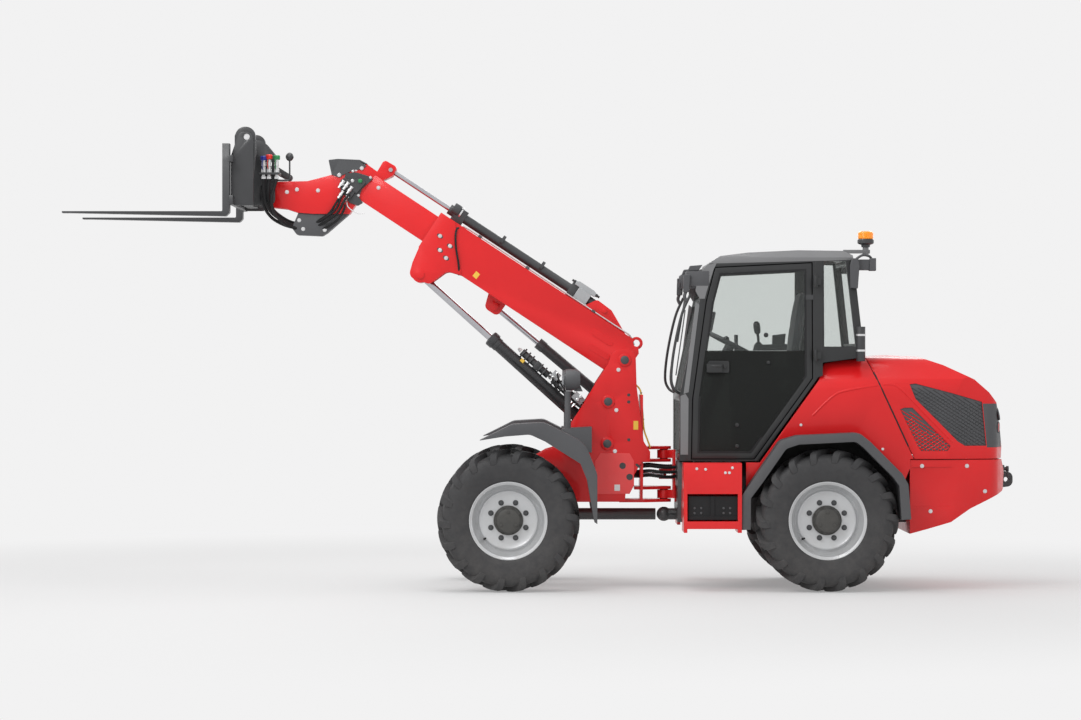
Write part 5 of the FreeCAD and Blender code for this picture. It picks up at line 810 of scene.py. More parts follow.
def tyre(tag):
    axle_x, axle_y = WHEELS[tag]
    centre = (axle_x, axle_y, TYRE_RADIUS)
    inside = [(-0.110, 0.285), (0.110, 0.285)]
    outline = CARCASS + [(-across, radius) for across, radius in CARCASS[-2::-1]] + inside
    maker = Maker("tread_" + tag)
    maker.turned(outline, centre, (0, 1, 0), WHEEL_SIDES)
    for bar, phase in ((LEFT_BAR, 0.0), (RIGHT_BAR, math.pi / BAR_COUNT)):
        maker.mesh.from_mesh(grow("bars", RING_OF_COPIES, {
            "Copy": bar, "Count": BAR_COUNT, "Centre": centre, "Phase": phase, "Material": RUBBER}))
    piece = maker.finish("wheel_" + tag, RUBBER)
    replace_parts(piece, "tyre_" + tag)
    return piece


for tag in WHEELS:
    piece = tyre(tag)
    print(piece.name, len(piece.data.polygons), "faces")

# %% [markdown]
# ## Rims and hubs
# The rim is a rolled steel band with a bead seat on each side, and a pressed disc welded
# into it. Eight nuts with washers clamp the disc to a dark cast hub, whose planetary cover
# carries three small bosses. The band and disc are one silver lathe profile.

# %% Rims, hubs and wheel nuts
DISC_FACE = 0.046
RIM_PROFILE = [
    (-0.145, 0.270), (-0.145, 0.278), (-0.136, 0.278), (-0.128, 0.262), (-0.080, 0.256),
    (-0.050, 0.236), (0.030, 0.236), (0.070, 0.254), (0.128, 0.262), (0.136, 0.278), (0.145, 0.278),
    (0.145, 0.270), (0.138, 0.262), (0.132, 0.254), (0.084, 0.247), (0.078, 0.243), (0.040, 0.229),
    (0.036, 0.224), (0.040, 0.214), (0.054, 0.206), (0.056, 0.198), (0.052, 0.190),
    (DISC_FACE, 0.160), (DISC_FACE, 0.0), (0.034, 0.0), (0.034, 0.190), (0.026, 0.226),
    (-0.056, 0.229), (-0.090, 0.249), (-0.132, 0.255)]
HUB_PROFILE = [(0.040, 0.0), (0.040, 0.104), (0.060, 0.104), (0.063, 0.101), (0.064, 0.096),
               (0.092, 0.090), (0.106, 0.080), (0.110, 0.070), (0.111, 0.050), (0.111, 0.0)]
NUT_CIRCLE = 0.133
BOSS_CIRCLE = 0.060
NUTS = 8


def nut_pattern(name, across, height, stud):
    """A flanged hexagon nut with its stud, standing on Z = 0."""
    maker = Maker(name)
    radius = across / math.sqrt(3)
    maker.turned([(-0.001, 0.0), (-0.001, radius * 1.32), (0.003, radius * 1.30), (0.004, 0.0)],
                 (0, 0, 0), (0, 0, 1), 20)
    maker.turned([(0.002, 0.0), (0.002, radius), (height - 0.002, radius), (height, radius * 0.9),
                  (height, 0.0)], (0, 0, 0), (0, 0, 1), 6)
    if stud:
        maker.pin((0, 0, 0), (0, 0, height + stud), radius * 0.55, 12, 0.001)
    return pattern_part(maker)


WHEEL_NUT = nut_pattern("wheel_nut", 0.026, 0.020, 0.008)


def rim(tag):
    axle_x, axle_y = WHEELS[tag]
    outward = (0, 1 if axle_y > 0 else -1, 0)
    centre = (axle_x, axle_y, TYRE_RADIUS)
    band = Maker("rim_band_" + tag)
    band.turned(RIM_PROFILE, centre, outward, WHEEL_SIDES)
    piece = band.finish("wheel_" + tag, SILVER)
    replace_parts(piece, "rim_" + tag)
    hub = Maker("hub_cover_" + tag)
    hub.turned(HUB_PROFILE, centre, outward, 64)
    for turn in (90, 210, 330):
        angle = math.radians(turn)
        spot = Vector(centre) + Vector((BOSS_CIRCLE * math.cos(angle), 0, BOSS_CIRCLE * math.sin(angle)))
        hub.pin(spot + 0.100 * Vector(outward), spot + 0.120 * Vector(outward), 0.011, 16, 0.002)
    hub.finish("wheel_" + tag, HUB_GREY)
    spots = []
    for step in range(NUTS):
        turn = 2 * math.pi * (step + 0.5) / NUTS
        spots.append(((axle_x + NUT_CIRCLE * math.cos(turn), axle_y + DISC_FACE * outward[1],
                       TYRE_RADIUS + NUT_CIRCLE * math.sin(turn)), outward))
    scatter("wheel_nuts_" + tag, WHEEL_NUT, spots, "wheel_" + tag, GREY_STEEL)


for tag in WHEELS:
    rim(tag)
print("rims done")

# %% [markdown]
# ## The driver's seat
# The cushion and the back are foam in a cloth cover: crowned in the middle, rolled at the
# edges and pulled in along two seams. Each is a closed form whose thickness grows from the
# edge like a stuffed pad and dips at its seams.

# %% The two pads
PAD_GRID = 26


def pad_form(name, corner, across, along, up, size, crown, seams):
    """A stuffed pad. corner plus across*u plus along*v spans it; up is its thick direction."""
    maker = Maker(name)
    width, length, thick = size
    across, along, up = Vector(across), Vector(along), Vector(up)
    grid = range(PAD_GRID + 1)
    sheets = []
    for is_top in (True, False):
        rows = []
        for i in grid:
            row = []
            for j in grid:
                u, v = i / PAD_GRID, j / PAD_GRID
                body = ((1 - abs(2 * u - 1) ** 6) * (1 - abs(2 * v - 1) ** 6)) ** 0.35
                dip = sum(math.exp(-((u - seam) / 0.018) ** 2) for seam in seams)
                dip += 0.7 * math.exp(-((v - 0.55) / 0.016) ** 2)
                swell = 1 - (2 * u - 1) ** 2 * 0.5 - (2 * v - 1) ** 2 * 0.5
                top = thick * 0.5 + (thick * 0.5 - crown) * body + crown * swell * body
                height = top - 0.006 * dip * body if is_top else thick * 0.5 * (1 - body)
                row.append(Vector(corner) + across * (u * width) + along * (v * length) + up * height)
            rows.append(maker.corners(row))
        sheets.append(rows)
    top, low = sheets
    for i in grid[:-1]:
        for j in grid[:-1]:
            maker.mesh.faces.new([top[i][j], top[i + 1][j], top[i + 1][j + 1], top[i][j + 1]])
            maker.mesh.faces.new([low[i][j], low[i][j + 1], low[i + 1][j + 1], low[i + 1][j]])
    last = PAD_GRID
    for run in ([(i, 0) for i in grid], [(last, j) for j in grid],
                [(i, last) for i in grid[::-1]], [(0, j) for j in grid[::-1]]):
        for (i, j), (k, m) in zip(run, run[1:]):
            maker.mesh.faces.new([top[k][m], top[i][j], low[i][j], low[k][m]])
    return maker


cushion_low, cushion_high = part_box("seat_cushion")
back_low, back_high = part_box("seat_back")
cushion = pad_form("seat_cushion_cover", cushion_low,
                   (0, 1, 0), (1, 0, 0), (0, 0, 1),
                   (cushion_high[1] - cushion_low[1], cushion_high[0] - cushion_low[0], 0.098),
                   0.018, (0.24, 0.76)).finish("rear_frame", SEAT_CLOTH)
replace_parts(cushion, "seat_cushion")
LEAN = math.radians(8)
back = pad_form("seat_back_cover", (back_low[0] + 0.075, back_low[1], back_low[2]),
                (0, 1, 0), (-math.sin(LEAN), 0, math.cos(LEAN)), (math.cos(LEAN), 0, math.sin(LEAN)),
                (back_high[1] - back_low[1], back_high[2] - back_low[2] - 0.01, 0.085),
                0.020, (0.22, 0.78)).finish("rear_frame", SEAT_CLOTH)
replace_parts(back, "seat_back")
print("seat pads", len(cushion.data.polygons) + len(back.data.polygons), "faces")

# %% [markdown]
# ## Finding the surface of a measured part
# A bolt has to sit on its plate, not in the air, so its place is found rather than guessed:
# a straight line is sent at the part from the side, and where it meets the metal is where
# the bolt's washer goes. A tree of the part's own faces answers that quickly.

# %% Surface finder and fasteners
from mathutils.bvhtree import BVHTree

FACE_TREES = {}


def faces_of(node):
    """The search tree of a measured part's own faces."""
    if node not in FACE_TREES:
        data = NODES[node].data
        FACE_TREES[node] = BVHTree.FromPolygons([vertex.co for vertex in data.vertices],
                                                [face.vertices for face in data.polygons])
    return FACE_TREES[node]


def touch(node, x, z, side=1):
    """How far out the node's skin is at (x, z), seen from the given side."""
    hit = faces_of(node).ray_cast(Vector((x, 2.0 * side, z)), Vector((0, -side, 0)))
    return hit[0].y if hit[0] else None


def both_sides(node, places):
    """Marked spots on the node's two side walls. A place is (x, z); one that misses is left out."""
    found = [(x, touch(node, x, z, side), z, side) for side in (1, -1) for x, z in places]
    return [((x, y, z), (0, side, 0)) for x, y, z, side in found if y is not None]


BOLT = nut_pattern("pattern_bolt", 0.019, 0.010, 0.0)
SMALL_BOLT = nut_pattern("pattern_small_bolt", 0.013, 0.007, 0.0)


def bolts(name, spots, body, pattern=BOLT):
    """Plated bolts of one size on marked spots, as one piece."""
    return scatter(name, pattern, spots, body, ZINC)


def round_head(name, radius, height):
    maker = Maker(name)
    maker.turned([(-0.001, 0.0), (-0.001, radius), (height * 0.4, radius), (height * 0.85, radius * 0.75),
                  (height, radius * 0.35), (height, 0.0)], (0, 0, 0), (0, 0, 1), 16)
    return pattern_part(maker)


ROUND_HEAD = round_head("pattern_round_head", 0.009, 0.006)
PIN_CAP = round_head("pattern_pin_cap", 0.028, 0.006)
print("boom wall at its pivot:", touch("outer_boom", -0.45, 1.75))

# %% [markdown]
# ## The tool's couplings and their hoses
# An attachment is driven through quick couplings on the hitch. Each is a plated steel
# socket with a coloured dust cap, so that the driver doesn't mix up the lines. The hoses
# drop from them, loop under the gooseneck with slack for the tilt, and enter a guide box.
# They cross the tilt joint, yet each is a plain piece on no body.

# %% Couplings, caps, lever and pins
COUPLER_Y = 0.215
COUPLERS = [(1.990, 3.095, BLUE_CAP), (1.952, 3.105, RED_CAP), (1.897, 3.100, GREEN_CAP)]


def couplers():
    bracket = Maker("coupler_bracket")
    bracket.plate(rect(2.020, 2.962, 1.872, 2.978), COUPLER_Y - 0.115, COUPLER_Y + 0.035)
    bracket.plate([(2.030, 2.925), (1.972, 2.925), (1.940, 2.962), (2.030, 2.978)],
                  COUPLER_Y - 0.115, COUPLER_Y - 0.100)
    bracket.finish("hitch", BLACK_STEEL, 0.0015)
    sockets = Maker("coupler_sockets")
    for x, top, cap in COUPLERS:
        sockets.turned([(0, 0), (0, 0.013), (0.020, 0.013), (0.022, 0.018), (0.050, 0.018),
                        (0.052, 0.014), (0.070, 0.014), (0.072, 0.019), (0.100, 0.019),
                        (0.102, 0.015), (0.118, 0.015), (0.118, 0)],
                       (x, COUPLER_Y, 2.952), (0, 0, 1), 20)
        sockets.turned([(0, 0), (0, 0.017), (0.018, 0.017), (0.018, 0)], (x, COUPLER_Y, 2.932),
                       (0, 0, 1), 6)
    sockets.finish("hitch", ZINC)
    for x, top, cap in COUPLERS:
        lid = Maker("dust_" + cap.name)
        lid.turned([(0, 0), (0, 0.023), (0.006, 0.025), (0.026, 0.025), (0.032, 0.020), (0.033, 0)],
                   (x, COUPLER_Y, top - 0.030), (0, 0, 1), 24)
        lid.tube([(x, COUPLER_Y + 0.024, top - 0.015), (x + 0.010, COUPLER_Y + 0.034, top - 0.06),
                  (x + 0.004, COUPLER_Y + 0.020, top - 0.100)], 0.0028, 8)
        lid.finish("hitch", cap)


def release_lever():
    lever = Maker("release_lever")
    lever.pin((1.804, 0.205, 2.935), (1.804, 0.205, 3.085), 0.006, 12, 0.0015)
    lever.turned([(0, 0), (0, 0.012), (0.008, 0.021), (0.022, 0.029), (0.036, 0.029), (0.050, 0.021),
                  (0.058, 0.010), (0.060, 0)], (1.804, 0.205, 3.062), (0, 0, 1), 24)
    lever.tube([(1.804, 0.205, 2.940), (1.810, 0.203, 2.925), (1.860, 0.195, 2.922),
                (1.960, 0.185, 2.925)], 0.007, 10)
    lever.finish("hitch", BLACK_STEEL)


def hitch_pin_heads():
    heads = Maker("lock_pin_heads")
    covers = Maker("pivot_pin_covers")
    for side in (1, -1):
        skin = abs(touch("quick_hitch", 2.135, 2.917, side) or 0.466)
        heads.turned([(-0.002, 0), (-0.002, 0.020), (0.006, 0.020), (0.009, 0.016), (0.009, 0)],
                     (2.135, side * skin, 2.917), (0, side, 0), 24)
        covers.turned([(-0.001, 0), (-0.001, 0.034), (0.004, 0.034), (0.007, 0.026), (0.007, 0)],
                      (1.977, side * 0.1482, 2.806), (0, side, 0), 28)
    heads.finish("hitch", ZINC)
    covers.finish("hitch", BLACK_STEEL)


couplers()
release_lever()
hitch_pin_heads()
print("coupler bracket and", len(COUPLERS), "couplings")

# %% [markdown]
# ### The tool's hoses
# Each hose is a smooth line through the places where it hangs, leaves its coupling and
# enters the guide box. It rides on no body, so it stays where it is drawn when the hitch tips.

# %% Four hoses from the hitch to the guide box
HOSE_LOOPS = [
    [(1.990, 0.215, 2.935), (1.992, 0.215, 2.86), (1.978, 0.205, 2.765), (1.935, 0.175, 2.690),
     (1.870, 0.130, 2.640), (1.815, 0.080, 2.612), (1.760, 0.045, 2.600)],
    [(1.952, 0.215, 2.935), (1.958, 0.215, 2.86), (1.955, 0.195, 2.770), (1.920, 0.155, 2.706),
     (1.868, 0.105, 2.662), (1.815, 0.045, 2.632), (1.760, 0.010, 2.618)],
    [(1.897, 0.215, 2.935), (1.915, 0.215, 2.87), (1.935, 0.225, 2.780), (1.915, 0.205, 2.690),
     (1.865, 0.155, 2.628), (1.812, 0.100, 2.596), (1.758, 0.060, 2.580)],
    [(2.010, 0.195, 2.880), (2.004, 0.205, 2.82), (1.985, 0.180, 2.725), (1.938, 0.130, 2.656),
     (1.872, 0.070, 2.615), (1.815, 0.010, 2.596), (1.760, -0.025, 2.586)],
]


def tool_hoses():
    for number, line in enumerate(HOSE_LOOPS, 1):
        hose = Maker("tool_hose_%d" % number)
        hose.tube(line, 0.0115, 12, 5)
        piece = hose.finish(None, HOSE)
        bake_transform(piece)


tool_hoses()
print("tool hoses", len(HOSE_LOOPS))

# %% [markdown]
# ## The valve plate on the gooseneck
# Where the boom's pipes end, a black plate carries the plated couplings of the third
# circuit. Short hoses fan out from them and dive into the guide box. The grey guard over
# them is folded sheet, so its cheeks are added under the measured top.

# %% Guard cheeks and valve plate
GUARD_CHEEK = [(2.578, 0.029), (2.521, 0.074), (2.395, 0.146), (2.327, 0.146), (2.337, 0.107),
               (2.387, 0.071), (2.437, -0.011), (2.444, -0.033), (2.502, -0.046)]
VALVE_PLATE = [(2.416, -0.001), (2.422, 0.021), (2.360, 0.067), (2.282, 0.090), (2.247, 0.098),
               (2.236, 0.088), (2.240, 0.075), (2.262, -0.012), (2.248, -0.072), (2.200, -0.092),
               (2.219, -0.130), (2.279, -0.144), (2.315, -0.138), (2.367, -0.089), (2.408, -0.039)]
# Distances from the middle plane: back of the plates, face of the cheeks, face of the valve plate.
PLATE_BACK, CHEEK_FACE, PLATE_FACE = 0.0885, 0.0955, 0.1005


def tilted(points):
    """Boom coordinates to (x, z) pairs."""
    return [at_boom(*point)[::2] for point in points]


def gooseneck_guard():
    cheeks = Maker("guard_cheeks")
    cheeks.pair(tilted(GUARD_CHEEK), PLATE_BACK, CHEEK_FACE)
    cheeks.finish("inner_boom", GREY_STEEL, 0.001)
    spots = [(at_boom(along, above, side * CHEEK_FACE), (0, side, 0))
             for along, above in ((2.455, -0.018), (2.346, 0.113)) for side in (1, -1)]
    bolts("guard_bolts", spots, "inner_boom")


def valve_plate():
    plate = Maker("valve_plate")
    plate.plate(tilted(VALVE_PLATE), PLATE_BACK, PLATE_FACE)
    plate.plate(tilted([(2.395, -0.020), (2.300, 0.050), (2.262, 0.040), (2.275, -0.060),
                        (2.350, -0.060)]), 0.099, 0.122)
    plate.finish("inner_boom", BLACK_STEEL, 0.002)
    cap = Maker("pressure_port_cap")
    cap.turned([(0, 0), (0, 0.016), (0.012, 0.016), (0.014, 0.012), (0.022, 0.011), (0.024, 0)],
               at_boom(2.302, 0.030, 0.1215), (0, 1, 0), 20)
    cap.finish("inner_boom", GREEN_CAP)
    spots = [(at_boom(*place), (0, 1, 0)) for place in (
        (2.387, 0.060, PLATE_FACE), (2.374, 0.079, PLATE_BACK), (2.256, 0.092, PLATE_FACE),
        (2.257, -0.064, PLATE_FACE))]
    bolts("valve_plate_bolts", spots, "inner_boom", SMALL_BOLT)


gooseneck_guard()
valve_plate()
print("guard cheek", len(GUARD_CHEEK), "corners, valve plate", len(VALVE_PLATE))

# %% [markdown]
# ### Screw couplings and short hoses
# Each port has a hexagon, a sleeve and a ferrule turned on one axis. The short hoses leave
# them downwards, and a thin white signal wire runs beside them.

# %% Couplings, their carrier, short hoses and bolts
COUPLING_SIZE = 1.05
PORTS = [(2.402, -0.032), (2.366, -0.024), (2.328, -0.036), (2.363, -0.097), (2.316, -0.110)]


def screw_coupling(maker, start, direction):
    """A plated screw coupling: a hexagon, then sleeve, collar and hose ferrule."""
    hexagon = [(0, 0), (0, 0.013), (0.010, 0.013), (0.010, 0)]
    sleeve = [(0.008, 0), (0.008, 0.011), (0.022, 0.011), (0.024, 0.014), (0.038, 0.014),
              (0.040, 0.010), (0.062, 0.010), (0.062, 0)]
    for profile, sides in ((hexagon, 6), (sleeve, 16)):
        maker.turned([(along * COUPLING_SIZE, radius * COUPLING_SIZE) for along, radius in profile],
                     start, direction, sides)


SHORT_HOSES = [
    [(2.356, -0.090, 0.138), (2.350, -0.150, 0.140), (2.338, -0.240, 0.128), (2.380, -0.350, 0.095),
     (2.430, -0.425, 0.040), (2.455, -0.455, 0.000)],
    [(2.314, -0.092, 0.142), (2.318, -0.160, 0.145), (2.312, -0.250, 0.132), (2.345, -0.345, 0.105),
     (2.395, -0.425, 0.050), (2.420, -0.455, 0.010)],
    [(2.362, -0.158, 0.128), (2.360, -0.215, 0.125), (2.362, -0.290, 0.110), (2.400, -0.375, 0.070),
     (2.440, -0.430, 0.020)],
    [(2.300, -0.172, 0.130), (2.285, -0.215, 0.128), (2.285, -0.300, 0.115), (2.325, -0.385, 0.085),
     (2.370, -0.440, 0.030)],
]


def valve_couplings():
    x, y, z = at_boom(0.05, -0.95, 0.02)
    down = Vector((x - PIVOT[0], y, z - PIVOT[1]))
    ports = Maker("screw_couplings")
    for index, (along, above) in enumerate(PORTS):
        screw_coupling(ports, at_boom(along, above, 0.128 + 0.010 * (index % 2)), down)
    for along, above in ((2.350, 0.0), (2.395, -0.06), (2.335, -0.075)):
        ports.turned([(0, 0), (0, 0.013), (0.016, 0.013), (0.018, 0.009), (0.030, 0.008), (0.030, 0)],
                     at_boom(along, above, 0.110), (0, 1, 0), 6)
    ports.finish("inner_boom", ZINC)
    carrier = Maker("coupling_carrier")
    carrier.plate(tilted([(2.425, -0.045), (2.410, -0.010), (2.290, -0.030), (2.290, -0.118),
                          (2.375, -0.118)]), 0.099, 0.118)
    carrier.finish("inner_boom", BLACK_STEEL, 0.002)
    for number, line in enumerate(SHORT_HOSES, 1):
        hose = Maker("short_hose_%d" % number)
        hose.tube([at_boom(*point) for point in line], 0.0085, 12, 5)
        hose.finish("inner_boom", HOSE)
    wire_line = Maker("signal_wire")
    wire_line.tube([at_boom(2.300, -0.150, 0.122), at_boom(2.270, -0.176, 0.118),
                    at_boom(2.195, -0.178, 0.100), at_boom(2.150, -0.150, 0.094)], 0.0035, 8, 4)
    wire_line.finish("inner_boom", WHITE_PLATE)


def gooseneck_bolts():
    for name, node, places in (
            ("gooseneck_bolts", "gooseneck", [(1.760, 2.862), (1.832, 2.844), (1.608, 2.855)]),
            ("guide_box_bolts", "hose_guide", [(1.745, 2.640), (1.716, 2.577), (1.560, 2.570)]),
            ("inner_boom_bolts", "inner_boom", tilted([(2.168, 0.062)]))):
        bolts(name, both_sides(node, places), "inner_boom")


valve_couplings()
gooseneck_bolts()
print("gooseneck fitted with", len(PORTS), "couplings")

# %% [markdown]
# ## The outer boom
# The front collar has slots through which the wear pads are set, each with a bolt. The
# telescope cylinder on top has a black gland and a bright stop ring, and two steel pipes
# run beside it to the head. Plates for labels stay blank here.

# %% Boom fittings
PLATE_SUNK = 0.001
COLLAR_PROUD = 0.0015
BLANK_THICK = 0.0015
COLLAR_SLOTS = [(1.603, 0.015), (1.503, -0.006), (1.547, -0.070), (1.479, -0.094)]


def lozenge(along, above, half_long, half_wide):
    """A slot's outline in boom coordinates: two straight sides and two round ends."""
    corners = []
    for end, start in ((1, -90), (-1, 90)):
        for step in range(6):
            angle = math.radians(start + 36 * step)
            corners.append((along + end * (half_long - half_wide) + half_wide * math.cos(angle),
                            above + half_wide * math.sin(angle)))
    return corners


def lay_on(piece, node, outline, spot, proud):
    """A thin plate on each side wall of the node, sunk a little and standing proud at the spot."""
    for place, facing in both_sides(node, [spot]):
        skin, side = place[1], facing[1]
        piece.plate(outline, *sorted((skin - side * PLATE_SUNK, skin + side * proud)))


def boom_fittings():
    slots = Maker("collar_slots")
    for place in COLLAR_SLOTS:
        lay_on(slots, "outer_boom", tilted(lozenge(*place, 0.024, 0.012)), at_boom(*place)[::2],
               COLLAR_PROUD)
    slots.finish("boom", BLACK_STEEL)
    bolts("collar_bolts", [((x, y + facing[1] * COLLAR_PROUD, z), facing) for (x, y, z), facing
                           in both_sides("outer_boom", tilted(COLLAR_SLOTS))], "boom")
    tail = Maker("tail_slots")
    for place in ((0.224, 0.047), (0.187, -0.050)):
        lay_on(tail, "outer_boom", tilted(lozenge(*place, 0.092, 0.022)), at_boom(*place)[::2], 0.003)
    tail.finish("boom", RED, 0.001)
    blank = Maker("blank_boom_plate")
    skin = touch("outer_boom", *at_boom(1.231, -0.077)[::2])
    blank.plate(tilted([(1.214, -0.101), (1.250, -0.096), (1.246, -0.052), (1.210, -0.057)]),
                skin, skin + BLANK_THICK)
    blank.finish("boom", YELLOW)


boom_fittings()
print("slots in the collar", len(COLLAR_SLOTS))

# %% [markdown]
# ### The telescope cylinder's trim
# The ram on top of the boom shows a turned gland, bands round its barrel and a bright stop
# ring. All are turned round the boom's own direction, so they stay true when it is tilted.

# %% Gland, bands, pipes and valve
TELESCOPE_ABOVE = 0.236


def telescope_trim():
    across = Vector((COS_BOOM, 0, SIN_BOOM))
    gland = Maker("telescope_gland")
    gland.turned([(0, 0.037), (0, 0.046), (0.010, 0.048), (0.050, 0.048), (0.056, 0.044),
                  (0.056, 0.037)], at_boom(1.585, TELESCOPE_ABOVE), across, 28)
    for along in (0.52, 0.86, 1.20):
        gland.turned(band(0.0375, 0.0425, 0.022), at_boom(along, TELESCOPE_ABOVE), across, 28)
    gland.finish("boom", BLACK_STEEL, 0.001)
    ring = Maker("telescope_ring")
    ring.turned(band(0.037, 0.0455, 0.012), at_boom(1.565, TELESCOPE_ABOVE), across, 28)
    ring.finish("boom", ZINC)
    pipes = Maker("boom_pipes")
    for side in (0.072, 0.090):
        pipes.tube([at_boom(1.50, 0.150, side * 0.98), at_boom(1.45, 0.171, side),
                    at_boom(0.80, 0.171, side), at_boom(0.20, 0.171, side),
                    at_boom(0.07, 0.171, side), at_boom(0.00, 0.130, side * 0.95)], 0.006, 10, 4)
    pipes.finish("boom", ZINC)
    clamps = Maker("pipe_clamps")
    for along in (0.38, 0.95, 1.36):
        clamps.plate(tilted(rect(along - 0.014, 0.161, along + 0.014, 0.181)), 0.060, 0.102)
    clamps.finish("boom", PLASTIC, 0.003)
    block = Maker("telescope_valve")
    block.plate(tilted([(0.430, 0.262), (0.600, 0.262), (0.600, 0.292), (0.575, 0.300),
                        (0.455, 0.300), (0.430, 0.290)]), -0.034, 0.046)
    block.plate(tilted(rect(0.455, 0.162, 0.560, 0.264)), 0.039, 0.052)
    block.finish("boom", VALVE_GREY, 0.003)
    ends = Maker("telescope_valve_ports")
    for along, turn in ((0.432, -1), (0.598, 1)):
        for side in (-0.012, 0.026):
            ends.turned([(0, 0), (0, 0.013), (0.016, 0.013), (0.018, 0.009), (0.034, 0.009), (0.034, 0)],
                        at_boom(along, 0.280, side), across * turn, 6)
    ends.finish("boom", BLACK_STEEL)
    head = Maker("head_hose")
    head.tube([at_boom(1.500, 0.150, 0.086), at_boom(1.530, 0.120, 0.122), at_boom(1.470, 0.020, 0.140),
               at_boom(1.380, -0.080, 0.136), at_boom(1.335, -0.145, 0.105)], 0.0075, 10, 5)
    head.finish("boom", HOSE)


telescope_trim()
print("boom wall here", round(touch("outer_boom", *at_boom(1.0, 0.0)[::2]), 4))

# %% [markdown]
# ## Cylinders
# Two small accumulators ride on the lift cylinder. They are black bottles held by ribbed
# clamps, and at the cylinder's foot a plated valve block has hexagon ports on it. A turned
# black gland closes the barrel where the rod comes out.

# %% Accumulator clamps, valve block and glands
BOTTLES = [((-0.290, 0, 1.304), (-0.085, 0, 1.494)), ((-0.060, 0, 1.512), (0.138, 0, 1.695))]
BOTTLE_RADIUS = 0.0345
LIFT_FOOT = (-0.480, 0.0, 1.030)
LIFT_HEAD = (0.880, 0.0, 2.260)
LIFT_RUN = (Vector(LIFT_HEAD) - Vector(LIFT_FOOT)).normalized()


def accumulator_trim():
    clamps = Maker("accumulator_clamps")
    for start, end in BOTTLES:
        run = Vector(end) - Vector(start)
        for share in (0.16, 0.30, 0.62, 0.76, 0.90):
            clamps.turned(band(BOTTLE_RADIUS - 0.002, BOTTLE_RADIUS + 0.004, 0.012),
                          Vector(start).lerp(Vector(end), share), run, 28)
    clamps.finish("lift_barrel", PLASTIC, 0.001)
    ports = Maker("accumulator_ports")
    for spot in ((-0.296, 0.0, 1.298), (0.146, 0.0, 1.702), (-0.072, 0.0, 1.503)):
        ports.turned([(-0.010, 0), (-0.010, 0.017), (0.008, 0.017), (0.010, 0.011), (0.020, 0.011),
                      (0.020, 0)], spot, LIFT_RUN, 6)
    ports.finish("lift_barrel", ZINC)
    plate = Maker("blank_cylinder_plate")
    plate.plate([(0.128, 1.606), (0.150, 1.626), (0.134, 1.644), (0.112, 1.624)], 0.0495, 0.0515)
    plate.finish("lift_barrel", YELLOW)


def valve_block():
    block = Maker("lift_valve_block")
    block.plate([(-0.115, 1.475), (-0.070, 1.518), (-0.108, 1.560), (-0.152, 1.518)], 0.030, 0.092)
    block.plate([(-0.205, 1.380), (-0.132, 1.450), (-0.180, 1.500), (-0.252, 1.430)], 0.034, 0.088)
    block.plate([(-0.285, 1.300), (-0.222, 1.362), (-0.262, 1.404), (-0.325, 1.342)], 0.036, 0.080)
    block.finish("lift_barrel", VALVE_GREY, 0.003)
    strap = Maker("lift_valve_strap")
    strap.plate([(-0.330, 1.290), (-0.060, 1.540), (-0.070, 1.551), (-0.340, 1.301)], 0.020, 0.036)
    strap.finish("lift_barrel", BLACK_STEEL, 0.002)
    ports = Maker("lift_valve_ports")
    for x, z, depth in ((-0.092, 1.505, 0.092), (-0.124, 1.532, 0.092), (-0.170, 1.418, 0.088),
                        (-0.200, 1.452, 0.088), (-0.224, 1.424, 0.088), (-0.268, 1.342, 0.080),
                        (-0.290, 1.364, 0.080)):
        ports.turned([(-0.002, 0), (-0.002, 0.013), (0.012, 0.013), (0.014, 0.009), (0.026, 0.009),
                      (0.026, 0)], (x, depth, z), (0, 1, 0), 6)
    for x, z in ((-0.250, 1.310), (-0.232, 1.330)):
        ports.turned([(0, 0), (0, 0.012), (0.018, 0.012), (0.018, 0.008), (0.040, 0.008), (0.040, 0)],
                     (x, 0.058, z), (0.75, 0, -0.66), 6)
    ports.finish("lift_barrel", ZINC)
    lines = Maker("lift_lines")
    lines.tube([(-0.124, 0.118, 1.532), (-0.128, 0.128, 1.500), (-0.190, 0.126, 1.385),
                (-0.270, 0.110, 1.300), (-0.330, 0.080, 1.262)], 0.006, 10, 4)
    lines.tube([(-0.092, 0.118, 1.505), (-0.090, 0.126, 1.470), (-0.150, 0.124, 1.370),
                (-0.250, 0.105, 1.262), (-0.330, 0.066, 1.215)], 0.006, 10, 4)
    lines.tube([(-0.215, 0.058, 1.300), (-0.180, 0.060, 1.275), (-0.130, 0.056, 1.310),
                (-0.060, 0.050, 1.390), (0.060, 0.046, 1.500), (0.200, 0.040, 1.625)], 0.005, 10, 4)
    lines.finish("lift_barrel", HOSE)


def rod_gland():
    gland = Maker("lift_gland")
    start = Vector(LIFT_FOOT) + LIFT_RUN * 1.135
    gland.turned([(0, 0.031), (0, 0.054), (0.006, 0.057), (0.046, 0.057), (0.052, 0.050),
                  (0.056, 0.031)], start - LIFT_RUN * 0.05, LIFT_RUN, 32)
    gland.finish("lift_barrel", BLACK_STEEL)


accumulator_trim()
valve_block()
rod_gland()
print("lift cylinder trimmed, foot at", LIFT_FOOT)

# %% [markdown]
# ## Front frame, lamps and pins
# The tower is two thick plates. Each boom pin ends in a round cap with a retaining bolt,
# and the plates have lifting slots and small cable holes. The head lamps are round glass
# fronts in deep plastic cups. Two plates for labels stay blank.

# %% Pin caps, slots, plates and cable
TOWER_HALF = 0.2302
TOWER_PINS = [(-0.605, 1.630), (-0.480, 1.029), (-0.486, 1.331)]


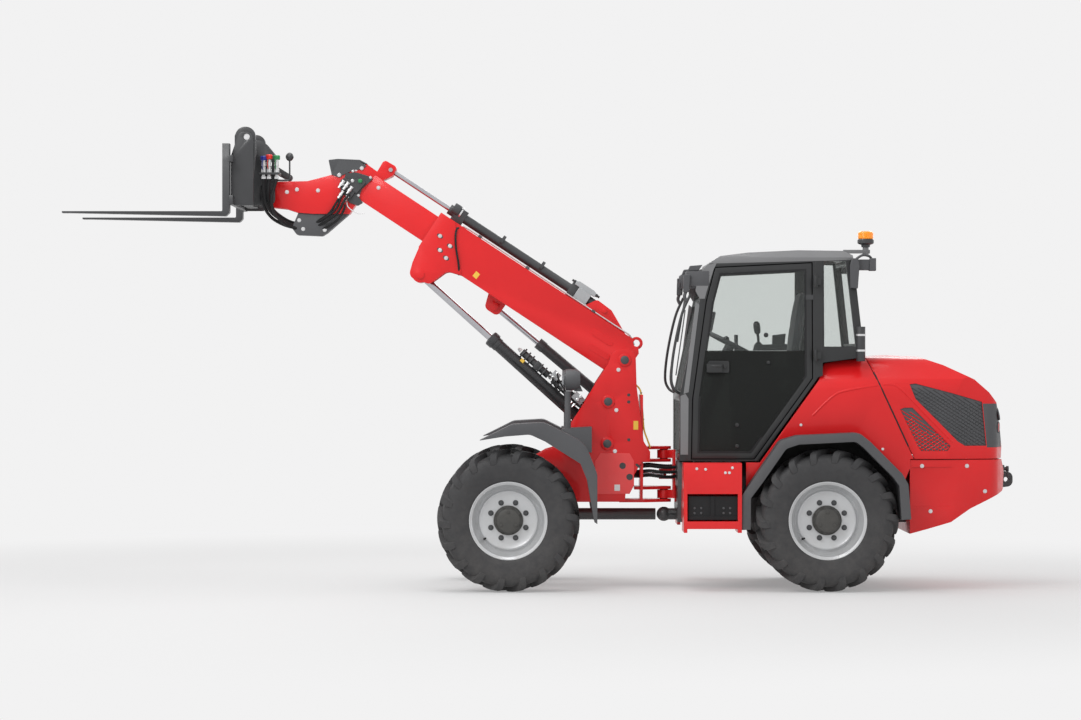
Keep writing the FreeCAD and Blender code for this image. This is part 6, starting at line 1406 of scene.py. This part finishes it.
def pin_caps():
    rings = Maker("pin_rings")
    caps = []
    for x, z in TOWER_PINS:
        for side in (1, -1):
            rings.turned([(-0.002, 0.029), (-0.002, 0.046), (0.006, 0.046), (0.008, 0.042),
                          (0.008, 0.029)], (x, side * 0.2315, z), (0, side, 0), 32)
            caps.append(((x, side * 0.2435, z), (0, side, 0)))
    rings.finish("front_frame", RED)
    scatter("pin_end_caps", PIN_CAP, caps, "front_frame", GREY_STEEL)
    spots = both_sides("front_frame", [(-0.560, 1.560), (-0.545, 1.270), (-0.535, 0.975)])
    bolts("pin_lock_bolts", spots, "front_frame")


def tower_details():
    holes = Maker("tower_holes")
    for x, z, long, wide, turn in ((-0.634, 1.379, 0.011, 0.011, 0), (-0.634, 1.329, 0.011, 0.011, 0),
                                   (-0.634, 1.057, 0.011, 0.011, 0), (-0.700, 0.870, 0.020, 0.010, 40),
                                   (-0.698, 0.640, 0.014, 0.014, 0)):
        cos, sin = math.cos(math.radians(turn)), math.sin(math.radians(turn))
        outline = []
        for step in range(20):
            angle = 2 * math.pi * step / 20
            a = max(min(math.cos(angle) * long * 1.15, long), -long)
            b = math.sin(angle) * wide
            outline.append((x + a * cos - b * sin, z + a * sin + b * cos))
        lay_on(holes, "front_frame", outline, (x, z), 0.0012)
    holes.finish("front_frame", BLACK_STEEL)
    panel = Maker("lower_frame_panels")
    panel.pair([(-0.392, 0.668), (-0.392, 0.900), (-0.430, 0.960), (-0.640, 0.960),
                (-0.672, 0.905), (-0.672, 0.730), (-0.640, 0.668)], TOWER_HALF, 0.2345)
    panel.finish("front_frame", PALE_RED, 0.0015)
    skin = touch("front_frame", -0.690, 1.161)
    yellow = Maker("blank_tower_plate")
    yellow.plate(rect(-0.668, 1.130, -0.702, 1.192), skin, skin + BLANK_THICK)
    yellow.finish("front_frame", YELLOW)
    white = Maker("blank_rating_plate")
    white.plate(rect(-0.531, 0.690, -0.571, 0.735), 0.2340, 0.2360)
    white.finish("front_frame", WHITE_PLATE)
    cable = Maker("tower_cable")
    cable.tube([(-0.688, 0.190, 1.450), (-0.722, 0.196, 1.400), (-0.735, 0.200, 1.250),
                (-0.745, 0.196, 1.130), (-0.772, 0.190, 1.050), (-0.790, 0.180, 1.000)], 0.006, 10, 5)
    cable.finish("front_frame", YELLOW)
    slots = Maker("lower_frame_slots")
    turns = [math.radians(degrees) for degrees in range(0, 360, 24)]
    for x, z in ((-0.590, 0.870), (-0.640, 0.790)):
        slots.pair([(x + 0.022 * math.cos(a) - 0.008 * math.sin(a), z + 0.022 * math.sin(a)
                     + 0.008 * math.cos(a)) for a in turns], 0.2335, 0.2355)
    slots.finish("front_frame", BLACK_STEEL)
    ties = Maker("cable_ties")
    for x, z in ((-0.724, 1.390), (-0.739, 1.200)):
        ties.turned(band(0.005, 0.0085, 0.006), (x, 0.196, z), (0.05, 0, 1), 14)
    ties.finish("front_frame", PLASTIC)


pin_caps()
tower_details()
print("tower at", round(touch("front_frame", -0.6, 1.4), 4))

# %% [markdown]
# ### Head lamps
# A round glass front stands before a bright reflector in a deep moulded cup. All of it is
# turned on one axis, so the cup, the rim, the reflector and the glass share a centre.

# %% Cups, rims, reflectors and glasses
LAMP_SIDE = 0.515


def head_lamp_faces():
    low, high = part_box("head_lamps")
    glass = Maker("head_lamp_glasses")
    bezel = Maker("head_lamp_bezels")
    reflector = Maker("head_lamp_reflectors")
    middle = 0.5 * (low[2] + high[2])
    for side in (1, -1):
        centre = (high[0] - 0.004, side * LAMP_SIDE, middle)
        bezel.turned([(0, 0.052), (0, 0.066), (0.004, 0.068), (0.014, 0.066), (0.014, 0.056),
                      (0.006, 0.052)], centre, (1, 0, 0), 36)
        reflector.turned([(-0.001, 0), (-0.001, 0.053), (0.006, 0.053), (0.0045, 0.030), (0.0035, 0)],
                         centre, (1, 0, 0), 36)
        glass.turned([(0.006, 0), (0.006, 0.0545), (0.009, 0.0545), (0.015, 0.040), (0.018, 0.020),
                      (0.019, 0)], centre, (1, 0, 0), 36)
    bezel.finish("front_frame", PLASTIC)
    reflector.finish("front_frame", ZINC)
    glass.finish("front_frame", LAMP_GLASS)
    shells = Maker("head_lamp_shells")
    for side in (1, -1):
        shells.turned([(0.0, 0.069), (0.0, 0.0735), (-0.030, 0.076), (-0.075, 0.074), (-0.105, 0.060),
                       (-0.105, 0.052)], (high[0] - 0.006, side * LAMP_SIDE, middle), (1, 0, 0), 36)
        shells.turned([(-0.1045, 0), (-0.1045, 0.053), (-0.098, 0.053), (-0.098, 0)],
                      (high[0] - 0.006, side * LAMP_SIDE, middle), (1, 0, 0), 36)
        shells.plate([(-0.285, low[2]), (-0.300, low[2]), (-0.285, middle - 0.045),
                      (-0.235, middle - 0.045), (-0.240, low[2])],
                     side * LAMP_SIDE - 0.02, side * LAMP_SIDE + 0.02)
    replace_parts(shells.finish("front_frame", PLASTIC), "head_lamps")


head_lamp_faces()
print("lamps at", LAMP_SIDE, "m from the middle")

# %% [markdown]
# ## Lines through the articulation
# Between the two frames the machine bends, so its lines are corrugated conduits with slack.
# They leave the front frame, bow outwards a little and enter the knuckle. Each is a plain
# piece on no body, so it stays where it is drawn when the machine steers.

# %% Conduits between the frames
CONDUITS = [(0.120, 0.862), (0.134, 0.828), (0.110, 0.794), (-0.080, 0.868)]


def conduits():
    for number, (side, z) in enumerate(CONDUITS, 1):
        turn = 1 if side > 0 else -1
        line = [(-0.735, side, z), (-0.790, side + turn * 0.006, z + 0.004),
                (-0.860, side + turn * 0.010, z - 0.004), (-0.925, side * 0.92, z - 0.008),
                (-0.985, side * 0.72, z - 0.004), (-1.035, side * 0.55, z)]
        conduit = Maker("conduit_%d" % number)
        smooth = soft_line(line, 9)
        conduit.tube(smooth, 0.0125, 12, 1)
        for vertex in conduit.mesh.verts:
            nearest = min(range(len(smooth)), key=lambda step: (smooth[step] - vertex.co).length)
            if nearest % 2:
                vertex.co = smooth[nearest] + (vertex.co - smooth[nearest]) * 0.84
        piece = conduit.finish(None, HOSE)
        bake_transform(piece)


conduits()
print("conduits", len(CONDUITS))

# %% [markdown]
# ## Steps and side boxes
# Under each door is a red box with steps. Its lower bay has a black checker insert held by
# eight bolts, and the red panel above it is bolted to the chassis.

# %% Side boxes
BAY_FACE = 0.752
BAY_EDGE = (0.750, 0.760)
STEP_BOLTS = [(-1.098, 0.866), (-1.160, 0.862), (-1.299, 0.838), (-1.327, 0.838), (-1.348, 0.873)]
BAY_BOLTS = [(-1.084, 0.588), (-1.130, 0.588), (-1.084, 0.553), (-1.130, 0.553),
             (-1.288, 0.588), (-1.334, 0.588), (-1.288, 0.553), (-1.334, 0.553)]


def side_boxes():
    bolts("side_box_bolts", both_sides("side_steps", STEP_BOLTS), "rear_frame", SMALL_BOLT)
    bay = Maker("step_bay_insert")
    bay.pair(rect(-1.040, 0.505, -1.388, 0.672), 0.742, BAY_FACE)
    bay.pair(rect(-1.040, 0.505, -1.388, 0.530), *BAY_EDGE)
    bay.pair(rect(-1.195, 0.530, -1.225, 0.672), *BAY_EDGE)
    marks = [((x, side * BAY_FACE, z), (0, side, 0)) for side in (1, -1) for x, z in BAY_BOLTS]
    bay.finish("rear_frame", HOSE, 0.0015, slot="black_steel")
    scatter("bay_bolts", ROUND_HEAD, marks, "rear_frame", GREY_STEEL)


side_boxes()
print("side box skin", touch("side_steps", -1.2, 0.8), touch("side_steps", -1.2, 0.58))

# %% [markdown]
# ## Door seals and hardware
# A door closes on a rubber seal, so no light passes its gap. The seal is a strip that
# follows the doorway behind the door's edge. The latch, the glass clamps and the strap
# hinges are the small dark parts that catch the light on the pane.

# %% Seals, latch and clamps
DOOR_LINE = [(-1.063, 0.925), (-1.072, 1.354), (-1.171, 2.048), (-1.235, 2.290), (-1.930, 2.325),
             (-1.930, 1.500), (-1.515, 0.925)]


def cab_side(z):
    """Half width of the cab at a height: upright to the belt, then leaning in."""
    return 0.610 if z < 1.408 else 0.610 - 0.0579 * (z - 1.408)


def shifted(line, distance):
    """The closed line moved outwards by a distance, square to its sides."""
    centre = sum((Vector(point) for point in line), Vector((0, 0))) / len(line)
    count = len(line)
    moved = []
    for index in range(count):
        before, here, after = (Vector(line[index - 1]), Vector(line[index]),
                               Vector(line[(index + 1) % count]))
        first = (here - before).normalized()
        second = (after - here).normalized()
        normal = (Vector((first.y, -first.x)) + Vector((second.y, -second.x))).normalized()
        if normal.dot(here - centre) < 0:
            normal = -normal
        stretch = max(abs(normal.dot(Vector((first.y, -first.x)))), 0.5)
        moved.append(tuple(here + normal * distance / stretch))
    return moved


def leaning_ring(maker, outer, inner, deep, shallow):
    """A frame between two lines, its faces a fixed depth behind the cab's leaning left side."""
    rings = [maker.corners([(x, cab_side(z) - depth, z) for x, z in line])
             for line, depth in ((outer, shallow), (inner, shallow), (inner, deep), (outer, deep))]
    for here, there in zip(rings, rings[1:] + rings[:1]):
        maker.bridge(here, there)


def door_seals():
    seal = Maker("door_seal")
    leaning_ring(seal, shifted(DOOR_LINE, 0.010), shifted(DOOR_LINE, -0.018), 0.052, 0.0405)
    seal.finish("rear_frame", HOSE)
    print_edge = Maker("pane_edge_print")
    leaning_ring(print_edge, shifted(DOOR_LINE, -0.046), shifted(DOOR_LINE, -0.060), 0.001, -0.0012)
    print_edge.finish("cab_door", HOSE)


def door_hardware():
    half = cab_side(1.55)
    latch = Maker("door_latch")
    latch.plate([(-1.186, 1.540), (-1.330, 1.540), (-1.336, 1.552), (-1.336, 1.612), (-1.328, 1.624),
                 (-1.196, 1.624), (-1.184, 1.612)], half - 0.002, half + 0.010)
    latch.turned([(0, 0), (0, 0.013), (0.006, 0.013), (0.008, 0.010), (0.008, 0)],
                 (-1.305, half + 0.010, 1.583), (0, 1, 0), 20)
    latch.tube([(-1.205, 0.622, 1.585), (-1.212, 0.630, 1.585), (-1.275, 0.632, 1.585),
                (-1.284, 0.622, 1.585)], 0.008, 10, 3)
    latch.finish("cab_door", CAB_GREY, 0.002)
    clamps = Maker("pane_clamps")
    for x, z, radius in ((-1.597, 1.807, 0.017), (-1.614, 1.612, 0.013), (-1.391, 1.170, 0.014),
                         (-1.391, 1.021, 0.014)):
        clamps.turned([(-0.001, 0), (-0.001, radius), (0.004, radius), (0.007, radius * 0.7),
                       (0.007, 0)], (x, cab_side(z), z), (0, 1, 0), 20)
    clamps.finish("cab_door", CAB_GREY)
    hinges = Maker("hinge_straps")
    for z in (1.205, 2.075):
        half = cab_side(z)
        hinges.plate(rect(-1.880, z - 0.018, -1.934, z + 0.018), half + 0.0003, half + 0.005)
    hinges.finish("cab_door", BLACK_STEEL, 0.001)


door_seals()
door_hardware()
print("door line", len(DOOR_LINE), "corners")

# %% [markdown]
# ## Cab trim
# A lighter grey line runs down the front pillar, as thin covers clipped over the posts. The
# cab's sides lean in above the belt, so each cover is drawn flat and then leaned with them.

# %% Pillar covers


def leaning_pair(maker, line, proud):
    """A closed outline as a thin sheet on the cab's two leaning sides."""
    for side in (1, -1):
        low, high = [maker.corners([(x, side * (cab_side(z) + depth), z) for x, z in line])
                     for depth in (-0.0002, proud)]
        maker.mesh.faces.new(low[::-1])
        maker.mesh.faces.new(high)
        maker.bridge(low, high)


PILLAR_COVER = [(-1.118, 2.232), (-1.176, 2.300), (-1.250, 2.318), (-1.226, 2.268), (-1.176, 2.110),
                (-1.165, 2.064), (-1.128, 2.064), (-1.098, 2.120)]
FRONT_PANEL = [(-0.990, 1.375), (-1.026, 1.390), (-1.048, 1.355), (-1.044, 0.960), (-0.990, 0.960)]
BELT_COVER = [(-1.012, 1.390), (-1.048, 1.402), (-1.126, 2.020), (-1.100, 2.040)]


def cab_covers():
    covers = Maker("pillar_covers")
    for line in (PILLAR_COVER, FRONT_PANEL, BELT_COVER):
        leaning_pair(covers, line, 0.003)
    covers.finish("rear_frame", PILLAR_GREY, 0.001)
    rear_post = Maker("rear_post_covers")
    leaning_pair(rear_post, [(-1.945, 1.500), (-1.998, 1.520), (-1.998, 2.330), (-1.945, 2.326)], 0.002)
    rear_post.finish("rear_frame", CAB_GREY, 0.001)


cab_covers()
print("pillar cover", len(PILLAR_COVER), "corners")

# %% [markdown]
# ### In front of the windscreen
# Rails, mirror arms and the wiper are bent round bar, so each is a tube along a few points.
# The lamps beside the roof sit in moulded brackets, with a thin rim round each glass.

# %% Rails, wiper, lamp rims and brackets


def windscreen_things():
    arms = Maker("mirror_and_hand_rails")
    for side in (1, -1):
        arms.tube([(-0.992, side * 0.560, 1.390), (-0.950, side * 0.590, 1.420),
                   (-0.925, side * 0.600, 1.500), (-0.945, side * 0.595, 1.700),
                   (-1.000, side * 0.585, 1.950), (-1.060, side * 0.575, 2.090)], 0.010, 12, 5)
    arms.tube([(-0.992, 0.30, 1.395), (-0.950, 0.33, 1.420), (-0.930, 0.36, 1.520),
               (-0.965, 0.40, 1.760), (-1.035, 0.42, 2.060)], 0.008, 10, 5)
    arms.finish("rear_frame", BLACK_STEEL)
    wiper = Maker("wiper")
    wiper.tube([(-1.094, 0.02, 2.175), (-1.060, 0.04, 2.150), (-1.020, 0.16, 1.950),
                (-0.985, 0.22, 1.760)], 0.006, 8, 4)
    wiper.tube([(-1.042, 0.16, 1.990), (-1.022, 0.19, 1.850), (-0.990, 0.23, 1.640),
                (-0.972, 0.25, 1.520)], 0.0045, 8, 4)
    wiper.turned([(0, 0), (0, 0.022), (0.016, 0.020), (0.022, 0.012), (0.022, 0)],
                 (-1.098, 0.02, 2.172), (1, 0, 0.2), 20)
    wiper.finish("rear_frame", BLACK_STEEL)
    glass = Maker("roof_lamp_glasses")
    cups = Maker("roof_lamp_rims")
    for low_x, face, z, height in ((-1.037, 1, 2.208, 0.040), (-2.335, -1, 2.305, 0.030)):
        for side in (1, -1):
            glass.turned([(0.001, 0), (0.001, height), (0.006, height * 0.8), (0.008, 0)],
                         (low_x, side * 0.510, z), (face, 0, 0), 28)
            cups.turned([(-0.002, height), (-0.002, height * 1.16), (0.010, height * 1.16),
                         (0.012, height * 1.05), (0.004, height)], (low_x, side * 0.510, z),
                        (face, 0, 0), 28)
    glass.finish("rear_frame", LAMP_GLASS)
    cups.finish("rear_frame", PLASTIC)
    arm_boxes = Maker("front_lamp_brackets")
    for side in (1, -1):
        arm_boxes.plate([(-1.045, 2.262), (-1.120, 2.262), (-1.150, 2.305), (-1.060, 2.298)],
                        side * 0.52 - 0.03, side * 0.52 + 0.03)
        arm_boxes.plate([(-1.010, 2.110), (-1.052, 2.110), (-1.060, 2.235), (-1.014, 2.235)],
                        side * 0.575 - 0.028, side * 0.575 + 0.02)
        arm_boxes.tube([(-1.030, side * 0.575, 2.115), (-1.020, side * 0.58, 2.080),
                        (-1.034, side * 0.580, 2.045)], 0.012, 12, 4)
    arm_boxes.finish("rear_frame", PLASTIC, 0.004)


windscreen_things()
print("rails, wiper and lamp rims made")

# %% [markdown]
# ### Behind the cab
# The air intake has two bright bands, the rear pillar carries a lamp box with its lead, and
# the beacon is a ribbed amber cap that is turned on one axis above a black foot.

# %% Lamp box, intake bands and beacon


def rear_fittings():
    box = Maker("rear_pillar_box")
    box.plate([(-2.192, 2.140), (-2.246, 2.136), (-2.258, 2.300), (-2.246, 2.350), (-2.206, 2.350),
               (-2.192, 2.300)], 0.566, 0.612)
    box.plate([(-2.330, 2.262), (-2.378, 2.262), (-2.378, 2.352), (-2.336, 2.352)], 0.500, 0.580)
    box.tube([(-2.235, 0.590, 2.345), (-2.280, 0.588, 2.372), (-2.330, 0.560, 2.366),
              (-2.350, 0.540, 2.345)], 0.009, 12, 4)
    box.finish("rear_frame", PLASTIC, 0.004)
    stack = Maker("stack_bands")
    low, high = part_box("intake_stack")
    for z in (1.690, 1.800):
        stack.turned(band(0.031, 0.0345, 0.014),
                     (0.5 * (low[0] + high[0]), 0.5 * (low[1] + high[1]), z), (0, 0, 1), 28)
    stack.finish("rear_frame", ZINC)
    base = Maker("beacon_base")
    centre = (-2.320, 0.400, 2.4351)
    base.turned([(0, 0), (0, 0.030), (0.016, 0.032), (0.022, 0.050), (0.028, 0.0585), (0.050, 0.0585),
                 (0.056, 0.054), (0.060, 0.050), (0.060, 0)], centre, (0, 0, 1), 36)
    base.finish("rear_frame", BLACK_STEEL)
    lens = Maker("beacon_lens")
    profile = [(0.060, 0), (0.060, 0.054)]
    for step in range(8):
        height = 0.062 + 0.0055 * step
        profile += [(height, 0.0555), (height + 0.003, 0.0540)]
    profile += [(0.108, 0.050), (0.113, 0.038), (0.1145, 0.0)]
    lens.turned(profile, centre, (0, 0, 1), 36)
    lens_piece = lens.finish("rear_frame", AMBER)
    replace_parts(lens_piece, "beacon")


rear_fittings()
print("cab trimmed")

# %% [markdown]
# ## Inside the cab
# Through the glass one sees the driver's desk: the steering wheel with its knob, the
# joystick on the armrest, a small screen on the pillar and the control box behind it.

# %% Driver's controls


def controls():
    desk = Maker("armrest_controls")
    desk.plate([(-1.560, 1.700), (-1.800, 1.700), (-1.812, 1.712), (-1.806, 1.748), (-1.570, 1.742)],
               -0.345, -0.255)
    desk.plate([(-1.700, 1.745), (-1.790, 1.745), (-1.798, 1.824), (-1.702, 1.812)], -0.335, -0.262)
    desk.finish("rear_frame", PLASTIC, 0.004)
    stick = Maker("joystick")
    stick.tube([(-1.600, -0.300, 1.740), (-1.598, -0.300, 1.790), (-1.590, -0.300, 1.840)], 0.010, 12, 3)
    stick.turned([(0, 0), (0, 0.013), (0.010, 0.022), (0.045, 0.026), (0.080, 0.024), (0.094, 0.012),
                  (0.096, 0)], (-1.594, -0.300, 1.820), (0.12, 0, 1), 20)
    stick.turned([(0, 0), (0, 0.030), (0.004, 0.032), (0.020, 0.018), (0.026, 0.010), (0.026, 0)],
                 (-1.600, -0.300, 1.738), (0, 0, 1), 20)
    stick.finish("rear_frame", BLACK_STEEL)
    screen = Maker("pillar_screen")
    screen.plate([(-1.240, 1.860), (-1.262, 1.860), (-1.286, 1.985), (-1.264, 1.985)], -0.470, -0.330)
    screen.plate([(-1.263, 1.869), (-1.267, 1.869), (-1.289, 1.976), (-1.285, 1.976)], -0.460, -0.340)
    screen.tube([(-1.262, -0.400, 1.870), (-1.235, -0.440, 1.800), (-1.190, -0.500, 1.760)],
                0.010, 10, 3)
    screen.finish("rear_frame", PLASTIC, 0.003)
    knob = Maker("steering_knob")
    knob.turned([(0, 0), (0, 0.012), (0.020, 0.012), (0.026, 0.022), (0.046, 0.024), (0.060, 0.014),
                 (0.062, 0)], (-1.350, 0.165, 1.742), (0.35, 0, 1), 20)
    knob.finish("rear_frame", BLACK_STEEL)


controls()
print("controls in the cab")

# %% [markdown]
# ## Bonnet grilles and the rear end
# The side windows of the bonnet are pressed mesh: a lattice of thin crossed bars in front
# of a dark plate. The bars follow a rule, so Geometry Nodes draw them: parallel lines cut
# to the window's outline, each swept with a small square section.

# %% Windows, clipping and the tree that makes bars


def clip(line, outline):
    """The part of a straight line inside a convex-enough outline, as pairs of end points."""
    (x0, z0), (x1, z1) = line
    shares = []
    count = len(outline)
    for index in range(count):
        (ax, az), (bx, bz) = outline[index], outline[(index + 1) % count]
        cross = (x1 - x0) * (bz - az) - (z1 - z0) * (bx - ax)
        if abs(cross) < 1e-12:
            continue
        t = ((ax - x0) * (bz - az) - (az - z0) * (bx - ax)) / cross
        u = ((ax - x0) * (z1 - z0) - (az - z0) * (x1 - x0)) / cross
        if 0 <= u < 1:
            shares.append(t)
    shares.sort()
    spans = []
    for start, end in zip(shares[0::2], shares[1::2]):
        spans.append(((x0 + (x1 - x0) * start, z0 + (z1 - z0) * start),
                      (x0 + (x1 - x0) * end, z0 + (z1 - z0) * end)))
    return spans


def tree_wires():
    """Edges of the base mesh become thin bars of a given half width."""
    tree, start, end = new_tree("wires_along_edges", [("Half width", "Float"), ("Material", "Material")])
    curve = add_node(tree, "GeometryNodeMeshToCurve", {"Mesh": start["Geometry"]})
    section = add_node(tree, "GeometryNodeCurvePrimitiveCircle", {
        "Resolution": 4, "Radius": start["Half width"]})
    sweep = add_node(tree, "GeometryNodeCurveToMesh", {
        "Curve": curve.outputs["Curve"], "Profile Curve": section.outputs["Curve"], "Fill Caps": True})
    return end_tree(tree, start, end, sweep.outputs["Mesh"])


WIRES_ALONG_EDGES = tree_wires()
AIR_WINDOW = [(-2.611, 1.462), (-2.652, 1.468), (-2.911, 1.400), (-3.129, 1.338), (-3.160, 1.022),
              (-3.005, 1.022), (-2.953, 1.053), (-2.652, 1.359)]
MESH_WINDOW = [(-2.543, 1.286), (-2.574, 1.297), (-2.631, 1.297), (-2.901, 1.022), (-2.880, 0.986),
               (-2.693, 0.986), (-2.673, 1.012)]


print("windows with", len(AIR_WINDOW), "and", len(MESH_WINDOW), "corners")

# %% [markdown]
# ### Laying the bars
# The lines of both slopes are clipped to the window and cut into short runs, and every run
# is laid on the grille plate's own surface, because that plate is slightly curved.

# %% Two crossed sets of bars for each window
LATTICE_PITCH = 0.022
LATTICE_SLOPES = (math.radians(32), math.radians(-32))
LATTICE_SHARE = 0.985
BAR_STEP = 0.05
BAR_PROUD = 0.0012


def lesser(outline):
    """The outline drawn in a little, so that the bars end on the window's frame."""
    middle = Vector((sum(x for x, z in outline), sum(z for x, z in outline))) / len(outline)
    return [tuple(middle + (Vector(corner) - middle) * LATTICE_SHARE) for corner in outline]


def lattice_lines(outline):
    """The lines of both slopes that lie inside the outline."""
    xs, zs = zip(*outline)
    reach = max(max(xs) - min(xs), max(zs) - min(zs)) * 1.5
    middle = Vector((0.5 * (min(xs) + max(xs)), 0.5 * (min(zs) + max(zs))))
    count = int(reach / LATTICE_PITCH)
    lines = []
    for slope in LATTICE_SLOPES:
        run = Vector((math.cos(slope), math.sin(slope)))
        across = Vector((-run.y, run.x))
        for step in range(-count, count + 1):
            centre = middle + across * (step * LATTICE_PITCH)
            lines += clip((tuple(centre - run * reach), tuple(centre + run * reach)), outline)
    return lines


def lattice(name, outline, half, material):
    """Crossed bars over an outline, laid just in front of the grille plate."""
    corners = []
    edges = []
    for start, end in lattice_lines(lesser(outline)):
        pieces = max(1, int((Vector(end) - Vector(start)).length / BAR_STEP))
        spots = [Vector(start).lerp(Vector(end), share / pieces) for share in range(pieces + 1)]
        for side in (1, -1):
            depths = [touch("bonnet_grilles", spot.x, spot.y, side) for spot in spots]
            row = [(spot.x, depth + side * BAR_PROUD, spot.y)
                   for spot, depth in zip(spots, depths) if depth is not None]
            first = len(corners)
            corners += row
            edges += [(first + k, first + k + 1) for k in range(len(row) - 1)]
    base = bpy.data.meshes.new(name + "_lines")
    base.from_pydata(corners, edges, [])
    data = grow(name, WIRES_ALONG_EDGES, {"Half width": half, "Material": material}, base)
    return settle(data, name, "bonnet", material)


upper = lattice("upper_lattice", AIR_WINDOW, 0.0022, BLACK_STEEL)
lower = lattice("lower_lattice", MESH_WINDOW, 0.0032, RED)
print("lattice faces", len(upper.data.polygons), len(lower.data.polygons))

# %% [markdown]
# ### The machine's back
# Two round red lamps sit on each corner and follow its slope, so each is turned about the
# skin's own normal, found by a line from behind. Flat walls close the wheel houses, and the
# tow hitch carries three couplings for a trailer's lines.

# %% Rear lamps, wheel-house walls, bolts and tow couplings


def rear_end():
    lamps = Maker("rear_lamp_lenses")
    rims = Maker("rear_lamp_rims")
    for side in (1, -1):
        for z, radius in ((1.245, 0.040), (1.150, 0.036)):
            spot, normal = faces_of("rear_lamp_corners").ray_cast(
                Vector((-4.0, side * 0.45, z)), Vector((1, 0, 0)))[:2]
            if spot is None:
                continue
            if normal.x > 0:
                normal = -normal
            lamps.turned([(-0.004, 0), (-0.004, radius), (0.004, radius), (0.008, radius * 0.6),
                          (0.009, 0)], spot, normal, 32)
            rims.turned([(-0.004, radius), (-0.004, radius * 1.14), (0.006, radius * 1.12),
                         (0.006, radius)], spot, normal, 32)
    lamps.finish("bonnet", RED_LENS)
    rims.finish("bonnet", PLASTIC)
    walls = Maker("wheel_house_walls")
    walls.pair([(-1.470, 0.640), (-1.470, 0.900), (-1.620, 1.060), (-1.840, 1.130), (-2.200, 1.130),
                (-2.400, 1.060), (-2.560, 0.880), (-2.610, 0.760), (-2.610, 0.560),
                (-2.300, 0.700), (-1.760, 0.700)], 0.470, 0.476)
    walls.finish("rear_frame", HOSE)
    weights = [(-2.700, 0.880), (-3.020, 0.880), (-2.760, 0.560), (-3.150, 0.700)]
    bolts("weight_bolts", both_sides("counterweight", weights), "rear_frame")
    bolts("body_bolts", both_sides("rear_body", [(-1.842, 1.171), (-2.420, 1.000)]), "rear_frame",
          SMALL_BOLT)
    tow = Maker("trailer_couplings")
    for y, z in ((0.115, 0.845), (-0.115, 0.845), (0.150, 0.800)):
        tow.turned([(0, 0), (0, 0.020), (0.030, 0.020), (0.032, 0.014), (0.060, 0.014), (0.062, 0.021),
                    (0.078, 0.021), (0.080, 0)], (-3.300, y, z), (-1, 0, 0), 20)
    tow.finish("rear_frame", BLACK_STEEL)


rear_end()
print("rear end done")

# %% [markdown]
# ## Tyre valves
# Each rim has a rubber valve with a plated cap between the nuts and the band.

# %% Valves
VALVE_CIRCLE = 0.214


def tyre_valves():
    for tag, (axle_x, axle_y) in WHEELS.items():
        outward = 1 if axle_y > 0 else -1
        angle = math.radians(-38)
        x = axle_x + VALVE_CIRCLE * math.cos(angle)
        z = TYRE_RADIUS + VALVE_CIRCLE * math.sin(angle)
        valve = Maker("tyre_valve_" + tag)
        valve.turned([(0, 0), (0, 0.009), (0.012, 0.008), (0.030, 0.0055), (0.032, 0.0065),
                      (0.046, 0.0065), (0.048, 0)], (x, axle_y + outward * 0.038, z),
                     (-0.25 * math.cos(angle), outward, -0.25 * math.sin(angle)), 14)
        valve.finish("wheel_" + tag, HOSE)


tyre_valves()
print("valves fitted")

# %% [markdown]
# ## Seam and pressed lines
# The body's sheet has a pressed line that climbs from the door and then runs level over
# the wheel arch. On the bonnet it turns down between the two windows. Each is a shallow
# bead, mostly sunk in the sheet. A black seal fills the gap in front of the bonnet.

# %% Seal and beads
BODY_BEAD = [(-1.925, 1.236), (-2.014, 1.326), (-2.106, 1.396), (-2.240, 1.428), (-2.385, 1.450)]
BONNET_BEAD = [(-2.425, 1.456), (-2.500, 1.452), (-2.565, 1.410), (-2.700, 1.272), (-2.915, 1.050)]
SEAM_HEIGHTS = [1.02 + 0.04 * step for step in range(14)]


def bead(piece, node, route, side, radius, sunk):
    """A round bar laid on the node's side wall and sunk so far that only its crown shows."""
    flat = soft_line([(x, 0.0, z) for x, z in route], 6)
    depths = [touch(node, spot.x, spot.z, side) for spot in flat]
    line = [(spot.x, depth - side * sunk, spot.z) for spot, depth in zip(flat, depths) if depth]
    if len(line) > 2:
        piece.tube(line, radius, 12, 1)


def seam_line(side):
    """Middle of the gap between body and bonnet, found by stepping back along the sheet."""
    line = []
    for z in SEAM_HEIGHTS:
        steps = [-2.25 - 0.001 * step for step in range(450)]
        edge = next((x for x in steps if touch("bonnet", x, z, side)), None)
        skin = edge and touch("rear_body", edge + 0.012, z, side)
        if skin:
            line.append((edge + 0.003, skin - side * 0.0055, z))
    return line


def pressed_lines():
    for node, body, route in (("rear_body", "rear_frame", BODY_BEAD),
                              ("bonnet", "bonnet", BONNET_BEAD)):
        piece = Maker(node + "_pressed_line")
        for side in (1, -1):
            bead(piece, node, route, side, 0.012, 0.0085)
        piece.finish(body, RED)
    seal = Maker("bonnet_seal")
    for side in (1, -1):
        seal.tube(seam_line(side), 0.008, 12, 1)
    seal.finish("rear_frame", HOSE)


pressed_lines()
print("seam found at", len(seam_line(1)), "heights")

# %% Finish
for thing in list(bpy.data.objects):
    if thing.name.startswith(("tread_bar_", "pattern_")) or thing.name == "wheel_nut":
        bpy.data.objects.remove(thing)
